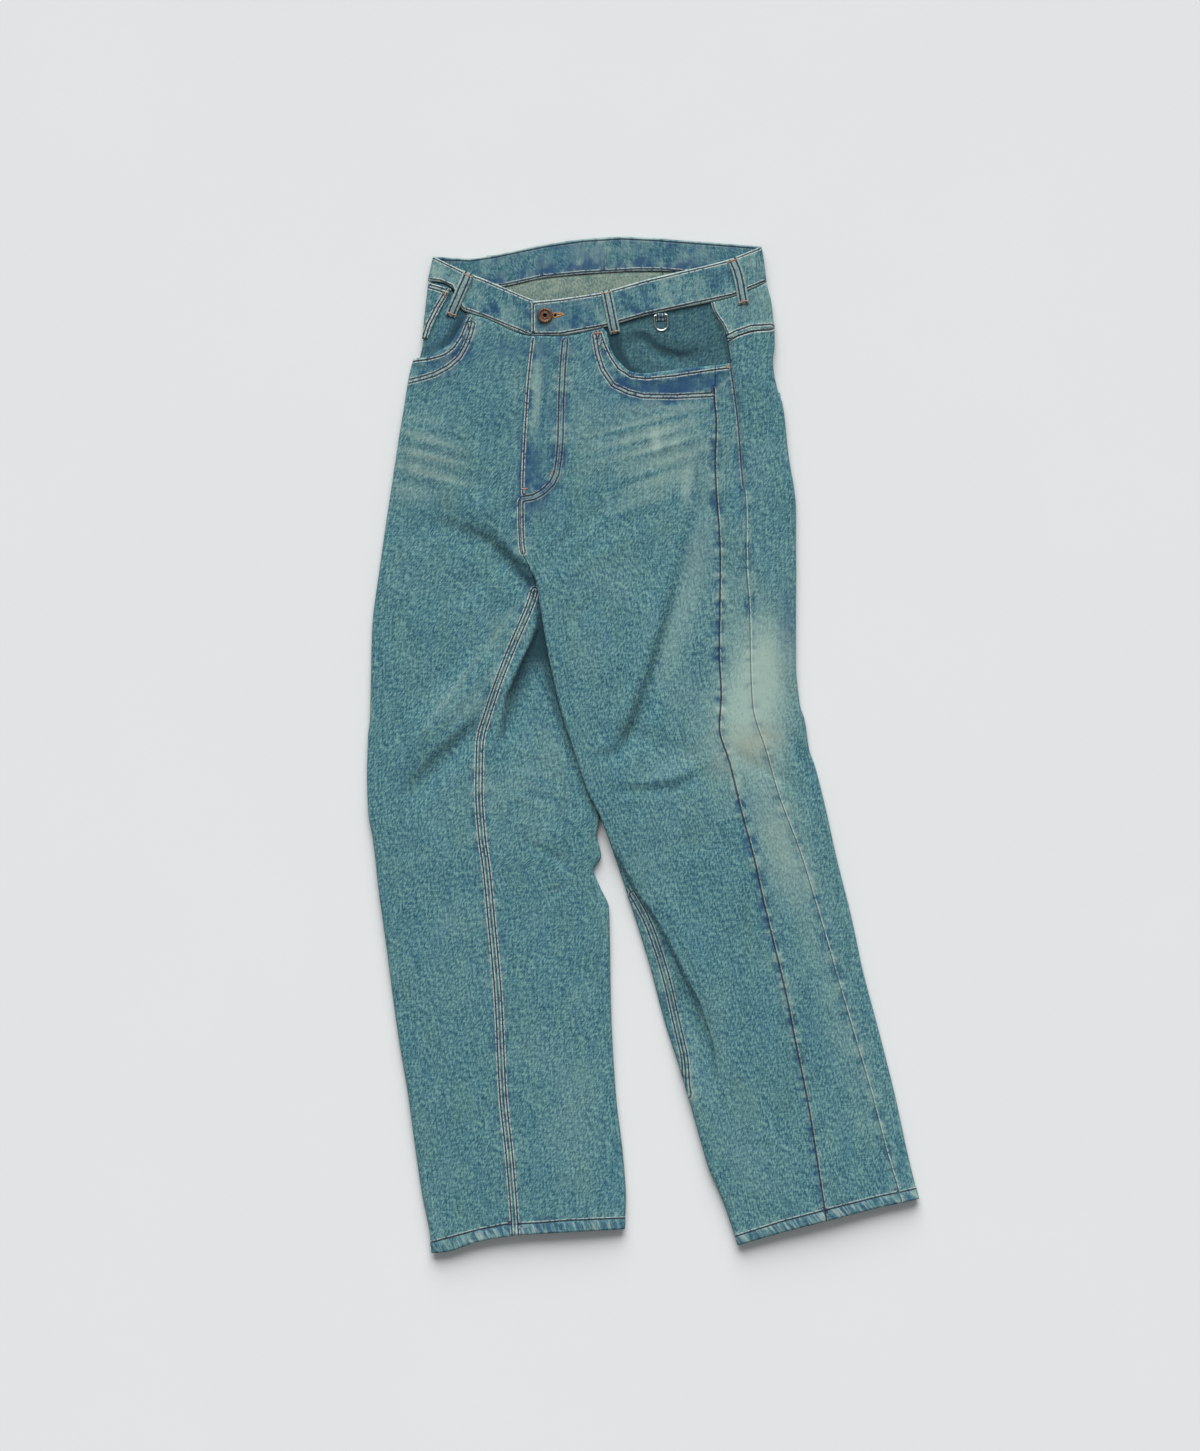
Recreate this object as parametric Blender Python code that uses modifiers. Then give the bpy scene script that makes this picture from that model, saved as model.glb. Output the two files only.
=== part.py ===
"""Wide leg jeans laid flat on their back, as solid pieces of cloth and metal.

The front faces up. The wearer's right leg is at -X, and the left leg lies over
it below the crotch. Tables are in millimetres: x across the garment, y up it
towards the waist, z up from the floor. Each cloth piece is a grid of points on
its outer face, turned into a wall by Solidify.
"""
import math

import bmesh
import bpy
import numpy as np

MM = 0.001
MIDDLE = np.array((1.0, 0.25, 0.0))  # middle of the tables' outline, built at the origin
CLOTH = 1.3            # wall of one denim layer
BAND = 2.6             # wall of the doubled waistband
SEAM = 0.4             # gap between pieces that are sewn edge to edge
SEAM_RUN = 0.8         # last step of cloth before a seam that lies on a rolled edge
HEAD_GAP = 0.7         # gap under the waistband and the yokes
LAYER = 0.35           # gap between pieces that lie on each other
UNDER = CLOTH + LAYER  # how far a covered piece lies below the one on it
BAND_RISE = 0.7        # waistband's outer face over the panels'
SEAT_RISE = 1.8        # seat's underside, over the back pockets on the floor

# Edge of the laid garment: (y, x).
LEFT_EDGE = ((540, -229), (510, -235), (473, -239.5), (440, -243.5), (426, -251), (407, -256),
             (374, -261.5), (324, -269.5), (258, -279.5), (192, -289), (127, -297), (28, -299.5),
             (11, -301.2), (-38, -302.5), (-72, -301.4), (-104, -296), (-154, -290.4), (-220, -281.6),
             (-319, -268.4), (-385, -257.5), (-451, -248.5), (-500, -241), (-533, -234.3), (-560, -231))
RIGHT_EDGE = ((552, 131), (510, 136.5), (489, 142), (473, 144), (440, 146), (423, 144), (407, 145.5),
              (390, 149.6), (374, 155), (324, 160.6), (258, 169.4), (93, 169.4), (44, 173.8), (28, 179),
              (-5, 184), (-22, 190), (-71, 202.4), (-121, 213.4), (-187, 229.9), (-253, 244.2),
              (-319, 261.8), (-385, 278.3), (-451, 292.6), (-500, 304.7), (-560, 319))
# Inner edge of the right leg, most of it under the left leg: (y, x).
RIGHT_LEG_INNER = ((197, -91.7), (187, -101.2), (181, -104.5), (160, -103.4), (115, -90), (71, -73.7), (16, -59.4), (-38, -48.4),
                   (-79, -46.2), (-99, -49.5), (-123, -45), (-137, -52.8), (-156, -46.2), (-179, -36.3),
                   (-220, -35.2), (-286, -34.1), (-385, -28.6), (-451, -20.9), (-500, -17.6), (-540, -19.8))
# Inner edge of the left leg, over the right leg as far down as y = -78: (y, x).
LEFT_LEG_INNER = ((193.6, -124.1), (187, -119.9), (181, -117.4), (175, -115.8), (146, -111), (104, -104),
                  (37, -89), (-5, -75.4), (-52, -59.4), (-78, -46.2), (-121, -30.8), (-170, -14.3),
                  (-236, 6.6), (-302, 24.2), (-368, 45.1), (-434, 63.8), (-467, 73.7), (-500, 88),
                  (-551, 105.6))
# The same edge for the left back, which ends at the centre back above the crotch: (y, x).
BACK_LEG_INNER = ((187, -102.6), (181, -106), (178, -110.5)) + LEFT_LEG_INNER[3:]
# Centre front: the fly's edge, then the seam down to the crotch: (y, x).
CENTRE_FRONT = ((460, -121), (450, -122.1), (424, -125.4), (396, -128.2), (353, -130.9), (311, -133.1),
                (283, -133.9), (247, -133.7), (220, -132.6), (207, -129.8), (199, -125.4), (193.6, -122.1))
# Centre back seam, on the underside: (y, x).
CENTRE_BACK = ((530, 23), (446, 18), (380, 6.6), (324, -13.2), (270, -42.9), (231, -68.2), (206, -88),
               (197, -95.7), (187, -101.2))
# Right leg's inseam, on top of the laid leg: (y, x).
RIGHT_INSEAM = ((193.6, -122.1), (186, -118.8), (179, -116.6), (166, -119.1), (119, -138), (88, -150.7),
                (35, -169.4), (3, -178.2), (-49, -179.3), (-101, -176), (-132, -171.6), (-196, -165.3),
                (-279, -158), (-385, -152.9), (-452, -145.8), (-521, -140.3), (-545, -139))
# Left leg's inseam: (y, distance over the cloth from the inner edge, below 0 on the underside).
LEFT_INSEAM = ((187, 0), (181, -4), (160, -8), (115, -10), (-16, -14.5), (-104, -8), (-135, -5),
               (-148, 1), (-164, 8), (-203, 15), (-261, 16.5), (-335, 12.5), (-385, 2), (-456, -5),
               (-545, -9.5))
# Left leg's design seam and outseam, on top: (y, x).
LEFT_DESIGN_SEAM = ((420, 81), (383, 80.3), (353, 82.5), (311, 81.4), (203, 87), (98, 85.8), (56, 88),
                    (19, 85.8), (-18, 96.8), (-76, 111), (-124, 124), (-174, 135), (-280, 160.6),
                    (-325, 169.4), (-397, 184), (-480, 197), (-530, 205))
LEFT_OUTSEAM = ((490, 75), (481, 77), (454, 92), (414, 99), (382, 103.8), (350, 107.5), (311, 110.3),
                (255, 114.4), (203, 114.4), (151, 118), (67, 120), (40, 122), (-7, 136.4), (-55, 150),
                (-119, 174), (-188, 195), (-280, 221.7), (-325, 235), (-386, 253), (-445, 268.4),
                (-482, 279.4), (-530, 293))
# Right leg's design seam and outseam, on the underside: (y, x).
RIGHT_DESIGN_SEAM = ((424, -160.5), (379, -173.6), (324, -189.5), (269, -208), (214, -227), (159, -242),
                     (104, -251), (49, -255), (-5, -259), (-60, -262.5), (-115, -264), (-170, -263.5),
                     (-225, -261), (-280, -255.8), (-390, -238.5), (-545, -213.5))
RIGHT_OUTSEAM = ((510, -154), (457, -147), (426, -147), (379, -152.6), (324, -162.5), (269, -178),
                 (214, -196), (159, -210), (104, -218), (49, -219), (-60, -218), (-170, -206.5),
                 (-280, -191.8), (-390, -168.8), (-545, -136.5))
# Waistband edges: (x, y).
RIGHT_FRONT_TOP = ((-230, 537.5), (-195.8, 521), (-172.7, 512), (-122, 490.6), (-106, 486))
RIGHT_FRONT_FOOT = ((-236, 510.4), (-222, 509), (-209, 503), (-197, 478), (-172.7, 469.7),
                    (-125.4, 450.5), (-106, 448.8))
LEFT_FRONT_TOP = ((-122, 487.3), (-90.2, 490.6), (-46.2, 497.2), (4.4, 511.5), (92.4, 533),
                  (132, 548.5))
LEFT_FRONT_FOOT = ((-122, 450), (-90.2, 450), (-42.9, 458.7), (4.4, 472), (99, 492.8), (137.5, 509))
BACK_TOP = ((-230, 537.5), (-189, 535.2), (-163, 539), (-110, 550), (-66, 556.6), (-23, 559.4),
            (12, 557.7), (86, 552.2), (132, 548.5))
BACK_FOOT = ((-236, 510.4), (-189, 498.3), (-148.5, 505), (-110, 513.7), (-66, 518), (-5.5, 521.4),
             (21, 521.4), (86, 516), (137.5, 509))
# Front pocket openings, from the side to the waist seam: (x, y).
RIGHT_POCKET = ((-248, 425), (-231, 429), (-211, 440), (-198, 461), (-194.7, 467.5), (-191.4, 475.2))
LEFT_POCKET = ((-42.9, 458.4), (-37.6, 452), (-36, 441), (-31.9, 430), (-24.2, 420.2), (-12, 410.3),
               (3.3, 408.6), (17.6, 410.3), (55, 414.7), (80.3, 417.5))
# Facings' lower edges, under the openings' edges: (x, y).
RIGHT_FACING_FOOT = ((-242, 414), (-226, 420), (-209, 430), (-197, 446), (-187, 462))
LEFT_FACING_FOOT = ((-42, 440), (-36, 426), (-27, 413), (-14, 402), (3, 399.5), (18, 401), (55, 405.5),
                    (98, 409))
# Right facing's outer edge: (y, x).
RIGHT_FACING_EDGE = ((540, -226.8), (510, -232.8), (473, -237.3), (440, -241.3), (426, -244.4), (412, -247))
# Coin pocket's slanted side (y, x) and top (x, y).
COIN_SIDE = ((502, -209.5), (479.6, -221), (456.5, -232), (446, -236.2))
COIN_TOP = ((-237, 508.6), (-225, 506), (-209, 501.2))
# Yoke seam, from the left outseam round the edge and along the underside: (x, y).
YOKE_SEAM_TOP = ((92, 445.5), (120, 454), (146, 458.7))
YOKE_SEAM_BACK = ((-150, 458), (18, 446), (146, 458.7))
# Hems: (x, y).
RIGHT_HEM = ((-232, -558.8), (-216.7, -557.7), (-180.4, -546.2), (-136.4, -539), (-80.3, -535.7),
             (-19, -532.4))
LEFT_HEM = ((100, -552), (151.3, -536.8), (202.4, -523.6), (260.7, -508.8), (306, -499))

# Back pockets' corners: top left, top right, lower right, point, lower left.
LEFT_BACK_POCKET = ((22, 385), (152.2, 388), (158, 277), (97, 252), (32, 270))
RIGHT_BACK_POCKET = ((-166, 384), (-36, 392), (-66, 276), (-132, 251), (-189, 272))
# Belt loops: (x, y, rise over the panels).
LOOP_WIDTH = 12
LOOP_FRONT_RIGHT = ((-210.9, 471, 0.15), (-208.3, 478, 1.6), (-205.6, 484, 2.6), (-203, 490, 3),
                    (-199.6, 498, 3.2), (-196, 506, 3.2), (-192.6, 514, 2.9), (-190.3, 519.4, 2.5))
LOOP_FRONT_LEFT = ((-29.3, 452, 0.15), (-30.2, 456, 1.4), (-31.2, 460, 2.6), (-33, 469, 3), (-34.8, 478, 3.2),
                   (-36.6, 487, 3.2), (-38.2, 494, 2.9), (-39.4, 499.4, 2.5))
LOOP_SIDE_LEFT = ((111.9, 484.6, 1.8), (111.2, 489, 2.4), (109.8, 497, 2.9), (108.6, 505, 3.2),
                  (106.8, 513, 3.2), (104.3, 522, 3.1), (101.4, 529, 2.8), (98.6, 534.6, 2.5))
LOOP_SIDE_RIGHT = ((-163, 488, 1.7), (-164, 513, 1.7), (-165, 539, 1.7))
LOOP_CENTRE_BACK = ((22, 508, 1.7), (22.5, 532, 1.7), (23, 557.5, 1.7))
# Button: centre (x, y), and outline (radius, height) from the middle of its top to its foot.
BUTTON_AT = (-106.7, 471.9)
BUTTON_PROFILE = ((0, 1.5), (2.4, 1.6), (3.2, 2.6), (5, 2.8), (7.2, 2.4), (8.5, 1.6), (8.5, 0.5), (7.2, 0),
                  (0, 0))
# D-ring: middle of its bar (x, y), and its wire's centre line.
RING_AT = (20.4, 472.5)
RING_TURN = 5          # degrees
RING_WIRE = 2.2
RING_HALF = 7.1
RING_CORNER = 1.5
RING_ARM = 9.9
# Strap over the bar: (distance up from the bar, outer face over the facing).
TAB_WIDTH = 10
TAB_RISE = ((-6.1, 1.7), (-4.5, 1.7), (-3.5, 2), (-2.5, 3.1), (-1.2, 4.3), (0, 4.5), (1, 4.4), (2, 4))

DENIM = (0.089, 0.242, 0.255)
COPPER = (0.5, 0.25, 0.15)
NICKEL = (0.68, 0.68, 0.67)

# Heights of the top layer's outer face: (y, z).
HIP_EDGE = ((540, 10.5), (300, 10), (195, 9.8))
HIP_CENTRE = ((540, 17), (450, 16.5), (300, 15.5), (195, 15))
RIGHT_LEG_OUTER_Z = ((200, 9.6), (-560, 9.6))
RIGHT_LEG_INNER_Z = ((187, 9.2), (140, 8.8), (100, 7.2), (20, 6.8), (-30, 8), (-80, 8.6), (-560, 9.4))
RIGHT_LEG_CROWN = ((200, 1.2), (100, 2.4), (-100, 3), (-300, 2.6), (-480, 2.6), (-560, 3.4))
LEFT_LEG_INNER_Z = ((200, 15.3), (175, 16.2), (100, 16), (0, 15.6), (-77, 15), (-121, 13.8), (-200, 13.2),
                    (-300, 12.2), (-400, 10.6), (-560, 10))
LEFT_LEG_OUTER_Z = ((200, 9.8), (-560, 9.8))
LEFT_LEG_CROWN = ((200, 1), (0, 1.8), (-400, 2.2), (-560, 3.2))
LEDGE_Z = ((-110, 9.5), (-125, 8.2), (-160, 7), (-300, 6.8), (-400, 8.2), (-440, 10.5))
# Underside of the left leg along its inner edge, where it crosses the right leg: (y, z).
LEFT_LEG_LIFT = ((200, 10.6), (-84, 10.6), (-98, 8), (-110, 4), (-121, 1), (-130, 0))
SEAT_LIFT = ((206, 1.8), (197, 2.2), (187, 5.8), (181, 10.2), (178, 10.6), (-84, 10.6), (-98, 8),
             (-110, 4), (-121, 1), (-130, 0))
LIFT_FALL = 24         # run over which the lifted underside comes down to the floor
SEAT_Z = ((240, 1.8), (160, 0))

# Largest folds: (x, y, height, width on the walk's left, width on its right).
THIGH_RIDGE_RIGHT = ((-173.8, 92, 2, 14, 26), (-203.5, 49.5, 4, 16, 32), (-237.6, 14, 4, 16, 32),
                     (-272.8, -34, 0, 18, 30))
THIGH_RIDGE_LEFT = ((46, 239, 0, 16, 26), (28.6, 172, 3, 16, 28), (15.4, 130, 4, 15, 28),
                    (-4.4, 49.5, 3.5, 15, 26), (-28.6, 6.6, 0, 14, 24))
INSEAM_FLAP = ((-111, 139, 1.5, 5, 14), (-144, 67, 3, 4, 14), (-153, 52, 3, 4, 14), (-155, 19, 2.6, 5, 14),
               (-162, 3, 1.6, 6, 16), (-165, -33, 0, 8, 18))
# Where the hips step down to the right thigh: (x, y, width of the step).
HIP_STEP = ((-263, 264, 40), (-220, 250, 30), (-187, 240, 24), (-162, 230, 18), (-144, 208, 12),
            (-125.4, 196.4, 8), (-114, 188, 7), (-95, 192, 6))
# Edge of the upper fold on the left leg: (x, y, share of the full step).
LEG_FOLD = ((-47, -93, 1), (-30, -119, 1), (-8, -159, 1), (12, -188, 1), (28.6, -215.6, 1),
            (46.2, -252, 1), (61.6, -283, 1), (73.7, -316, 0.9), (80.3, -346, 0.6), (84, -380, 0.25),
            (86, -412, 0))
FOLD_STEP = 5          # run over which the fold's edge rises
# Columns of the left front, by their run from the inner edge: (y, run or share).
LEDGE_SHARE = ((-115, 0.5), (-335, 0.3), (-385, 0.12), (-430, 0.3), (-460, 0.5))
FOLD_FOOT = ((200, 7.4), (193, 6.6), (187, 3.8), (181, 0), (178, -1.5), (160, -3), (-115, -3.5), (-132, 1), (-150, 5.5), (-164, 10),
             (-188, 18.5), (-216, 28), (-252, 34), (-283, 41), (-316, 44), (-346, 40), (-380, 34),
             (-412, 27), (-460, 8), (-500, -2), (-560, -4))
FOLD_RUN = ((200, 10), (178, 9), (-115, 9.5), (-164, 7), (-380, 8), (-460, 12), (-560, 12))
# Left back's distance from the inseam: (y, distance).
INSEAM_GAP = ((190, 1.8), (140, 1.8), (105, 0.2), (-114, 0.2), (-130, 1.1), (-155, 1.1), (-172, 0.2),
              (-310, 0.2), (-340, 0.9), (-490, 0.9), (-545, 0.5))
# Columns of the right back: (y, run or share).
FLAP_SHARE = ((180, 0.5), (139, 0.6), (100, 0.3), (67, 0.17), (19, 0.14), (-560, 0.14))
CROTCH_TURN = ((198, 0), (197, 0), (187, 0.33), (179, 1), (178, 1))
FLY_TUCK = ((286, 5), (285, 5), (272, -0.4), (271, -0.4))  # right front's reach past the left one's edge
PRESSED_Z = 9.7        # top of the right leg where the left leg lies on it

# Height of each section of a leg, waist to hem.
LEVELS = (450, 425, 395, 360, 320, 288, 268, 252, 238, 226, 214, 204, 195, 187, 178, 166, 150, 130, 108,
          86, 64, 42, 16, -14, -44, -74, -98, -116, -134, -152, -172, -200, -235, -275, -320, -365, -410,
          -455, -500, -540)
HEAD_FADE = 150        # run over which a slanted top edge evens out
HEM_FADE = 140         # run over which sections slant to the hem


def smooth(share):
    """Ease from 0 to 1, flat at both ends."""
    share = np.clip(share, 0, 1)
    return share * share * (3 - 2 * share)


def track(table, at):
    """Value at a place in a table of (place, value) rows, on a curve that doesn't overshoot."""
    rows = np.array(sorted(row[:2] for row in table), float)
    places, values = rows[:, 0], rows[:, 1]
    steps = np.diff(places)
    slopes = np.diff(values) / steps
    bends = np.empty_like(values)
    bends[0], bends[-1] = slopes[0], slopes[-1]
    both = slopes[1:] * slopes[:-1]
    sums = np.where(both > 0, slopes[1:] + slopes[:-1], 1)
    bends[1:-1] = np.where(both > 0, 2 * both / sums, 0)
    at = np.clip(np.asarray(at, float), places[0], places[-1])
    k = np.clip(np.searchsorted(places, at, side="right") - 1, 0, len(steps) - 1)
    u = (at - places[k]) / steps[k]
    return ((1 + 2 * u) * (1 - u) ** 2 * values[k] + u * (1 - u) ** 2 * steps[k] * bends[k]
            + u * u * (3 - 2 * u) * values[k + 1] + u * u * (u - 1) * steps[k] * bends[k + 1])


def crown(share):
    """Cross-section of a filled leg: 0 at both edges, 1 in the middle."""
    return 1 - np.abs(2 * np.clip(share, 0, 1) - 1) ** 2.5


def walk(path, x, y):
    """Distance from a polyline, positive on the walk's left, and the path's own columns there."""
    path = np.array(path, float)
    nearest = np.full(np.shape(x), np.inf)
    signed = np.zeros(np.shape(x))
    columns = [np.zeros(np.shape(x)) for _ in path[0][2:]]
    for start, end in zip(path[:-1], path[1:]):
        run = end[:2] - start[:2]
        share = np.clip(((x - start[0]) * run[0] + (y - start[1]) * run[1]) / run.dot(run), 0, 1)
        off_x = x - start[0] - share * run[0]
        off_y = y - start[1] - share * run[1]
        distance = np.hypot(off_x, off_y)
        closer = distance < nearest
        nearest = np.where(closer, distance, nearest)
        side = np.where(run[0] * off_y - run[1] * off_x >= 0, 1, -1)
        signed = np.where(closer, side * distance, signed)
        for k, column in enumerate(columns):
            value = start[k + 2] + share * (end[k + 2] - start[k + 2])
            columns[k] = np.where(closer, value, column)
    return signed, columns


def ridge(fold, x, y):
    """Height that a fold adds."""
    off, (height, left, right) = walk(fold, x, y)
    reach = np.abs(off) / np.where(off > 0, left, right)
    return height * (1 - np.clip(reach, 0, 1) ** 2) ** 2


def hip_top(x, y):
    """Top of the seat and hips."""
    left, right = track(LEFT_EDGE, y), track(RIGHT_EDGE, y)
    edge, centre = track(HIP_EDGE, y), track(HIP_CENTRE, y)
    return edge + (centre - edge) * crown((x - left) / (right - left))


def right_leg_top(x, y):
    """Top of the right leg below the step from the hips."""
    left, inner = track(LEFT_EDGE, y), track(RIGHT_LEG_INNER, y)
    across = (x - left) / (inner - left)
    outer_z, inner_z = track(RIGHT_LEG_OUTER_Z, y), track(RIGHT_LEG_INNER_Z, y)
    height = outer_z + (inner_z - outer_z) * smooth(across) + track(RIGHT_LEG_CROWN, y) * crown(across)
    height = height + ridge(THIGH_RIDGE_RIGHT, x, y) + ridge(INSEAM_FLAP, x, y)
    pressed = smooth((x - track(LEFT_LEG_INNER, y) + 9) / 6)
    return height - np.maximum(height - PRESSED_Z, 0) * pressed


def right_top(x, y):
    """Top of the wearer's right half."""
    off, (width,) = walk(HIP_STEP, x, y)
    hip = smooth(off / width + 0.5)
    return right_leg_top(x, y) * (1 - hip) + hip_top(x, y) * hip


def left_top(x, y):
    """Top of the wearer's left half, with the fold that steps down along the inner edge."""
    inner, outer = track(LEFT_LEG_INNER, y), track(RIGHT_EDGE, y)
    across = (x - inner) / (outer - inner)
    inner_z, outer_z = track(LEFT_LEG_INNER_Z, y), track(LEFT_LEG_OUTER_Z, y)
    leg = inner_z + (outer_z - inner_z) * smooth(across) + track(LEFT_LEG_CROWN, y) * crown(across)
    off, (share,) = walk(LEG_FOLD, x, y)
    ledge = np.where(y < -93, share * (1 - smooth(off / FOLD_STEP + 0.5)), 0)
    leg = leg + (np.minimum(track(LEDGE_Z, y), leg) - leg) * ledge
    is_leg = smooth((260 - y) / 110)
    return hip_top(x, y) * (1 - is_leg) + leg * is_leg + ridge(THIGH_RIDGE_LEFT, x, y)


def seat_bottom(x, y):
    """Underside of the seat and right leg."""
    return track(SEAT_Z, y) + 0 * x


def lifted_bottom(lift):
    """Underside of the left leg, held up along its inner edge by the right leg."""
    def bottom(x, y):
        rest = track(SEAT_Z, y)
        inner = track(LEFT_LEG_INNER, y)
        edge = np.where(y > -84, np.maximum(track(RIGHT_LEG_INNER, y), inner), inner)
        edge = np.where(y > 187, track(CENTRE_BACK, y), edge) + 2
        return rest + np.maximum(track(lift, y) - rest, 0) * (1 - smooth((x - edge) / LIFT_FALL))
    return bottom


class Rim:
    """A rolled edge of the laid garment. Cloth is placed by its run from the edge, below 0 underneath."""

    def __init__(self, edge, radius, inward, top, bottom):
        self.edge = edge
        self.radius = radius
        self.inward = inward
        self.top = top
        self.bottom = bottom

    def quarter(self, y):
        """Run from the edge to where the cloth lies flat."""
        return self.radius(y) * math.pi / 2

    def run(self, x, y):
        """Run from the edge to x on the top layer."""
        return (x - self.edge(y)) * self.inward - self.radius(y) + self.quarter(y)

    def run_under(self, x, y):
        """Run from the edge to x on the underside."""
        return -self.run(x, y)

    def place(self, run, y):
        """Point on the outer face."""
        radius, quarter = self.radius(y), self.quarter(y)
        turn = np.clip(run / quarter, -1, 1) * math.pi / 2
        flat = np.maximum(np.abs(run) - quarter, 0)
        flat_x = self.edge(y) + self.inward * (radius + flat)
        x = flat_x - self.inward * radius * np.cos(turn)
        top, bottom = self.top(flat_x, y), self.bottom(flat_x, y)
        return np.stack([x, y, bottom + (top - bottom) * (1 + np.sin(turn)) / 2], -1)


def constant(value):
    """A radius that is the same all along an edge."""
    return lambda y: value + 0 * y


def from_table(table):
    """A table read as a function of y."""
    return lambda y: track(table, y)


INNER_RADIUS = ((200, 2), (175, 2.4), (146, 2.7), (-100, 2.7), (-125, 3.2), (-560, 3.8))
OUTER_RADIUS = 4.6
RIGHT_INNER_RADIUS = 4


def front_left_edge(y):
    """Inner edge for the left front; above the crotch it only carries the centre front."""
    return np.where(y > 193.6, track(CENTRE_FRONT, y) - INNER_RADIUS[0][1], track(LEFT_LEG_INNER, y))


def back_left_edge(y):
    """Inner edge for the left back; above the crotch it only carries the centre back."""
    return np.where(y > 187, track(CENTRE_BACK, y) + 0.8 - track(INNER_RADIUS, y), track(BACK_LEG_INNER, y))


def back_right_edge(y):
    """Inner edge for the right back; above the crotch it only carries the centre back."""
    return np.where(y > 197, track(CENTRE_BACK, y) + RIGHT_INNER_RADIUS, track(RIGHT_LEG_INNER, y))


LEFT_RIM = Rim(from_table(LEFT_EDGE), constant(OUTER_RADIUS), 1, right_top, seat_bottom)
RIGHT_RIM = Rim(from_table(RIGHT_EDGE), constant(OUTER_RADIUS), -1, left_top, lifted_bottom(SEAT_LIFT))
FRONT_LEFT_RIM = Rim(front_left_edge, from_table(INNER_RADIUS), 1, left_top, lifted_bottom(LEFT_LEG_LIFT))
BACK_LEFT_RIM = Rim(back_left_edge, from_table(INNER_RADIUS), 1, left_top, lifted_bottom(SEAT_LIFT))
RIGHT_INNER_RIM = Rim(back_right_edge, constant(RIGHT_INNER_RADIUS), -1, right_top, seat_bottom)


def material(name, colour, roughness, metallic=0.0):
    """Principled finish."""
    finish = bpy.data.materials.new(name)
    finish.use_nodes = True
    shader = finish.node_tree.nodes["Principled BSDF"]
    shader.inputs["Base Color"].default_value = (*colour, 1)
    shader.inputs["Roughness"].default_value = roughness
    shader.inputs["Metallic"].default_value = metallic
    return finish


def add_object(name, data, finish, folder):
    """Put a mesh or curve in the garment's collection."""
    data.materials.append(finish)
    part = bpy.data.objects.new(name, data)
    folder.objects.link(part)
    return part


def add_wall(name, points, thickness, finish, folder):
    """Cloth wall behind a grid of outer points, given in rows from hem to waist."""
    rows, columns = points.shape[:2]
    grid = bmesh.new()
    bmesh.ops.create_grid(grid, x_segments=columns - 1, y_segments=rows - 1, size=1)
    for vert in grid.verts:
        column = round((vert.co.x + 1) / 2 * (columns - 1))
        row = round((vert.co.y + 1) / 2 * (rows - 1))
        vert.co = (points[row, column] - MIDDLE) * MM
    for face in grid.faces:
        face.smooth = True
    mesh = bpy.data.meshes.new(name)
    grid.to_mesh(mesh)
    grid.free()
    part = add_object(name, mesh, finish, folder)
    solid = part.modifiers.new("wall", "SOLIDIFY")
    solid.thickness = thickness * MM
    solid.offset = -1
    solid.use_quality_normals = True
    return part


def along(points, run):
    """Top edge that follows a polyline of (x, y)."""
    points = np.array(points, float)
    lengths = np.concatenate([[0], np.cumsum(np.hypot(*np.diff(points, axis=0).T))])

    def head(share):
        x, y = (np.interp(share * lengths[-1], lengths, points[:, k]) for k in (0, 1))
        return run(x, y), y
    return head


def below(seam, x_start, x_end, run):
    """Top edge that follows a seam table of (x, y) from underneath."""
    def head(share):
        x = x_start + share * (x_end - x_start)
        y = track(seam, x) - HEAD_GAP
        return run(x, y), y
    return head


def level(y_start, y_end):
    """Top edge that keeps its columns where the guides are."""
    return lambda share: (None, y_start + share * (y_end - y_start))


def sections(guides, counts, levels, heads, hem, place):
    """Outer points of a panel, in rows from hem to waist.

    guides give the run of the main columns at a height, and counts the steps
    between them. heads has one stretch of the top edge for each gap between
    guides, and hem is the lower edge's table of (x, y).
    """
    levels = np.array(levels, float)
    to_head = 1 - smooth((levels[0] - levels) / HEAD_FADE)
    to_hem = smooth((levels[-1] + HEM_FADE - levels) / HEM_FADE)
    spots = [(k, step / count) for k, count in enumerate(counts) for step in range(count)]
    spots.append((len(counts) - 1, 1.0))
    columns = []
    for k, share in spots:
        start, end = guides[k], guides[k + 1]
        head_run, head_y = heads[k](share)
        shift = 0
        if head_run is not None:
            shift = head_run - (start(head_y) * (1 - share) + end(head_y) * share)
        foot = np.float64(levels[-1])
        for _ in range(4):
            foot = track(hem, place(start(foot) * (1 - share) + end(foot) * share, foot)[0])
        y = levels + (head_y - levels[0]) * to_head + (foot - levels[-1]) * to_hem
        columns.append(place(start(y) * (1 - share) + end(y) * share + shift * to_head, y))
    return np.stack(columns, 1)[::-1]


def strips(pieces, rows, place):
    """Outer points of a short piece, bottom row first.

    Each piece is (left run, right run, top y, bottom y, steps); the runs are
    functions of y, and the edges' heights functions of x.
    """
    columns = []
    for k, (left, right, top, bottom, steps) in enumerate(pieces):
        last = k == len(pieces) - 1
        for step in range(steps + last):
            share = step / steps
            high = low = np.float64(440)
            for _ in range(6):
                high = np.float64(top(place(left(high) * (1 - share) + right(high) * share, high)[0]))
                low = np.float64(bottom(place(left(low) * (1 - share) + right(low) * share, low)[0]))
            y = np.linspace(low, high, rows + 1)
            columns.append(place(left(y) * (1 - share) + right(y) * share, y))
    return np.stack(columns, 1)


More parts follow.
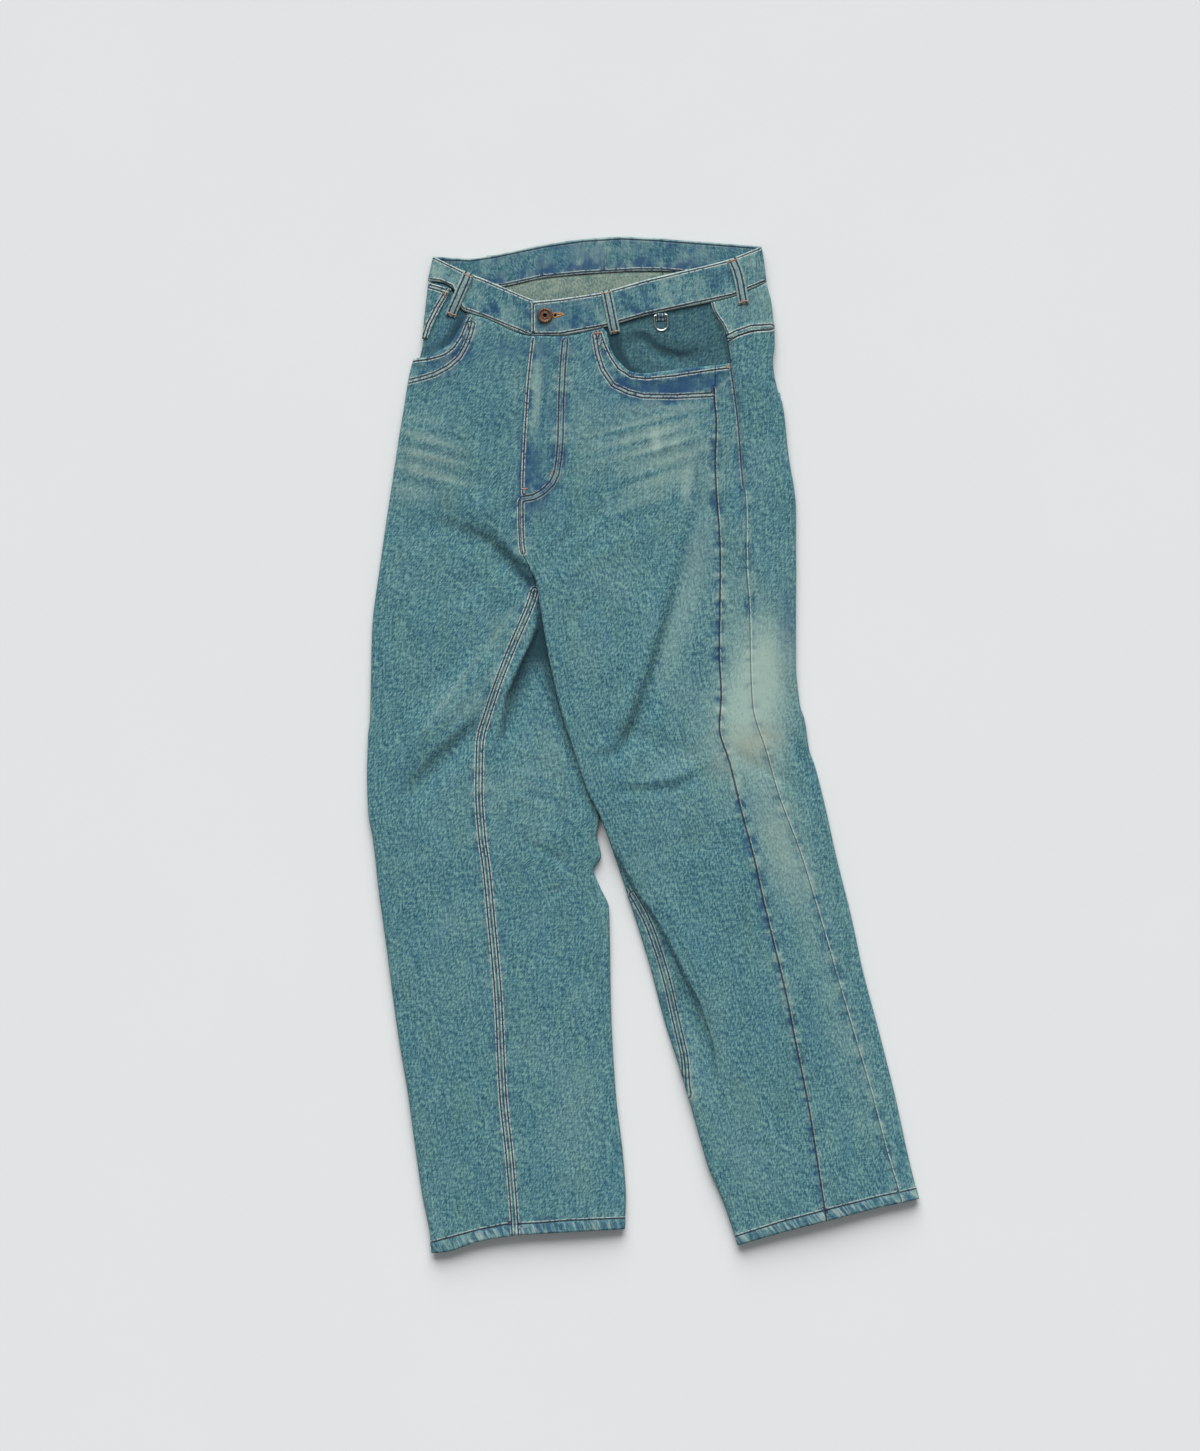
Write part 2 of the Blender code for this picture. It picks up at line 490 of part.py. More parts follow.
def front_right():
    """Right front, from the design seam round the outer edge to the centre front and inseam."""
    rim = LEFT_RIM

    def seam(y):
        tucked = track(CENTRE_FRONT, y) + track(FLY_TUCK, y)
        return rim.run(np.where(y > 193.6, tucked, track(RIGHT_INSEAM, y) - SEAM / 2), y)

    def pocket_end(y):
        return rim.quarter(y) + 0.42 * (seam(y) - rim.quarter(y))

    def place(run, y):
        points = rim.place(run, y)
        covered = smooth((points[..., 0] - track(CENTRE_FRONT, y) + 14) / 12) * smooth((y - 245) / 16)
        points[..., 2] -= covered * (UNDER + 0.1)
        return points

    guides = (lambda y: rim.run_under(track(RIGHT_DESIGN_SEAM, y) - SEAM / 2, y), lambda y: -rim.quarter(y),
              rim.quarter, pocket_end, seam)
    heads = (level(424, 424), level(424, 424.6), along(RIGHT_POCKET, rim.run),
             below(RIGHT_FRONT_FOOT, RIGHT_POCKET[-1][0], -117.1, rim.run))
    return sections(guides, (2, 4, 4, 4), LEVELS, heads, RIGHT_HEM, place)


def front_left():
    """Left front, from the centre front and inseam to the design seam."""
    rim = FRONT_LEFT_RIM

    def inseam(y):
        return np.where(y > 193.6, rim.quarter(y), track(LEFT_INSEAM, y)) + SEAM / 2

    def ledge(y):
        return inseam(y) + track(LEDGE_SHARE, y) * (fold_foot(y) - inseam(y))

    def fold_foot(y):
        return track(FOLD_FOOT, y)

    def fold_top(y):
        return track(FOLD_FOOT, y) + track(FOLD_RUN, y)

    def design_seam(y):
        return rim.run(track(LEFT_DESIGN_SEAM, y) - SEAM / 2, y)

    def pocket_start(y):
        return fold_top(y) + 0.36 * (design_seam(y) - fold_top(y))

    guides = (inseam, lambda y: inseam(y) + SEAM_RUN, ledge, fold_foot, fold_top, pocket_start, design_seam)
    waist = LEFT_FRONT_FOOT[0][1] - SEAM
    heads = (level(waist, waist), level(waist, waist), level(waist, waist), level(waist, waist),
             below(LEFT_FRONT_FOOT, -108.8, LEFT_POCKET[0][0], rim.run), along(LEFT_POCKET, rim.run))
    return sections(guides, (1, 1, 1, 3, 3, 8), LEVELS, heads, LEFT_HEM, rim.place)


def side_left():
    """Left side strip."""
    rim = FRONT_LEFT_RIM
    guides = (lambda y: rim.run(track(LEFT_DESIGN_SEAM, y) + SEAM / 2, y),
              lambda y: rim.run(track(LEFT_OUTSEAM, y) - SEAM / 2, y))
    return sections(guides, (2,), (418,) + LEVELS[2:], (level(417.6, 420),), LEFT_HEM, rim.place)


def side_right():
    """Right side strip, on the underside."""
    rim = LEFT_RIM
    guides = (lambda y: rim.run_under(track(RIGHT_OUTSEAM, y) - SEAM / 2, y),
              lambda y: rim.run_under(track(RIGHT_DESIGN_SEAM, y) + SEAM / 2, y))
    return sections(guides, (2,), (424,) + LEVELS[2:], (level(424, 424),), RIGHT_HEM, rim.place)


def back_left():
    """Left back, from the outseam round the outer edge and along the underside to the inseam."""
    outer, inner = RIGHT_RIM, BACK_LEFT_RIM

    def inner_start(y):
        return outer.run(inner.edge(y) + inner.radius(y), y)

    def place(run, y):
        past = run - inner_start(y)
        on_inner = inner.place(np.maximum(past, 0) - inner.quarter(y), y)
        return np.where((past > 0)[..., None], on_inner, outer.place(-run, y))

    def outseam(y):
        return -outer.run(track(LEFT_OUTSEAM, y) + SEAM / 2, y)

    def inseam(y):
        last = np.where(y > 181, -inner.quarter(y), track(LEFT_INSEAM, y))
        return inner_start(y) + inner.quarter(y) + last - track(INSEAM_GAP, y)

    def turn_start(y):
        return np.minimum(inner_start(y), inseam(y) - 4.5)

    def turn_end(y):
        return np.minimum(inner_start(y) + 2 * inner.quarter(y), inseam(y) - 1.2)

    guides = (outseam, lambda y: -outer.quarter(y), outer.quarter, turn_start, turn_end,
              lambda y: inseam(y) - SEAM_RUN, inseam)
    heads = (below(YOKE_SEAM_TOP, track(LEFT_OUTSEAM, 445) + SEAM / 2, 141.2, lambda x, y: -outer.run(x, y)),
             level(457.4, 457.4), below(YOKE_SEAM_BACK, 141.2, 22, outer.run),
             level(445.6, 445.6), level(445.6, 445.6), level(445.6, 445.6))
    return sections(guides, (3, 4, 4, 4, 1, 1), LEVELS, heads, LEFT_HEM, place)


def back_right():
    """Right back, from the inseam round the inner edge and along the underside to the outseam."""
    rim = RIGHT_INNER_RIM

    def seam(y):
        leg = -rim.run(track(RIGHT_INSEAM, y) + SEAM / 2, y)
        seat = rim.quarter(y) + SEAM
        return seat + (leg - seat) * track(CROTCH_TURN, y)

    def flap(y):
        return seam(y) + track(FLAP_SHARE, y) * (turn_start(y) - seam(y))

    def turn_start(y):
        turn = rim.quarter(y) + 8 - (2 * rim.quarter(y) + 8) * smooth((200 - y) / 18)
        return np.maximum(turn, seam(y) + 3)

    def turn_end(y):
        return rim.quarter(y) + 16 - 16 * smooth((200 - y) / 18)

    def outseam(y):
        return rim.run(track(RIGHT_OUTSEAM, y) + SEAM / 2, y)

    guides = (seam, flap, turn_start, turn_end, outseam)
    heads = (level(445.6, 445.6), level(445.6, 445.6), level(445.6, 445.8),
             below(YOKE_SEAM_BACK, 2, -146.5, rim.run))
    return sections(guides, (2, 4, 4, 4), LEVELS, heads, RIGHT_HEM, lambda run, y: rim.place(-run, y))


def yoke_left():
    """Left yoke, from the outseam round the outer edge to the centre back."""
    rim = RIGHT_RIM

    def outseam(y):
        return -rim.run(track(LEFT_OUTSEAM, y) + SEAM / 2, y)

    def centre(y):
        return rim.run(track(CENTRE_BACK, y) + SEAM, y)

    pieces = ((outseam, lambda y: -rim.quarter(y), lambda x: track(LEFT_FRONT_FOOT, x) - HEAD_GAP,
               lambda x: track(YOKE_SEAM_TOP, x), 3),
              (lambda y: -rim.quarter(y), rim.quarter, lambda x: 506.6, lambda x: 458, 4),
              (rim.quarter, centre, lambda x: track(BACK_FOOT, x) - HEAD_GAP,
               lambda x: track(YOKE_SEAM_BACK, x), 5))
    return strips(pieces, 3, lambda run, y: rim.place(-run, y))


def yoke_right():
    """Right yoke, on the underside."""
    rim = LEFT_RIM
    pieces = ((lambda y: rim.run_under(track(CENTRE_BACK, y) - SEAM / 2, y),
               lambda y: rim.run_under(track(RIGHT_OUTSEAM, y) + SEAM / 2, y),
               lambda x: track(BACK_FOOT, x) - HEAD_GAP, lambda x: track(YOKE_SEAM_BACK, x), 6),)
    return strips(pieces, 3, rim.place)


def facing_bottom(x, y):
    """Underside of the right facing: level with the yoke, and over the panels further down."""
    return track(SEAT_Z, y) + UNDER * smooth((440 - y) / 10) + 0 * x


def pocket_facing_right():
    """Facing in the right pocket opening, from the side seam round the edge to under the front."""
    rim = Rim(from_table(RIGHT_FACING_EDGE), constant(OUTER_RADIUS - 1), 1,
              lambda x, y: right_top(x, y) - UNDER - 0.1, facing_bottom)

    def under_band(x):
        return min(track(RIGHT_FRONT_FOOT, x - 2), track(RIGHT_FRONT_FOOT, x + 2)) - HEAD_GAP

    pieces = ((lambda y: rim.run_under(track(RIGHT_OUTSEAM, y) - SEAM, y), lambda y: -rim.quarter(y),
               lambda x: track(BACK_FOOT, x) - HEAD_GAP, lambda x: 414, 3),
              (lambda y: -rim.quarter(y), rim.quarter, lambda x: 508.2, lambda x: 414, 4),
              (rim.quarter, lambda y: rim.run(-187, y), under_band,
               lambda x: track(RIGHT_FACING_FOOT, x), 7))
    return strips(pieces, 6, rim.place)


def pocket_facing_left():
    """Facing in the left pocket opening."""
    def place(x, y):
        return np.stack([x + 0 * y, y, left_top(x, y) - UNDER - 0.1], -1)

    pieces = ((lambda y: -42, lambda y: track(LEFT_OUTSEAM, y) - SEAM / 2,
               lambda x: track(LEFT_FRONT_FOOT, x) - HEAD_GAP, lambda x: track(LEFT_FACING_FOOT, x), 10),)
    return strips(pieces, 5, place)


def coin_pocket():
    """Coin pocket on the right facing, wrapped round the outer edge."""
    def edge(y):
        return track(LEFT_EDGE, y) + 0.2

    rim = Rim(edge, constant(OUTER_RADIUS), 1, lambda x, y: right_top(x, y) - 0.1,
              lambda x, y: facing_bottom(x, y) - UNDER)

    def side(y):
        return rim.run(track(COIN_SIDE, y), y)

    pieces = ((lambda y: -40, lambda y: -rim.quarter(y), lambda x: 508.6, lambda x: 447, 2),
              (lambda y: -rim.quarter(y), rim.quarter, lambda x: 508.6, lambda x: 447, 4),
              (rim.quarter, side, lambda x: track(COIN_TOP, x), lambda x: 447, 3))
    return strips(pieces, 5, rim.place)


def back_pocket(top_left, top_right, foot_right, point, foot_left):
    """Patch pocket on the underside, from its five corners (x, y)."""
    corners = [np.array(corner, float) for corner in (top_left, top_right, foot_right, point, foot_left)]
    columns = []
    for share in np.linspace(1, 0, 7):
        top = corners[0] * (1 - share) + corners[1] * share
        if share > 0.5:
            foot = corners[3] + (corners[2] - corners[3]) * (2 * share - 1)
        else:
            foot = corners[4] + (corners[3] - corners[4]) * 2 * share
        rise = np.linspace(0, 1, 6)[:, None]
        columns.append(np.concatenate([foot + (top - foot) * rise, 0 * rise], 1))
    return np.stack(columns, 1)


def waistband():
    """Waistband, foot to top, from the covered right end round the back to the left end."""
    rows = np.linspace(0, 1, 3)
    columns = []

    def column(foot, top, height):
        x = foot[0] + rows * (top[0] - foot[0])
        y = foot[1] + rows * (top[1] - foot[1])
        columns.append(np.stack([x, y, height(x, y) + 0 * x], -1))

    def front(x, y):
        return hip_top(x, y) + BAND_RISE - smooth((x + 141) / 16) * (BAND + LAYER)

    def turn(side, foot, top):
        for degrees in (60, 30, 0, -30, -60) if side < 0 else (-60, -30, 0, 30, 60):
            angle = math.radians(degrees)
            out = side * OUTER_RADIUS * math.cos(angle)
            share = (1 + math.sin(angle)) / 2
            column((foot[0] + out, foot[1]), (top[0] + out, top[1]),
                   lambda x, y: SEAT_RISE + (hip_top(x, y) + BAND_RISE - SEAT_RISE) * share)

    left_foot, left_top_x = -236 + OUTER_RADIUS, -230 + OUTER_RADIUS
    right_foot, right_top_x = 137.5 - OUTER_RADIUS, 132 - OUTER_RADIUS
    for x in (-106, -116, -125.4, -133, -141, -156, -172.7, -185, -197, -203, -209, -220, left_foot):
        top_x = -106 + (x + 106) / (left_foot + 106) * (left_top_x + 106)
        column((x, track(RIGHT_FRONT_FOOT, x)), (top_x, track(RIGHT_FRONT_TOP, top_x)), front)
    turn(-1, (left_foot, 510.2), (left_top_x, 537.5))
    for share in np.linspace(0, 1, 16):
        x = left_foot + share * (right_foot - left_foot)
        top_x = left_top_x + share * (right_top_x - left_top_x)
        column((x, track(BACK_FOOT, x)), (top_x, track(BACK_TOP, top_x)), lambda x, y: SEAT_RISE)
    turn(1, (right_foot, 508.8), (right_top_x, 548.3))
    for share in np.linspace(0, 1, 17):
        x = right_foot + share * (-122 - right_foot)
        top_x = right_top_x + share * (-122 - right_top_x)
        column((x, track(LEFT_FRONT_FOOT, x)), (top_x, track(LEFT_FRONT_TOP, top_x)),
               lambda x, y: hip_top(x, y) + BAND_RISE)
    return np.stack(columns[::-1], 1)


def belt_loop(path, underneath=False):
    """Belt loop over a path of (x, y, outer face's rise over the panels), foot first."""
    path = np.array(path, float)
    runs = np.gradient(path[:, :2], axis=0)
    runs /= np.linalg.norm(runs, axis=1)[:, None]
    across = np.stack([runs[:, 1], -runs[:, 0]], 1) * LOOP_WIDTH / 2
    columns = []
    for side in (-1, 0, 1):
        spots = path[:, :2] + side * across
        if underneath:
            height = SEAT_RISE - path[:, 2]
        else:
            height = hip_top(path[:, 0], path[:, 1]) + path[:, 2]
        columns.append(np.concatenate([spots, height[:, None]], 1))
    return np.stack(columns[::-1] if underneath else columns, 1)


def add_button(finish, folder):
    """Shank button's head, turned about its centre."""
    mesh = bpy.data.meshes.new("button")
    outline = bmesh.new()
    verts = [outline.verts.new((radius * MM, 0, height * MM)) for radius, height in BUTTON_PROFILE]
    for start, end in zip(verts, verts[1:]):
        outline.edges.new((start, end))
    outline.to_mesh(mesh)
    outline.free()
    part = add_object("button", mesh, finish, folder)
    x, y = BUTTON_AT
    part.location = (np.array((x, y, hip_top(x, y) + BAND_RISE + 0.45)) - MIDDLE) * MM
    turned = part.modifiers.new("turned", "SCREW")
    turned.steps = turned.render_steps = 24
    turned.use_merge_vertices = True
    turned.merge_threshold = 0.00005
    turned.use_smooth_shade = True
    return part


def ring_frame(along_bar, up_tab, rise):
    """Point by the D-ring's bar: x and y turned with it, z over the facing there."""
    angle = math.radians(RING_TURN)
    x = RING_AT[0] + along_bar * math.cos(angle) - up_tab * math.sin(angle)
    y = RING_AT[1] + along_bar * math.sin(angle) + up_tab * math.cos(angle)
    return x, y, left_top(x, y) - UNDER - 0.1 + rise


def add_ring(finish, folder):
    """D-ring of wire, with its origin on the bar's axis."""
    centre = np.array(ring_frame(0, 0, LAYER + RING_WIRE / 2))
    outline = []
    for side, first in ((-1, 180), (1, 90)):
        for step in range(4):
            angle = math.radians(first - 30 * step)
            outline.append((side * (RING_HALF - RING_CORNER) + RING_CORNER * math.cos(angle),
                            RING_CORNER * (math.sin(angle) - 1)))
    for step in range(13):
        angle = math.radians(-15 * step)
        outline.append((RING_HALF * math.cos(angle), RING_HALF * math.sin(angle) - RING_ARM))
    wire = bpy.data.curves.new("d_ring", "CURVE")
    wire.dimensions = "3D"
    wire.bevel_depth = RING_WIRE / 2 * MM
    wire.bevel_resolution = 2
    spline = wire.splines.new("POLY")
    spline.points.add(len(outline) - 1)
    for point, (u, v) in zip(spline.points, outline):
        point.co = (u * MM, v * MM, 0, 1)
    spline.use_cyclic_u = True
    part = add_object("d_ring", wire, finish, folder)
    part.location = (centre - MIDDLE) * MM
    part.rotation_euler = (0, 0, math.radians(RING_TURN))
    return part


def d_ring_tab():
    """Strap over the D-ring's bar."""
    return np.array([[ring_frame(side * TAB_WIDTH / 2, up_tab, rise) for side in (-1, 0, 1)]
                     for up_tab, rise in TAB_RISE])


def main():
    """Build the garment."""
    for leftover in list(bpy.data.objects):
        bpy.data.objects.remove(leftover)
    folder = bpy.data.collections.new("wide_leg_jeans")
    bpy.context.scene.collection.children.link(folder)

    cloth = {
        "front_right": front_right(),
        "front_left": front_left(),
        "side_right": side_right(),
        "side_left": side_left(),
        "back_right": back_right(),
        "back_left": back_left(),
        "yoke_right": yoke_right(),
        "yoke_left": yoke_left(),
        "pocket_facing_right": pocket_facing_right(),
        "pocket_facing_left": pocket_facing_left(),
        "coin_pocket": coin_pocket(),
        "back_pocket_right": back_pocket(*RIGHT_BACK_POCKET),
        "back_pocket_left": back_pocket(*LEFT_BACK_POCKET),
        "belt_loop_front_right": belt_loop(LOOP_FRONT_RIGHT),
        "belt_loop_front_left": belt_loop(LOOP_FRONT_LEFT),
        "belt_loop_side_left": belt_loop(LOOP_SIDE_LEFT),
        "belt_loop_side_right": belt_loop(LOOP_SIDE_RIGHT, underneath=True),
        "belt_loop_centre_back": belt_loop(LOOP_CENTRE_BACK, underneath=True),
        "d_ring_tab": d_ring_tab(),
        "waistband": waistband(),
    }
    walls = {"waistband": BAND, "d_ring_tab": 1.2}
    for name, points in cloth.items():
        denim = material(name, DENIM, 0.85)
        add_wall(name, points, walls.get(name, CLOTH), denim, folder)
    add_button(material("button", COPPER, 0.4, 1.0), folder)
    add_ring(material("d_ring", NICKEL, 0.25, 1.0), folder)


if __name__ == "__main__":
    main()
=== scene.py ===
"""Looks of wide leg jeans laid flat on their back: washed denim, its seams, threads and metal.

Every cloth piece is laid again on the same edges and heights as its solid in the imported
frame, in finer rows, with puckers, seams and wear. Tables are in millimetres: x across
the garment, y up it towards the waist, z up from the floor. The wearer's right is at -X.
"""
from __future__ import annotations

import logging
import math
from dataclasses import dataclass, field
from enum import Enum
from functools import partial
from typing import Any, Callable, Iterable, Sequence

import bmesh
import bpy
import numpy as np
from mathutils import Matrix, Vector
from mathutils.bvhtree import BVHTree

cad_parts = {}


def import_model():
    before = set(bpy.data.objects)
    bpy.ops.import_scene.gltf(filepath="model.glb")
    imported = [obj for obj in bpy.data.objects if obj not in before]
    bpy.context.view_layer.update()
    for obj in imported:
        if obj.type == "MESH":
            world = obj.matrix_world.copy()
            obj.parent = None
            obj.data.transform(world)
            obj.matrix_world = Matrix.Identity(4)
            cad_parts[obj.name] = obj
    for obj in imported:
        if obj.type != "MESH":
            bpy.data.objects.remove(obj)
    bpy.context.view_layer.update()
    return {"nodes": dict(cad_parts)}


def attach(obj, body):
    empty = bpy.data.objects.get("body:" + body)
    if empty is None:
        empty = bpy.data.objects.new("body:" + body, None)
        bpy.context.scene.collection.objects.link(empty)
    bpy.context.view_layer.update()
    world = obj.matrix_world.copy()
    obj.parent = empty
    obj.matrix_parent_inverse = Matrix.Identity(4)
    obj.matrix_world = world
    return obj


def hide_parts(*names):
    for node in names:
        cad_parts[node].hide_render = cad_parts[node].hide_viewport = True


LOG = logging.getLogger("jeans")
MM = 0.001
MIDDLE = np.array((1.0, 0.25, 0.0))  # middle of the tables' outline, laid at the origin
GARMENT = "garment"
HEM_ROUNDS = 4          # steps to find where a column meets the hem
EDGE_ROUNDS = 6         # and where it meets a short piece's edges
FIRST_HEIGHT = 440      # where the search starts on a short piece

Array = np.ndarray
Table = tuple[tuple[float, ...], ...]
Curve = Callable[[Any], Any]
Face = Callable[[Any, Any], Array]


def smooth(share: Any) -> Array:
    """Ease from 0 to 1, flat at both ends."""
    share = np.clip(share, 0, 1)
    return share * share * (3 - 2 * share)


def bell(value: Any, middle: float, width: float) -> Array:
    """1 at the middle, falling away on both sides."""
    return np.exp(-((value - middle) / width) ** 2)


def track(table: Table, at: Any) -> Array:
    """Read a table on a curve that doesn't overshoot.

    Args:
        table: Rows of (place, value).
        at: Places to read.

    Returns:
        The values there.
    """
    rows = np.array(sorted(row[:2] for row in table), float)
    places, values = rows[:, 0], rows[:, 1]
    steps = np.diff(places)
    slopes = np.diff(values) / steps
    bends = np.empty_like(values)
    bends[0], bends[-1] = slopes[0], slopes[-1]
    both = slopes[1:] * slopes[:-1]
    sums = np.where(both > 0, slopes[1:] + slopes[:-1], 1)
    bends[1:-1] = np.where(both > 0, 2 * both / sums, 0)
    at = np.clip(np.asarray(at, float), places[0], places[-1])
    k = np.clip(np.searchsorted(places, at, side="right") - 1, 0, len(steps) - 1)
    u = (at - places[k]) / steps[k]
    return ((1 + 2 * u) * (1 - u) ** 2 * values[k] + u * (1 - u) ** 2 * steps[k] * bends[k]
            + u * u * (3 - 2 * u) * values[k + 1] + u * u * (u - 1) * steps[k] * bends[k + 1])


def crown(share: Any) -> Array:
    """Cross-section of a filled leg: 0 at both edges, 1 in the middle."""
    return 1 - np.abs(2 * np.clip(share, 0, 1) - 1) ** 2.5


def walk(path: Table, x: Array, y: Array) -> tuple[Array, Array, list[Array]]:
    """Measure how far points are from a polyline.

    Args:
        path: Rows of (x, y) and any further values.
        x: Places across.
        y: Places up.

    Returns:
        Distance, positive on the walk's left, length walked to there, and the path's
        further values there.
    """
    rows = np.array(path, float)
    nearest = np.full(np.shape(x), np.inf)
    signed = np.zeros(np.shape(x))
    walked = np.zeros(np.shape(x))
    columns = [np.zeros(np.shape(x)) for _ in rows[0][2:]]
    gone = 0.0
    for start, end in zip(rows[:-1], rows[1:]):
        run = end[:2] - start[:2]
        length = float(np.hypot(*run))
        share = np.clip(((x - start[0]) * run[0] + (y - start[1]) * run[1]) / length ** 2, 0, 1)
        off_x = x - start[0] - share * run[0]
        off_y = y - start[1] - share * run[1]
        distance = np.hypot(off_x, off_y)
        closer = distance < nearest
        nearest = np.where(closer, distance, nearest)
        side = np.where(run[0] * off_y - run[1] * off_x >= 0, 1, -1)
        signed = np.where(closer, side * distance, signed)
        walked = np.where(closer, gone + share * length, walked)
        for k, column in enumerate(columns):
            columns[k] = np.where(closer, start[k + 2] + share * (end[k + 2] - start[k + 2]), column)
        gone += length
    return signed, walked, columns


def ridge(fold: Table, x: Array, y: Array) -> Array:
    """Height that a fold adds, from its rows of (x, y, height, width left, width right)."""
    off, _, (height, left, right) = walk(fold, x, y)
    reach = np.abs(off) / np.where(off > 0, left, right)
    return height * (1 - np.clip(reach, 0, 1) ** 2) ** 2


def ridges(folds: Iterable[Table], x: Array, y: Array) -> Array:
    """Height that several folds add."""
    return sum((ridge(fold, x, y) for fold in folds), np.zeros(np.shape(x)))


def fold(left: float, right: float, *spots: tuple[float, ...]) -> Table:
    """Rows of a fold that keeps its widths, from spots of (x, y), or (x, y, height) where it has one."""
    return tuple((*spot, *(0,) * (3 - len(spot)), left, right) for spot in spots)


def ripple(x: Array, y: Array, size: float, seed: float) -> Array:
    """Uneven waves of a size, from -1 to 1, the same in every run."""
    u, v = np.asarray(x) / size + 17.3 * seed, np.asarray(y) / size - 9.1 * seed
    i, j = np.floor(u), np.floor(v)
    blend_u, blend_v = smooth(u - i), smooth(v - j)

    def corner(right: int, up: int) -> Array:
        """Random value at a corner of the cell."""
        spun = np.sin((i + right) * 127.1 + (j + up) * 311.7 + seed * 74.7) * 43758.5453
        return 2 * (spun - np.floor(spun)) - 1

    low = corner(0, 0) + (corner(1, 0) - corner(0, 0)) * blend_u
    high = corner(0, 1) + (corner(1, 1) - corner(0, 1)) * blend_u
    return low + (high - low) * blend_v


def as_path(table: Table, swap: bool = True, step: float = 12.0) -> Table:
    """Turn an edge's table of (y, x), or of (x, y), into an even polyline of (x, y)."""
    places = [row[0] for row in table]
    steps = max(2, round((max(places) - min(places)) / step))
    first, last = (max(places), min(places)) if swap else (min(places), max(places))
    spots = np.linspace(first, last, steps + 1)
    values = track(table, spots)
    pairs = zip(values, spots) if swap else zip(spots, values)
    return tuple((float(a), float(b)) for a, b in pairs)


def beside(table: Table, start: float, end: float, count: int, shift: float = 0.0) -> Table:
    """Polyline of (x, y) at a distance from an edge's table of (y, x)."""
    y = np.linspace(start, end, count)
    return tuple(zip((track(table, y) + shift).tolist(), y.tolist()))


def moved(table: Table, up: float) -> Table:
    """Rows of (x, y), moved up."""
    return tuple((x, y + up) for x, y in table)


def lengths_to(rows: Array) -> Array:
    """Length walked along a polyline to each of its points."""
    return np.concatenate([[0], np.cumsum(np.hypot(*np.diff(rows[:, :2], axis=0).T))])


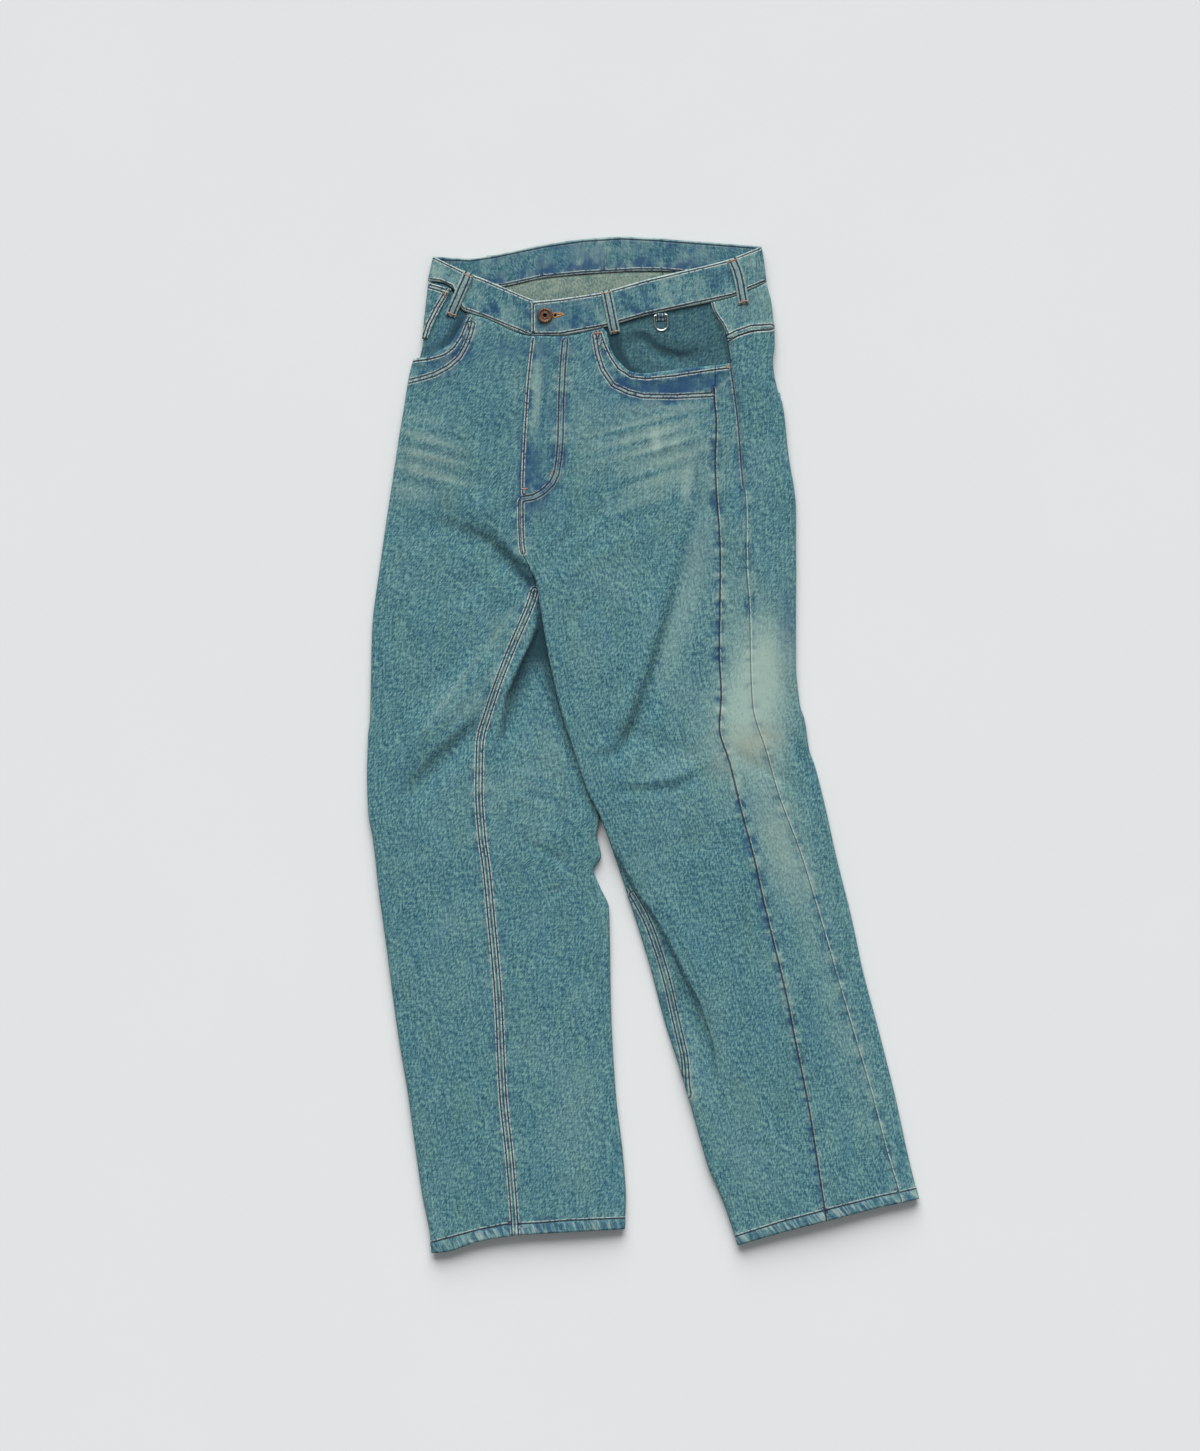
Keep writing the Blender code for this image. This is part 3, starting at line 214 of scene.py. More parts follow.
@dataclass(frozen=True)
class Lay:
    """How the garment lies: its edges, seams, heights and largest folds, in millimetres."""

    cloth: float = 1.3            # wall of one denim layer
    band: float = 2.6             # wall of the doubled waistband
    seam: float = 0.4             # gap between pieces that are sewn edge to edge
    seam_run: float = 0.8         # last step of cloth before a seam on a rolled edge
    head_gap: float = 0.7         # gap under the waistband and the yokes
    layer: float = 0.35           # gap between pieces that lie on each other
    under: float = 1.65           # how far a covered piece lies below the one on it
    facing_depth: float = 1.75    # how far a facing lies below the front on it
    band_rise: float = 0.7        # waistband's outer face over the panels'
    seat_rise: float = 1.8        # seat's underside, over the back pockets on the floor
    waist_level: float = 450      # where the panels' sections start
    hem_level: float = -540       # and where they end
    hip_end: float = 260          # height at which the left hip starts to turn into a leg
    hip_ease: float = 110         # run over which it does
    facing_drop: float = 440      # height below which the right facing lies over the panels
    front_crotch: float = 193.6   # where the centre front meets the inseams
    back_crotch_left: float = 187
    back_crotch_right: float = 197
    cross_end: float = -84        # lowest place where the left leg lies on the right one
    fold_top: float = -93         # where the fold along the left leg's inner edge starts
    press_reach: float = 9        # how far the left leg presses the right one past its edge
    press_ease: float = 6
    # Edge of the laid garment: (y, x).
    left_edge: Table = ((540, -229), (510, -235), (473, -239.5), (440, -243.5), (426, -251), (407, -256),
        (374, -261.5), (324, -269.5), (258, -279.5), (192, -289), (127, -297), (28, -299.5), (11, -301.2),
        (-38, -302.5), (-72, -301.4), (-104, -296), (-154, -290.4), (-220, -281.6), (-319, -268.4),
        (-385, -257.5), (-451, -248.5), (-500, -241), (-533, -234.3), (-560, -231))
    right_edge: Table = ((552, 131), (510, 136.5), (489, 142), (473, 144), (440, 146), (423, 144),
        (407, 145.5), (390, 149.6), (374, 155), (324, 160.6), (258, 169.4), (93, 169.4), (44, 173.8),
        (28, 179), (-5, 184), (-22, 190), (-71, 202.4), (-121, 213.4), (-187, 229.9), (-253, 244.2),
        (-319, 261.8), (-385, 278.3), (-451, 292.6), (-500, 304.7), (-560, 319))
    # Inner edge of the right leg, most of it under the left leg: (y, x).
    right_leg_inner: Table = ((197, -91.7), (187, -101.2), (181, -104.5), (160, -103.4), (115, -90),
        (71, -73.7), (16, -59.4), (-38, -48.4), (-79, -46.2), (-99, -49.5), (-123, -45), (-137, -52.8),
        (-156, -46.2), (-179, -36.3), (-220, -35.2), (-286, -34.1), (-385, -28.6), (-451, -20.9),
        (-500, -17.6), (-540, -19.8))
    # Inner edge of the left leg, over the right leg as far down as y = -78: (y, x).
    left_leg_inner: Table = ((193.6, -124.1), (187, -119.9), (181, -117.4), (175, -115.8), (146, -111),
        (104, -104), (37, -89), (-5, -75.4), (-52, -59.4), (-78, -46.2), (-121, -30.8), (-170, -14.3),
        (-236, 6.6), (-302, 24.2), (-368, 45.1), (-434, 63.8), (-467, 73.7), (-500, 88), (-551, 105.6))
    # The same edge for the left back, which ends at the centre back above the crotch: (y, x).
    back_leg_inner: Table = ((187, -102.6), (181, -106), (178, -110.5)) + left_leg_inner[3:]
    # Centre front: the fly's edge, then the seam down to the crotch: (y, x).
    centre_front: Table = ((460, -121), (450, -122.1), (424, -125.4), (396, -128.2), (353, -130.9),
        (311, -133.1), (283, -133.9), (247, -133.7), (220, -132.6), (207, -129.8), (199, -125.4),
        (193.6, -122.1))
    # Centre back seam, on the underside: (y, x).
    centre_back: Table = ((530, 23), (446, 18), (380, 6.6), (324, -13.2), (270, -42.9), (231, -68.2),
        (206, -88), (197, -95.7), (187, -101.2))
    # Right leg's inseam, on top of the laid leg: (y, x).
    right_inseam: Table = ((193.6, -122.1), (186, -118.8), (179, -116.6), (166, -119.1), (119, -138),
        (88, -150.7), (35, -169.4), (3, -178.2), (-49, -179.3), (-101, -176), (-132, -171.6), (-196, -165.3),
        (-279, -158), (-385, -152.9), (-452, -145.8), (-521, -140.3), (-545, -139))
    # Left leg's inseam: (y, distance over the cloth from the inner edge, below 0 on the underside).
    left_inseam: Table = ((187, 0), (181, -4), (160, -8), (115, -10), (-16, -14.5), (-104, -8), (-135, -5),
        (-148, 1), (-164, 8), (-203, 15), (-261, 16.5), (-335, 12.5), (-385, 2), (-456, -5), (-545, -9.5))
    # Left leg's design seam and outseam, on top: (y, x).
    left_design_seam: Table = ((420, 81), (383, 80.3), (353, 82.5), (311, 81.4), (203, 87), (98, 85.8),
        (56, 88), (19, 85.8), (-18, 96.8), (-76, 111), (-124, 124), (-174, 135), (-280, 160.6), (-325, 169.4),
        (-397, 184), (-480, 197), (-530, 205))
    left_outseam: Table = ((490, 75), (481, 77), (454, 92), (414, 99), (382, 103.8), (350, 107.5),
        (311, 110.3), (255, 114.4), (203, 114.4), (151, 118), (67, 120), (40, 122), (-7, 136.4), (-55, 150),
        (-119, 174), (-188, 195), (-280, 221.7), (-325, 235), (-386, 253), (-445, 268.4), (-482, 279.4),
        (-530, 293))
    # Right leg's design seam and outseam, on the underside: (y, x).
    right_design_seam: Table = ((424, -160.5), (379, -173.6), (324, -189.5), (269, -208), (214, -227),
        (159, -242), (104, -251), (49, -255), (-5, -259), (-60, -262.5), (-115, -264), (-170, -263.5),
        (-225, -261), (-280, -255.8), (-390, -238.5), (-545, -213.5))
    right_outseam: Table = ((510, -154), (457, -147), (426, -147), (379, -152.6), (324, -162.5), (269, -178),
        (214, -196), (159, -210), (104, -218), (49, -219), (-60, -218), (-170, -206.5), (-280, -191.8),
        (-390, -168.8), (-545, -136.5))
    # Waistband edges: (x, y).
    right_front_top: Table = ((-230, 537.5), (-195.8, 521), (-172.7, 512), (-122, 490.6), (-106, 486))
    right_front_foot: Table = ((-236, 510.4), (-222, 509), (-209, 503), (-197, 478), (-172.7, 469.7),
        (-125.4, 450.5), (-106, 448.8))
    left_front_top: Table = ((-122, 487.3), (-90.2, 490.6), (-46.2, 497.2), (4.4, 511.5), (92.4, 533),
        (132, 548.5))
    left_front_foot: Table = ((-122, 450), (-90.2, 450), (-42.9, 458.7), (4.4, 472), (99, 492.8),
        (137.5, 509))
    back_top: Table = ((-230, 537.5), (-189, 535.2), (-163, 539), (-110, 550), (-66, 556.6), (-23, 559.4),
        (12, 557.7), (86, 552.2), (132, 548.5))
    back_foot: Table = ((-236, 510.4), (-189, 498.3), (-148.5, 505), (-110, 513.7), (-66, 518), (-5.5, 521.4),
        (21, 521.4), (86, 516), (137.5, 509))
    # Front pocket openings, from the side to the waist seam: (x, y).
    right_pocket: Table = ((-248, 425), (-231, 429), (-211, 440), (-198, 461), (-194.7, 467.5),
        (-191.4, 475.2))
    left_pocket: Table = ((-42.9, 458.4), (-37.6, 452), (-36, 441), (-31.9, 430), (-24.2, 420.2),
        (-12, 410.3), (3.3, 408.6), (17.6, 410.3), (55, 414.7), (80.3, 417.5))
    # Facings' lower edges, under the openings' edges: (x, y).
    right_facing_foot: Table = ((-242, 414), (-226, 420), (-209, 430), (-197, 446), (-187, 462))
    left_facing_foot: Table = ((-42, 440), (-36, 426), (-27, 413), (-14, 402), (3, 399.5), (18, 401),
        (55, 405.5), (98, 409))
    # Right facing's outer edge: (y, x).
    right_facing_edge: Table = ((540, -226.8), (510, -232.8), (473, -237.3), (440, -241.3), (426, -244.4),
        (412, -247))
    # Coin pocket's slanted side (y, x) and top (x, y).
    coin_side: Table = ((502, -209.5), (479.6, -221), (456.5, -232), (446, -236.2))
    coin_top: Table = ((-237, 508.6), (-225, 506), (-209, 501.2))
    # Yoke seam, from the left outseam round the edge and along the underside: (x, y).
    yoke_seam_top: Table = ((92, 445.5), (120, 454), (146, 458.7))
    yoke_seam_back: Table = ((-150, 458), (18, 446), (146, 458.7))
    # Hems: (x, y).
    right_hem: Table = ((-232, -558.8), (-216.7, -557.7), (-180.4, -546.2), (-136.4, -539), (-80.3, -535.7),
        (-19, -532.4))
    left_hem: Table = ((100, -552), (151.3, -536.8), (202.4, -523.6), (260.7, -508.8), (306, -499))
    # Back pockets' corners: top left, top right, lower right, point, lower left.
    left_back_pocket: Table = ((22, 385), (152.2, 388), (158, 277), (97, 252), (32, 270))
    right_back_pocket: Table = ((-166, 384), (-36, 392), (-66, 276), (-132, 251), (-189, 272))
    # Heights of the top layer's outer face: (y, z).
    hip_edge: Table = ((540, 10.5), (300, 10), (195, 9.8))
    hip_centre: Table = ((540, 17), (450, 16.5), (300, 15.5), (195, 15))
    right_leg_outer_z: Table = ((200, 9.6), (-560, 9.6))
    right_leg_inner_z: Table = ((187, 9.2), (140, 8.8), (100, 7.2), (20, 6.8), (-30, 8), (-80, 8.6),
        (-560, 9.4))
    right_leg_crown: Table = ((200, 1.2), (100, 2.4), (-100, 3), (-300, 2.6), (-480, 2.6), (-560, 3.4))
    left_leg_inner_z: Table = ((200, 15.3), (175, 16.2), (100, 16), (0, 15.6), (-77, 15), (-121, 13.8),
        (-200, 13.2), (-300, 12.2), (-400, 10.6), (-560, 10))
    left_leg_outer_z: Table = ((200, 9.8), (-560, 9.8))
    left_leg_crown: Table = ((200, 1), (0, 1.8), (-400, 2.2), (-560, 3.2))
    ledge_z: Table = ((-110, 9.5), (-125, 8.2), (-160, 7), (-300, 6.8), (-400, 8.2), (-440, 10.5))
    # Underside of the left leg along its inner edge, where it crosses the right leg: (y, z).
    left_leg_lift: Table = ((200, 10.6), (-84, 10.6), (-98, 8), (-110, 4), (-121, 1), (-130, 0))
    seat_lift: Table = ((206, 1.8), (197, 2.2), (187, 5.8), (181, 10.2), (178, 10.6)) + left_leg_lift[1:]
    lift_fall: float = 24         # run over which the lifted underside comes down to the floor
    seat_z: Table = ((240, 1.8), (160, 0))
    # Largest folds: (x, y, height, width on the walk's left, width on its right).
    thigh_ridge_right: Table = ((-173.8, 92, 2, 14, 26), (-203.5, 49.5, 4, 16, 32), (-237.6, 14, 4, 16, 32),
        (-272.8, -34, 0, 18, 30))
    thigh_ridge_left: Table = ((46, 239, 0, 16, 26), (28.6, 172, 3, 16, 28), (15.4, 130, 4, 15, 28),
        (-4.4, 49.5, 3.5, 15, 26), (-28.6, 6.6, 0, 14, 24))
    inseam_flap: Table = ((-111, 139, 1.5, 5, 14), (-144, 67, 3, 4, 14), (-153, 52, 3, 4, 14),
        (-155, 19, 2.6, 5, 14), (-162, 3, 1.6, 6, 16), (-165, -33, 0, 8, 18))
    # Where the hips step down to the right thigh: (x, y, width of the step).
    hip_step: Table = ((-263, 264, 40), (-220, 250, 30), (-187, 240, 24), (-162, 230, 18), (-144, 208, 12),
        (-125.4, 196.4, 8), (-114, 188, 7), (-95, 192, 6))
    # Edge of the upper fold on the left leg: (x, y, share of the full step).
    leg_fold: Table = ((-47, -93, 1), (-30, -119, 1), (-8, -159, 1), (12, -188, 1), (28.6, -215.6, 1),
        (46.2, -252, 1), (61.6, -283, 1), (73.7, -316, 0.9), (80.3, -346, 0.6), (84, -380, 0.25),
        (86, -412, 0))
    fold_step: float = 5          # run over which the fold's edge rises
    # Columns of the left front, by their run from the inner edge: (y, run or share).
    ledge_share: Table = ((-115, 0.5), (-335, 0.3), (-385, 0.12), (-430, 0.3), (-460, 0.5))
    fold_foot: Table = ((200, 7.4), (193, 6.6), (187, 3.8), (181, 0), (178, -1.5), (160, -3), (-115, -3.5),
        (-132, 1), (-150, 5.5), (-164, 10), (-188, 18.5), (-216, 28), (-252, 34), (-283, 41), (-316, 44),
        (-346, 40), (-380, 34), (-412, 27), (-460, 8), (-500, -2), (-560, -4))
    fold_run: Table = ((200, 10), (178, 9), (-115, 9.5), (-164, 7), (-380, 8), (-460, 12), (-560, 12))
    # Left back's distance from the inseam: (y, distance).
    inseam_gap: Table = ((190, 1.8), (140, 1.8), (105, 0.2), (-114, 0.2), (-130, 1.1), (-155, 1.1),
        (-172, 0.2), (-310, 0.2), (-340, 0.9), (-490, 0.9), (-545, 0.5))
    # Columns of the right back: (y, run or share).
    flap_share: Table = ((180, 0.5), (139, 0.6), (100, 0.3), (67, 0.17), (19, 0.14), (-560, 0.14))
    crotch_turn: Table = ((198, 0), (197, 0), (187, 0.33), (179, 1), (178, 1))
    # Right front's reach past the left one's edge.
    fly_tuck: Table = ((286, 5), (285, 5), (272, -0.4), (271, -0.4))
    pressed_z: float = 9.7        # top of the right leg where the left leg lies on it
    head_fade: float = 150        # run over which a slanted top edge evens out
    hem_fade: float = 140         # run over which sections slant to the hem
    inner_radius: Table = ((200, 2), (175, 2.4), (146, 2.7), (-100, 2.7), (-125, 3.2), (-560, 3.8))
    outer_radius: float = 4.6
    right_inner_radius: float = 4

    def hip_top(self, x: Any, y: Any) -> Array:
        """Top of the seat and hips."""
        left, right = track(self.left_edge, y), track(self.right_edge, y)
        edge, centre = track(self.hip_edge, y), track(self.hip_centre, y)
        return edge + (centre - edge) * crown((x - left) / (right - left))

    def right_leg_top(self, x: Any, y: Any) -> Array:
        """Top of the right leg below the step from the hips."""
        left, inner = track(self.left_edge, y), track(self.right_leg_inner, y)
        across = (x - left) / (inner - left)
        outer_z, inner_z = track(self.right_leg_outer_z, y), track(self.right_leg_inner_z, y)
        height = outer_z + (inner_z - outer_z) * smooth(across)
        height = height + track(self.right_leg_crown, y) * crown(across)
        height = height + ridge(self.thigh_ridge_right, x, y) + ridge(self.inseam_flap, x, y)
        pressed = smooth((x - track(self.left_leg_inner, y) + self.press_reach) / self.press_ease)
        return height - np.maximum(height - self.pressed_z, 0) * pressed

    def right_top(self, x: Any, y: Any) -> Array:
        """Top of the wearer's right half."""
        off, _, (width,) = walk(self.hip_step, x, y)
        hip = smooth(off / width + 0.5)
        return self.right_leg_top(x, y) * (1 - hip) + self.hip_top(x, y) * hip

    def left_top(self, x: Any, y: Any) -> Array:
        """Top of the wearer's left half, with the fold that steps down along the inner edge."""
        inner, outer = track(self.left_leg_inner, y), track(self.right_edge, y)
        across = (x - inner) / (outer - inner)
        inner_z, outer_z = track(self.left_leg_inner_z, y), track(self.left_leg_outer_z, y)
        leg = inner_z + (outer_z - inner_z) * smooth(across)
        leg = leg + track(self.left_leg_crown, y) * crown(across)
        off, _, (share,) = walk(self.leg_fold, x, y)
        ledge = np.where(y < self.fold_top, share * (1 - smooth(off / self.fold_step + 0.5)), 0)
        leg = leg + (np.minimum(track(self.ledge_z, y), leg) - leg) * ledge
        is_leg = smooth((self.hip_end - y) / self.hip_ease)
        return self.hip_top(x, y) * (1 - is_leg) + leg * is_leg + ridge(self.thigh_ridge_left, x, y)

    def seat_bottom(self, x: Any, y: Any) -> Array:
        """Underside of the seat and right leg."""
        return track(self.seat_z, y) + 0 * x

    def lifted_bottom(self, lift: Table) -> Face:
        """Underside of the left leg, held up along its inner edge by the right leg."""
        def bottom(x: Any, y: Any) -> Array:
            """Height of the outer face there."""
            rest = track(self.seat_z, y)
            inner = track(self.left_leg_inner, y)
            edge = np.where(y > self.cross_end, np.maximum(track(self.right_leg_inner, y), inner), inner)
            edge = np.where(y > self.back_crotch_left, track(self.centre_back, y), edge) + 2
            return rest + np.maximum(track(lift, y) - rest, 0) * (1 - smooth((x - edge) / self.lift_fall))
        return bottom

    def facing_bottom(self, x: Any, y: Any) -> Array:
        """Underside of the right facing: level with the yoke, and over the panels further down."""
        return track(self.seat_z, y) + self.under * smooth((self.facing_drop - y) / 10) + 0 * x

    def front_left_edge(self, y: Any) -> Array:
        """Inner edge for the left front; above the crotch it only carries the centre front."""
        return np.where(y > self.front_crotch, track(self.centre_front, y) - self.inner_radius[0][1],
                        track(self.left_leg_inner, y))

    def back_left_edge(self, y: Any) -> Array:
        """Inner edge for the left back; above the crotch it only carries the centre back."""
        seat = track(self.centre_back, y) + 2 * self.seam - track(self.inner_radius, y)
        return np.where(y > self.back_crotch_left, seat, track(self.back_leg_inner, y))

    def back_right_edge(self, y: Any) -> Array:
        """Inner edge for the right back; above the crotch it only carries the centre back."""
        seat = track(self.centre_back, y) + self.right_inner_radius
        return np.where(y > self.back_crotch_right, seat, track(self.right_leg_inner, y))

    def left_rim(self) -> "Rim":
        """Garment's outer edge on the wearer's right."""
        return Rim(lambda y: track(self.left_edge, y), lambda y: self.outer_radius + 0 * y, 1,
                   self.right_top, self.seat_bottom)

    def right_rim(self) -> "Rim":
        """Garment's outer edge on the wearer's left."""
        return Rim(lambda y: track(self.right_edge, y), lambda y: self.outer_radius + 0 * y, -1,
                   self.left_top, self.lifted_bottom(self.seat_lift))

    def front_left_rim(self) -> "Rim":
        """Left leg's inner edge, as the left front lies on it."""
        return Rim(self.front_left_edge, lambda y: track(self.inner_radius, y), 1,
                   self.left_top, self.lifted_bottom(self.left_leg_lift))

    def back_left_rim(self) -> "Rim":
        """Left leg's inner edge, as the left back lies on it."""
        return Rim(self.back_left_edge, lambda y: track(self.inner_radius, y), 1,
                   self.left_top, self.lifted_bottom(self.seat_lift))

    def right_inner_rim(self) -> "Rim":
        """Right leg's inner edge."""
        return Rim(self.back_right_edge, lambda y: self.right_inner_radius + 0 * y, -1,
                   self.right_top, self.seat_bottom)


@dataclass(frozen=True)
class Rim:
    """A rolled edge of the laid garment. Cloth is placed by its run from it, below 0 underneath."""

    edge: Curve
    radius: Curve
    inward: int
    top: Face
    bottom: Face

    def quarter(self, y: Any) -> Array:
        """Run from the edge to where the cloth lies flat."""
        return self.radius(y) * math.pi / 2

    def quarter_under(self, y: Any) -> Array:
        """The same on the underside."""
        return -self.quarter(y)

    def run(self, x: Any, y: Any) -> Array:
        """Run from the edge to x on the top layer."""
        return (x - self.edge(y)) * self.inward - self.radius(y) + self.quarter(y)

    def at(self, seam: Table, shift: float = 0.0, side: int = 1) -> Curve:
        """Run at each height to a seam's table of (y, x), with a side of -1 for the other way round."""
        return lambda y: side * self.run(track(seam, y) + shift, y)

    def place(self, run: Any, y: Any) -> Array:
        """Point on the outer face."""
        radius, quarter = self.radius(y), self.quarter(y)
        turn = np.clip(run / quarter, -1, 1) * math.pi / 2
        flat = np.maximum(np.abs(run) - quarter, 0)
        flat_x = self.edge(y) + self.inward * (radius + flat)
        x = flat_x - self.inward * radius * np.cos(turn)
        top, bottom = self.top(flat_x, y), self.bottom(flat_x, y)
        return np.stack([x, y + 0 * x, bottom + (top - bottom) * (1 + np.sin(turn)) / 2], -1)


def along(points: Table, run: Face) -> Curve:
    """Top edge that follows a polyline of (x, y)."""
    rows = np.array(points, float)
    lengths = lengths_to(rows)

    def head(share: float) -> tuple[Any, Any]:
        """Run and height at a share of the edge."""
        x, y = (np.interp(share * lengths[-1], lengths, rows[:, k]) for k in (0, 1))
        return run(x, y), y
    return head


def below(seam: Table, x_start: float, x_end: float, gap: float, run: Face) -> Curve:
    """Top edge that follows a seam table of (x, y) from underneath."""
    def head(share: float) -> tuple[Any, Any]:
        """Run and height at a share of the edge."""
        x = x_start + share * (x_end - x_start)
        y = track(seam, x) - gap
        return run(x, y), y
    return head


def level(y_start: float, y_end: float) -> Curve:
    """Top edge that keeps its columns where the guides are."""
    return lambda share: (None, y_start + share * (y_end - y_start))


def edge_at(table: Table, shift: float = 0.0) -> Curve:
    """Height at each x of an edge's table of (x, y), moved up or down."""
    return lambda x: track(table, x) + shift


@dataclass(frozen=True)
class Spread:
    """Outer face of a cloth piece: points in rows from hem to waist, and each column's run."""

    points: Array
    runs: Array


def sections(lay: Lay, guides: Sequence[Curve], counts: Sequence[int], levels: Sequence[float],
             heads: Sequence[Curve], hem: Table, place: Face) -> Spread:
    """Lay out a panel.

    Args:
        lay: How the garment lies.
        guides: Run of the main columns at a height.
        counts: Steps between them.
        levels: Heights of the sections, waist to hem.
        heads: One stretch of the top edge for each gap between guides.
        hem: Lower edge, as rows of (x, y).
        place: Point for a run and a height.

    Returns:
        The panel's outer face.
    """
    heights = np.array(levels, float)
    to_head = 1 - smooth((heights[0] - heights) / lay.head_fade)
    to_hem = smooth((heights[-1] + lay.hem_fade - heights) / lay.hem_fade)
    spots = [(k, step / count) for k, count in enumerate(counts) for step in range(count)]
    spots.append((len(counts) - 1, 1.0))
    columns, runs = [], []
    for k, share in spots:
        start, end = guides[k], guides[k + 1]
        head_run, head_y = heads[k](share)
        shift = 0.0
        if head_run is not None:
            shift = head_run - (start(head_y) * (1 - share) + end(head_y) * share)
        foot = np.float64(heights[-1])
        for _ in range(HEM_ROUNDS):
            foot = track(hem, place(start(foot) * (1 - share) + end(foot) * share, foot)[0])
        y = heights + (head_y - heights[0]) * to_head + (foot - heights[-1]) * to_hem
        run = start(y) * (1 - share) + end(y) * share + shift * to_head
        columns.append(place(run, y))
        runs.append(run + 0 * y)
    return Spread(np.stack(columns, 1)[::-1], np.stack(runs, 1)[::-1])


def strips(pieces: Sequence[tuple], rows: int, place: Face) -> Spread:
    """Lay out a short piece, bottom row first.

    Args:
        pieces: Stretches of (left run, right run, top y, bottom y, steps); the runs are
            functions of y, and the edges' heights functions of x.
        rows: Steps up the piece.
        place: Point for a run and a height.

    Returns:
        The piece's outer face.
    """
    columns, runs = [], []
    for k, (left, right, top, bottom, steps) in enumerate(pieces):
        for step in range(steps + (k == len(pieces) - 1)):
            share = step / steps
            high = low = np.float64(FIRST_HEIGHT)
            for _ in range(EDGE_ROUNDS):
                high = np.float64(top(place(left(high) * (1 - share) + right(high) * share, high)[0]))
                low = np.float64(bottom(place(left(low) * (1 - share) + right(low) * share, low)[0]))
            y = np.linspace(low, high, rows + 1)
            run = left(y) * (1 - share) + right(y) * share
            columns.append(place(run, y))
            runs.append(run + 0 * y)
    return Spread(np.stack(columns, 1), np.stack(runs, 1))


def outward(points: Array) -> Array:
    """Unit normals of a grid of points, out of its outer face."""
    normal = np.cross(np.gradient(points, axis=1), np.gradient(points, axis=0))
    return normal / np.maximum(np.linalg.norm(normal, axis=-1, keepdims=True), 1e-9)


def faces_up(normal: Array) -> Array:
    """1 where cloth faces up, 0 where it stands or faces down."""
    return smooth(normal[..., 2] * 2.5)


class Thread(Enum):
    """Sewing threads."""

    DARK = "dark"
    PALE = "pale"
    RUST = "rust"
    GOLD = "gold"


@dataclass(frozen=True)
class SewnLine:
    """A line of stitches: where it runs, and what washing left beside it."""

    name: str
    nodes: tuple[str, ...]
    path: Table
    half: float = 0.0          # distance of two rows from the path; 0 for one row
    thread: Thread = Thread.DARK
    rise: float = 0.0          # height of the seam's layers under it
    spread: float = 3.0        # how far that height reaches past the rows
    pucker: float = 0.25       # height of the puckers beside it
    dark: float = 0.9          # depth of the groove's colour
    pale: float = 1.0          # wear on the ridges beside the groove
    reach: float = 9.0         # how far the line's marks reach
    lean: float = 0.0          # side whose edge is worn pale: 1 for the walk's left, -1 for its right
    blot: float = 0.0          # strength of the deeper blue spots beside it
    wear: float = 0.3          # paleness of the puckers' tops, and blue between them
    under: bool = False        # on the underside

    def relief(self, x: Array, y: Array) -> tuple[Array, Array]:
        """Height that the seam adds, and its puckers from about -1 to 1."""
        off, walked, _ = walk(self.path, x, y)
        far = np.abs(off)
        raised = self.rise * (1 - smooth((far - self.half - self.spread + 1) / 2))
        waves = ripple(walked, off * 0.35, 4.4, 3.1) + 0.6 * ripple(walked, off * 0.2, 8.5, 5.7)
        waves = waves * (1 - smooth((far - self.half - 2) / self.reach))
        return raised + self.pucker * waves, waves


@dataclass(frozen=True)
class Patch:
    """A soft oval on the cloth, such as a whisker or a worn knee."""

    x: float
    y: float
    length: float
    width: float
    turn: float          # degrees, from +X
    strength: float
    edge: float = 1.0    # 1 is soft, more is crisp

    def cover(self, x: Array, y: Array) -> Array:
        """Share of the patch at a place."""
        turn = math.radians(self.turn)
        u = ((x - self.x) * math.cos(turn) + (y - self.y) * math.sin(turn)) / self.length * 2
        v = (-(x - self.x) * math.sin(turn) + (y - self.y) * math.cos(turn)) / self.width * 2
        return self.strength * np.exp(-(u * u + v * v) ** self.edge)


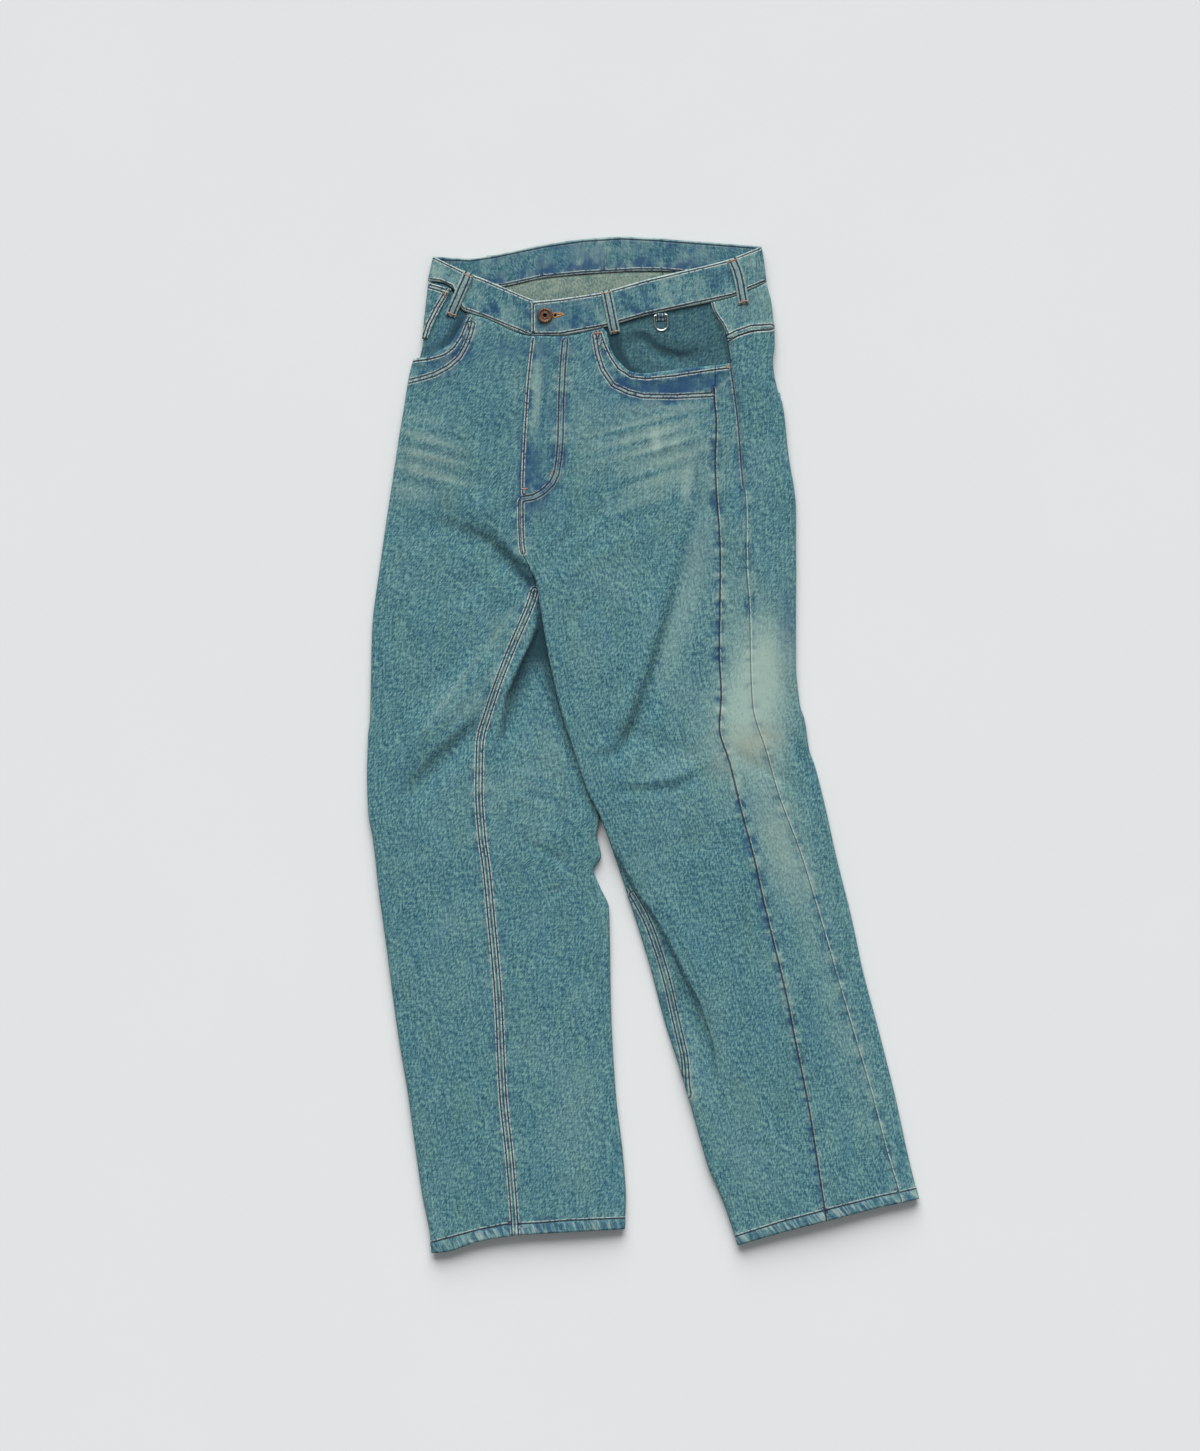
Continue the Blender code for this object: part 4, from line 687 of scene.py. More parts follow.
@dataclass(frozen=True)
class Wash:
    """What the laundry did to the denim, with painted highlights and painted shade, in rows of (x, y, length,
    width, turn, strength, edge).
    """

    fades: Table = (
        # whiskers on the right hip
        (-236, 357.5, 50, 6, -8, 0.2), (-228.8, 335, 70, 7, -17, 0.42), (-225, 315.7, 75, 6, -14, 0.4),
        (-225, 296, 85, 7, -15.5, 0.42), (-257, 279, 44, 12, -16, 0.24), (-236, 312, 90, 90, -10, 0.12),
        # whiskers on the left hip
        (1, 356, 110, 6, 15, 0.32), (6.6, 341, 108, 8, 14.5, 0.3), (15.4, 327, 84, 7, 16, 0.36),
        (34.7, 315, 84, 8, 17.5, 0.32), (15.4, 291.5, 80, 14, 16.6, 0.26), (-10, 266, 80, 14, 16.6, 0.18),
        (22, 344, 40, 22, 12, 0.26), (36, 372, 90, 10, 3, 0.3), (16, 322, 130, 110, 14, 0.22),
        (60, 300, 30, 120, 6, 0.12),
        # left knee, and down the strip between its seams; the patch at (54, 182) is painted highlight on the
        # lit side of the left thigh's valley
        (128, 66, 58, 150, -8, 0.58, 1.1), (138, 96, 36, 84, -6, 0.3), (100, 44, 46, 190, -6, 0.24),
        (150, 30, 50, 160, -10, 0.14), (112, 40, 84, 120, -12, 0.3), (136, 0, 60, 60, -20, 0.2),
        (142, -86, 56, 120, 14, 0.34), (160, -140, 50, 90, 14, 0.16), (54, 182, 32, 190, -15, 0.34),
        (96, 150, 60, 90, -8, 0.14), (40, 60, 40, 110, -14, 0.1), (40, -20, 120, 26, 28, 0.14),
        # left thigh and shin
        (-20, 180, 120, 170, 0, 0.06), (70, -330, 70, 300, 14, 0.06),
        # right knee, thigh and shin
        (-112, -48, 74, 9, -14, 0.16), (-108, -66, 70, 8, -16, 0.14), (-118, -30, 60, 8, -12, 0.14),
        (-96, -12, 80, 60, -12, 0.12), (-200, -70, 90, 220, 4, 0.05), (-90, -400, 90, 240, 2, 0.08),
        # painted highlight along the crest of the right thigh's fold, paler cloth on its flank, and the outer
        # strip below the knee
        (-179, 97, 200, 9, 52.5, 0.24), (-166, 72, 150, 34, 52.5, 0.12), (205, -250, 44, 300, 14, 0.2),
        (-120, -90, 90, 60, -20, 0.08),
        # frayed spots
        (15, 334, 28, 10, 96, 0.5, 1.8), (49, 286, 46, 12, 84, 0.42, 1.4), (38, 330, 14, 8, 60, 0.3),
        (-297, 163, 10, 6, 90, 0.4), (-300, 38, 44, 5, 90, 0.35), (86, 394, 24, 4, 42, 0.9, 1.5),
        (76, 390, 16, 3, 40, 0.6), (64, 388, 12, 4, 40, 0.4),
        # beside the fly
        (-117, 385, 9, 100, -3, 0.42, 2.0), (-112, 395, 3, 90, -3, 0.3), (-70, 360, 40, 120, 0, 0.08),
        (-104, 350, 3, 80, -3, 0.25), (-78, 400, 5, 60, 2, 0.16), (-140, 360, 6, 140, 0, 0.14),
    )
    blues: Table = (
        (-106, 385, 13, 110, 2, 0.3), (-118, 300, 22, 70, 0, 0.6), (-100, 436, 60, 16, 0, 0.35),
        (50, 394, 96, 20, 4, 0.46), (60, 402, 70, 8, 6, 0.28), (-14, 396, 46, 18, -20, 0.4),
        (-215, 415, 60, 26, 20, 0.35), (-205, 435, 30, 40, 50, 0.35), (-150, 438, 60, 22, -14, 0.3),
        (-131, 296, 12, 110, 0, 0.5), (-104, 286, 26, 18, 40, 0.4), (-118, 262, 50, 16, 0, 0.2),
        (24, 386, 150, 36, 4, 0.2), (62, 250, 24, 220, 4, 0.1), (160, 140, 20, 90, -4, 0.32),
    )
    stains: Table = (
        (119, -2, 52, 34, -24, 0.62), (140, 12, 40, 24, -14, 0.4), (86, -18, 20, 30, 0, 0.3),
        (138, 84, 40, 70, 0, 0.16), (24, 322, 110, 60, 14, 0.12), (-236, 310, 80, 60, -10, 0.2),
        (152, -104, 40, 110, 14, 0.16),
    )
    painted_shades: Table = (
        # painted shade in the hollows between the whiskers
        (-220, 344, 78, 4, -16, 0.22), (-226.6, 325, 68, 8, -13.6, 0.34), (-223, 306, 86, 4.5, -15, 0.26),
        (-236.5, 290, 66, 8, -12, 0.3), (3.3, 351, 108, 4, 13, 0.26), (8.8, 335.5, 128, 4, 15.3, 0.24),
        (22, 324.5, 102, 4, 16, 0.3), (1.7, 294, 100, 8, 18.4, 0.26), (1.7, 256, 106, 10, 17.9, 0.2),
        # painted shade under the left pocket's edge
        (34, 396, 124, 9, 3, 0.4), (-22, 398, 34, 8, -30, 0.3),
    )
    uneven: float = 0.06

    @staticmethod
    def total(patches: Table, x: Array, y: Array) -> Array:
        """Sum of patches at each place."""
        return sum((Patch(*row).cover(x, y) for row in patches), np.zeros(np.shape(x)))

    def fade(self, x: Array, y: Array) -> Array:
        """How much the dye is washed out, below 0 where it is deeper; the painted shades also take it below
        0.
        """
        clouds = self.uneven * (ripple(x, y, 46, 1.3) + 0.7 * ripple(x, y, 19, 2.9))
        return self.total(self.fades, x, y) - self.total(self.painted_shades, x, y) + clouds


@dataclass(frozen=True)
class Creases:
    """Soft folds, laid one by one: rows of (x, y, height, width left, width right)."""

    right: tuple[Table, ...] = (
        ((-126, 240, 0, 10, 22), (-150, 205, -1.0, 12, 24), (-190, 170, -1.4, 14, 26),
         (-240, 140, 0, 16, 28)),
        fold(5, 5, (-264, 352), (-240, 343, 0.7), (-212, 332)),
        fold(5, 5, (-252, 322), (-228, 317, 0.8), (-198, 311)),
        fold(5, 5, (-256, 307), (-232, 302, 0.8), (-206, 296)),
        ((-150, 432, 0, 6, 6), (-158, 410, 0.7, 7, 7), (-160, 380, 0, 8, 8)),
        ((-268, -60, 0, 20, 24), (-230, -110, 1.2, 22, 26), (-190, -190, 1.0, 24, 26),
         (-180, -280, 0, 24, 24)),
        ((-250, -250, 0, 22, 22), (-215, -330, 1.1, 26, 26), (-200, -420, 0, 26, 26)),
        fold(9, 12, (-116, -108), (-92, -122, -1.6), (-66, -131)),
        fold(12, 10, (-120, -84), (-96, -98, 1.0), (-62, -110)),
        fold(10, 10, (-140, -40), (-110, -48, 0.8), (-80, -57)),
        ((-130, -190, 0, 18, 18), (-100, -260, 1.0, 20, 20), (-84, -360, 0.8, 20, 20),
         (-80, -460, 0, 20, 20)),
        ((-60, -150, 0, 8, 8), (-74, -200, -0.9, 10, 10), (-76, -260, 0, 10, 10)),
        ((-290, 120, 0, 12, 12), (-268, 90, 0.9, 14, 14), (-240, 70, 0, 14, 14)),
        ((-285, 230, 0, 12, 12), (-250, 206, 1.0, 14, 14), (-215, 196, 0, 14, 14)),
        # foot of the step from the hips, and the roll above it
        ((-262, 254, 0, 12, 24), (-206, 235, -1.2, 12, 24), (-170, 221, -2.2, 11, 24),
         (-150, 203, -2.9, 10, 22), (-133, 184, -3.0, 8, 20), (-120, 166, -2.4, 8, 16),
         (-114, 142, -1.2, 8, 12)),
        ((-246, 290, 0, 16, 16), (-205, 272, 1.1, 18, 16), (-172, 258, 1.3, 16, 14), (-150, 240, 0, 10, 10)),
        # body of the thigh's large fold, and the hollow below it
        ((-150, 104, 0, 18, 22), (-163, 84, 2.2, 18, 22), (-188, 38, 3.4, 18, 24), (-222, 2, 3.4, 18, 24),
         (-256, -40, 0, 18, 22)),
        ((-172, 32, 0, 20, 10), (-190, 12, -2.4, 24, 13), (-216, -10, -3.4, 26, 14),
         (-244, -40, -3.0, 26, 14), (-266, -62, 0, 20, 12)),
        ((-128, 190, 0, 3, 6), (-150, 146, 0.5, 3, 7), (-175, 106, 0.8, 3, 8), (-212, 48, 0.9, 3, 8),
         (-250, 2, 0.8, 3, 8), (-276, -40, 0, 3, 8)),
        # pocket between the flap at the inseam and the left leg
        ((-109, 134, -0.6, 12, 5), (-127, 88, -3.8, 24, 8), (-140, 56, -4.0, 24, 7), (-146, 30, -2.8, 24, 7),
         (-154, 2, 0, 22, 8)),
        ((-112, 137, -2.0, 10, 10), (-103, 104, -2.6, 10, 16), (-88, 37, -2.4, 10, 18),
         (-75, -5, -2.0, 9, 16), (-59, -52, -1.2, 7, 14), (-47, -78, -0.6, 6, 10)),
        # creases across the knee
        ((-140, -98, 0, 7, 7), (-118, -112, -1.3, 8, 7), (-88, -130, -1.5, 8, 7), (-66, -146, 0, 7, 7)),
        ((-116, -172, 0, 7, 7), (-92, -160, -1.1, 8, 7), (-68, -148, 0, 7, 7)),
        ((-156, 6, 0, 6, 6), (-128, -8, 0.8, 7, 6), (-98, -18, 0, 6, 6)),
        fold(6, 6, (-160, -26), (-130, -34, 0.7), (-96, -46)),
        ((-158, -52, 0, 6, 6), (-126, -62, 0.8, 7, 6), (-92, -74, 0, 6, 6)),
        ((-108, 20, 0, 7, 8), (-112, -20, -0.9, 8, 8), (-120, -58, 0, 8, 8)),
    )
    left: tuple[Table, ...] = (
        fold(5, 5, (-60, 350), (-24, 344, 0.7), (6, 351)),
        fold(6, 6, (-12, 313), (30, 328, 0.8), (74, 342)),
        fold(5, 5, (-24, 290), (0, 297, 0.7), (26, 303)),
        ((-118, 188, 0, 10, 12), (-84, 224, -1.3, 12, 14), (-40, 262, -1.0, 14, 16), (6, 290, 0, 14, 16)),
        ((-112, 172, 0, 10, 10), (-70, 196, 1.1, 12, 14), (-20, 226, 0.8, 14, 16), (30, 250, 0, 14, 16)),
        ((-100, 120, 0, 12, 14), (-60, 150, -1.0, 14, 18), (-14, 196, 0, 14, 18)),
        ((-74, 20, 0, 16, 20), (-20, 14, -1.4, 18, 22), (40, -8, -1.6, 20, 22), (96, -50, 0, 20, 22)),
        ((-40, -60, 0, 16, 20), (20, -40, 1.2, 18, 22), (80, -20, 1.0, 18, 22), (130, 10, 0, 16, 18)),
        ((0, -120, 0, 16, 20), (50, -110, -1.0, 18, 22), (110, -90, 0, 18, 20)),
        ((60, -200, 0, 18, 18), (90, -290, 1.2, 22, 22), (120, -400, 0.8, 22, 22), (150, -480, 0, 20, 20)),
        ((150, -160, 0, 12, 12), (176, -240, 0.8, 14, 14), (206, -340, 0, 14, 14)),
        ((100, -360, 0, 16, 16), (118, -430, -0.9, 18, 18), (140, -500, 0, 16, 16)),
        ((142, 110, 0, 10, 10), (158, 60, -1.0, 12, 12), (180, -10, 0, 12, 12)),
        ((96, 250, 0, 8, 8), (128, 200, 0.9, 10, 12), (152, 140, 0, 10, 12)),
        ((-96, 446, 0, 5, 5), (-84, 420, 0.5, 6, 6), (-80, 390, 0, 6, 6)),
        ((88, 405, 0, 5, 5), (76, 392, 0.9, 5, 6), (62, 384, 0, 5, 6)),
        # valley beside the thigh's large fold
        ((68, 310, 0, 12, 10), (62, 262, -1.4, 18, 12), (45, 195, -2.4, 22, 12), (30, 131, -3.4, 24, 13),
         (12, 73, -4.0, 24, 13), (-10, 12, -3.8, 22, 13), (-24, -10, -2.4, 18, 12), (-50, -14, 0, 12, 10)),
        ((28, 176, 0, 10, 10), (6, 88, 0.9, 8, 14), (-18, 24, 0.9, 8, 14), (-44, 2, 0, 8, 10)),
        # crease above the knee
        ((-42, -50, 0, 8, 10), (-24, -50, -1.2, 10, 12), (8, -51, -1.6, 10, 12), (36, -48, -1.6, 10, 12),
         (60, -36, -1.2, 10, 12), (84, -22, 0, 8, 10)),
        ((-20, -40, 0, 8, 6), (26, -38, 0.8, 9, 6), (70, -20, 0, 8, 6)),
        # hollow at the worn outer edge, and below the knee
        ((158, 24, 0, 6, 6), (170, 4, -1.6, 8, 8), (184, -24, -1.2, 8, 8), (196, -50, 0, 8, 8)),
        ((96, -4, 0, 10, 10), (122, -22, -1.4, 12, 12), (160, -40, -1.0, 12, 12), (190, -60, 0, 10, 10)),
        ((60, -66, 0, 12, 12), (100, -100, 1.0, 14, 14), (150, -150, 0, 14, 14)),
        ((104, -436, 0, 5, 6), (122, -441, -0.8, 6, 7), (148, -440, 0, 5, 6)),
        # roll beside the lower fold
        ((-4, -120, 0, 14, 6), (26, -180, 1.2, 16, 6), (60, -246, 1.4, 18, 6), (84, -316, 1.0, 18, 6),
         (92, -372, 0, 16, 6)),
    )
    # Painted shade in the folds' hollows and beside the left leg's edge: rows of (x, y, share, width left,
    # width right).
    painted_shade_right: tuple[Table, ...] = (
        ((-272, 262, 0, 6, 10), (-234, 254, 0.1, 7, 12), (-194, 243, 0.22, 8, 14), (-167, 232, 0.3, 8, 14),
         (-150, 212, 0.5, 8, 15), (-134, 194, 0.72, 8, 13), (-122, 182, 0.85, 7, 11), (-115, 160, 0.8, 8, 9),
         (-111, 140, 0.85, 8, 7)),
        ((-110, 138, 0.98, 14, 6), (-120, 112, 0.98, 26, 6), (-133, 86, 0.95, 26, 6), (-144, 62, 0.85, 24, 6),
         (-150, 44, 0.6, 20, 5), (-154, 22, 0.4, 15, 4), (-160, 2, 0, 12, 4)),
        ((-110, 136, 0.98, 8, 12), (-103, 104, 0.9, 8, 22), (-97, 70, 0.75, 8, 20), (-89, 37, 0.5, 8, 16),
         (-75, -5, 0.3, 8, 13), (-59, -52, 0.22, 8, 11), (-46, -78, 0.36, 8, 8)),
        ((-160, 40, 0, 12, 10), (-182, 26, 0.12, 14, 12), (-206, 8, 0.16, 17, 13), (-232, -18, 0.2, 18, 13),
         (-250, -40, 0.18, 17, 13), (-270, -64, 0, 12, 10)),
        ((-120, -112, 0, 5, 5), (-90, -128, 0.2, 6, 5), (-66, -144, 0.1, 6, 6)),
    )
    painted_shade_left: tuple[Table, ...] = (
        ((58, 300, 0, 8, 8), (54, 258, 0.08, 9, 9), (38, 196, 0.1, 10, 10), (22, 131, 0.16, 11, 11),
         (4, 73, 0.24, 12, 12), (-14, 20, 0.34, 12, 12), (-24, 2, 0.36, 11, 12), (-40, -6, 0.25, 9, 10),
         (-62, -12, 0, 9, 9)),
        ((-38, -46, 0, 8, 9), (-14, -46, 0.14, 9, 10), (34, -44, 0.14, 9, 10), (58, -32, 0.1, 9, 10),
         (80, -20, 0, 8, 8)),
        ((-26, -112, 0.2, 3, 12), (-8, -159, 0.3, 3, 14), (25, -217, 0.3, 3, 16), (60, -285, 0.42, 3, 15),
         (80, -346, 0.25, 3, 12), (88, -400, 0, 3, 8)),
        ((160, 18, 0, 6, 6), (172, -2, 0.3, 8, 8), (184, -26, 0.2, 8, 8), (192, -44, 0, 8, 8)),
        ((64, 340, 0, 5, 5), (62, 300, 0.12, 6, 6), (58, 262, 0, 6, 6)),
    )
    limp: float = 0.6            # height of the cloth's general unevenness
    fine: float = 0.14           # and of its fine one

    def height(self, folds: Iterable[Table], x: Array, y: Array) -> Array:
        """Height of the soft folds and the unevenness between them."""
        uneven = self.limp * (ripple(x + 0.4 * y, y, 58, 4.3) + 0.6 * ripple(x - 0.3 * y, y * 0.7, 27, 6.1))
        return ridges(folds, x, y) + uneven + self.fine * ripple(x, y, 8, 7.7)


class Wire:
    """A node's output that takes Python arithmetic."""

    def __init__(self, shade: "Shade", socket: Any) -> None:
        """Wrap a socket."""
        self.shade = shade
        self.socket = socket

    def _math(self, operation: str, *values: Any) -> "Wire":
        """Add a Math node."""
        return self.shade.node("ShaderNodeMath", {"operation": operation}, dict(enumerate(values)))

    def __add__(self, other: Any) -> "Wire":
        """Sum."""
        return self._math("ADD", self, other)

    def __sub__(self, other: Any) -> "Wire":
        """Difference."""
        return self._math("SUBTRACT", self, other)

    def __rsub__(self, other: Any) -> "Wire":
        """Difference, reflected."""
        return self._math("SUBTRACT", other, self)

    def __mul__(self, other: Any) -> "Wire":
        """Product."""
        return self._math("MULTIPLY", self, other)

    __radd__, __rmul__ = __add__, __mul__

    def __abs__(self) -> "Wire":
        """Size without sign."""
        return self._math("ABSOLUTE", self)

    def clip(self, low: float = 0.0, high: float = 1.0) -> "Wire":
        """Keep within limits."""
        return self.shade.node("ShaderNodeClamp", {}, {"Value": self, "Min": low, "Max": high})

    def step(self, start: float, end: float, low: float = 0.0, high: float = 1.0) -> "Wire":
        """Ease from low to high as this goes from start to end."""
        return self.shade.node("ShaderNodeMapRange", {"interpolation_type": "SMOOTHSTEP"},
                               {"Value": self, "From Min": start, "From Max": end,
                                "To Min": low, "To Max": high})


class Shade:
    """Node tree of one finish."""

    def __init__(self, name: str) -> None:
        """Start a material with one Principled BSDF."""
        self.material = bpy.data.materials.new(name)
        self.material.use_nodes = True
        self.tree = self.material.node_tree
        self.surface = self.tree.nodes["Principled BSDF"]

    def node(self, kind: str, settings: dict[str, Any], inputs: dict[Any, Any], output: Any = 0) -> Wire:
        """Add a node.

        Args:
            kind: Blender's name of the node's type.
            settings: Its settings, set before its sockets. "stops" gives a ramp's stops.
            inputs: Values or wires for its sockets.
            output: Which output to return.

        Returns:
            The output, wrapped.
        """
        node = self.tree.nodes.new(kind)
        for key, value in settings.items():
            if key == "stops":
                elements = node.color_ramp.elements
                while len(elements) < len(value):
                    elements.new(0.5)
                for element, (place, shade) in zip(elements, value):
                    element.position = place
                    element.color = (shade, shade, shade, 1)
            else:
                setattr(node, key, value)
        for key, value in inputs.items():
            self.feed(node.inputs[key], value)
        return Wire(self, node.outputs[output])

    def feed(self, socket: Any, value: Any) -> None:
        """Link a wire to a socket, or set its value."""
        if isinstance(value, Wire):
            self.tree.links.new(value.socket, socket)
        else:
            socket.default_value = value

    def dress(self, **sockets: Any) -> bpy.types.Material:
        """Set the shader's sockets, with _ for a space, and return the material."""
        for key, value in sockets.items():
            self.feed(self.surface.inputs[key.replace("_", " ")], value)
        return self.material

    def mix(self, first: Any, second: Any, share: Any, how: str = "MIX") -> Wire:
        """Blend two colours."""
        node = self.tree.nodes.new("ShaderNodeMix")
        node.data_type = "RGBA"
        node.blend_type = how
        for socket, value in zip([s for s in node.inputs if s.enabled], (share, first, second)):
            self.feed(socket, value)
        return Wire(self, next(s for s in node.outputs if s.enabled))

    def mark(self, name: str) -> Wire:
        """One of the piece's own values."""
        return self.node("ShaderNodeAttribute", {"attribute_name": name}, {}, "Fac")

    def noise(self, place: Wire, stretch: tuple[float, float, float], scale: float, detail: float = 2.0,
              turn: float = 0.0) -> Wire:
        """Noise from about 0 to 1, stretched and turned over a place."""
        place = self.node("ShaderNodeMapping", {"vector_type": "TEXTURE"},
                          {"Vector": place, "Scale": tuple(1 / share for share in stretch),
                           "Rotation": (0, 0, math.radians(turn))})
        return self.node("ShaderNodeTexNoise", {}, {"Vector": place, "Scale": scale, "Detail": detail,
                                                    "Roughness": 0.6})

    def bump(self, height: Wire, strength: float, distance: float, over: Any = None) -> Wire:
        """Normal of a surface with a height."""
        inputs = {"Height": height, "Strength": strength, "Distance": distance}
        if over is not None:
            inputs["Normal"] = over
        return self.node("ShaderNodeBump", {}, inputs)


def rgb(red: int, green: int, blue: int) -> tuple[float, float, float, float]:
    """Linear colour from a screen colour of 0 to 255."""
    parts = [part / 255 for part in (red, green, blue)]
    linear = [part / 12.92 if part <= 0.04045 else ((part + 0.055) / 1.055) ** 2.4 for part in parts]
    return (*linear, 1.0)


@dataclass(frozen=True)
class DenimFace:
    """Right side of the washed denim: over-dyed blue-green warp on pale weft."""

    name: str = "denim"
    # deep tone: uneven deeper dye, and painted shade in hollows and recesses
    deep_tone_and_painted_shade: tuple[float, ...] = rgb(30, 60, 72)
    dark: tuple[float, ...] = rgb(44, 86, 106)
    mid: tuple[float, ...] = rgb(79, 127, 136)
    light: tuple[float, ...] = rgb(124, 165, 162)
    faded: tuple[float, ...] = rgb(164, 190, 180)
    blue: tuple[float, ...] = rgb(38, 76, 116)
    stain: tuple[float, ...] = rgb(150, 152, 134)
    groove: tuple[float, ...] = rgb(30, 42, 64)
    worn: tuple[float, ...] = rgb(204, 216, 208)
    cool: tuple[float, ...] = rgb(60, 112, 142)
    warm: tuple[float, ...] = rgb(112, 146, 124)
    roughness: float = 0.9
    # Grain of the patterns, finer as it grows.
    fleck_grain: float = 560
    slub_grain: float = 500
    weft_grain: float = 480
    wear_grain: float = 300
    tuft_grain: float = 270
    twill_grain: float = 210
    spot_grain: float = 92
    cloud_grain: float = 46
    drift_grain: float = 34
    # How far each mark covers the cloth under it.
    deep_tone_and_painted_shade_share: float = 0.9
    stain_share: float = 0.72
    blot_share: float = 0.8
    worn_share: float = 0.9
    groove_share: float = 0.85

    def material(self) -> bpy.types.Material:
        """Weave, flecks, wash, seam wear and painted shade."""
        s = Shade(self.name)
        weave = s.node("ShaderNodeUVMap", {"uv_map": "weave"}, {})
        flecks = s.noise(weave, (1, 0.38, 1), self.fleck_grain, 3.0, -30)
        slubs = s.noise(weave, (1, 0.07, 1), self.slub_grain, 2.0)
        weft = s.noise(weave, (0.2, 1, 1), self.weft_grain, 1.0)
        clouds = s.noise(weave, (1, 0.7, 1), self.cloud_grain, 3.0)
        speck = flecks * 2.1 + slubs * 0.8 + weft * 0.6 + clouds * 0.15
        tone = speck.step(1.36, 2.28)
        colour = s.mix(self.dark, self.mid, tone.step(0.0, 0.5))
        colour = s.mix(colour, self.light, tone.step(0.5, 1.0))
        drift = s.noise(weave, (1, 0.35, 1), self.drift_grain, 3.0)
        colour = s.mix(colour, self.cool, drift.step(0.48, 0.7) * 0.17)
        colour = s.mix(colour, self.warm, drift.step(0.5, 0.32) * 0.13)
        fade = s.mark("fade")
        # Below 0 the fade mark darkens to the deep tone: painted shade in hollows and recesses, and uneven
        # dye.
        colour = s.mix(colour, self.deep_tone_and_painted_shade, (fade * -1.0).clip() * self.deep_tone_and_painted_shade_share)
        washed = (fade + (flecks - 0.5) * 1.2 * fade + (slubs - 0.5) * 0.6 * fade).clip(0.0, 0.92)
        colour = s.mix(colour, self.faded, washed)
        spots = s.noise(weave, (1, 0.8, 1), self.spot_grain, 1.0)
        blue = s.mark("blue")
        blue = blue + (clouds - 0.5) * blue * 3.0 + (spots - 0.5) * blue * 2.6 + (flecks - 0.5) * blue * 1.6
        colour = s.mix(colour, self.blue, blue.clip(0.0, 0.85))
        stain = s.mark("stain") + (clouds - 0.5) * s.mark("stain")
        colour = s.mix(colour, self.stain, stain.clip(0.0, 0.75) * self.stain_share)
        blot = s.mark("blot") * spots.step(0.28, 0.52) * (1.0 - fade)
        colour = s.mix(colour, self.blue, blot.clip() * self.blot_share)
        rope = s.mark("rope")
        tuft = s.noise(weave, (1, 0.16, 1), self.tuft_grain, 1.5, 24) + (flecks - 0.5) * 0.4
        colour = s.mix(colour, self.blue, (rope * tuft.step(0.5, 0.64)).clip() * 0.6)
        colour = s.mix(colour, self.worn, (rope * tuft.step(0.5, 0.34)).clip() * 0.42)
        off = s.mark("off")
        near = abs(abs(off) - s.mark("half"))
        grain = s.noise(weave, (1, 1, 1), self.wear_grain, 1.0)
        lean = s.mark("lean")
        side = 1.0 - abs(lean) * (off * lean).step(0.3, -0.3)
        pale = near.step(0.45, 0.9) * near.step(2.4, 1.4) * s.mark("pale") * grain.step(0.3, 0.58) * side
        colour = s.mix(colour, self.worn, pale.clip() * self.worn_share)
        dark = near.step(1.35, 0.5) * s.mark("dark")
        colour = s.mix(colour, self.groove, dark.clip() * self.groove_share)
        twill = s.node("ShaderNodeTexWave", {"wave_type": "BANDS", "bands_direction": "DIAGONAL"},
                       {"Vector": weave, "Scale": self.twill_grain, "Distortion": 1.2, "Detail": 1.0,
                        "Detail Scale": 2.0}, "Fac")
        height = twill * 0.35 + flecks * 0.8 + slubs * 0.4 - dark * 1.6 + pale * 0.7
        normal = s.bump(height, 0.45, 0.0006)
        return s.dress(Base_Color=colour, Roughness=self.roughness, Normal=normal, Sheen_Weight=0.08,
                       Sheen_Roughness=0.6, Specular_IOR_Level=0.15)


@dataclass(frozen=True)
class DenimBack:
    """Wrong side of the denim: pale weft with blue-green flecks."""

    name: str = "denim_inside"
    weft: tuple[float, ...] = rgb(150, 165, 152)
    warp: tuple[float, ...] = rgb(94, 122, 118)
    roughness: float = 0.92

    def material(self) -> bpy.types.Material:
        """Weft with flecks of warp."""
        s = Shade(self.name)
        weave = s.node("ShaderNodeUVMap", {"uv_map": "weave"}, {})
        flecks = s.noise(weave, (1, 0.5, 1), 560, 2.0, -24)
        clouds = s.noise(weave, (1, 1, 1), 60, 2.0)
        colour = s.mix(self.weft, self.warp, (flecks + clouds * 0.5).step(0.56, 0.98))
        return s.dress(Base_Color=colour, Roughness=self.roughness, Specular_IOR_Level=0.15,
                       Normal=s.bump(flecks, 0.4, 0.0005))


@dataclass(frozen=True)
class ThreadFinish:
    """Spun sewing thread, a little uneven in colour."""

    name: str
    colour: tuple[float, ...]
    shade: tuple[float, ...]

    def material(self) -> bpy.types.Material:
        """Twisted thread."""
        s = Shade(self.name)
        place = s.node("ShaderNodeTexCoord", {}, {}, "Object")
        patch = s.noise(place, (1, 1, 1), 240, 1.0)
        colour = s.mix(self.colour, self.shade, patch.step(0.4, 0.65))
        twist = s.bump(s.noise(place, (1, 1, 1), 2600), 0.3, 0.0002)
        return s.dress(Base_Color=colour, Roughness=0.7, Normal=twist)


@dataclass(frozen=True)
class MetalFinish:
    """Cast or drawn metal with tarnish."""

    name: str
    colour: tuple[float, ...]
    tarnish: tuple[float, ...]
    roughness: float
    wear: float = 900.0

    def material(self) -> bpy.types.Material:
        """Metal with darker, duller patches."""
        s = Shade(self.name)
        place = s.node("ShaderNodeTexCoord", {}, {}, "Object")
        patch = s.noise(place, (1, 1, 1), self.wear, 3.0).step(0.38, 0.66)
        return s.dress(Base_Color=s.mix(self.colour, self.tarnish, patch), Metallic=1.0,
                       Roughness=patch * 0.25 + self.roughness,
                       Normal=s.bump(s.noise(place, (1, 1, 1), 2400), 0.25, 0.0002))


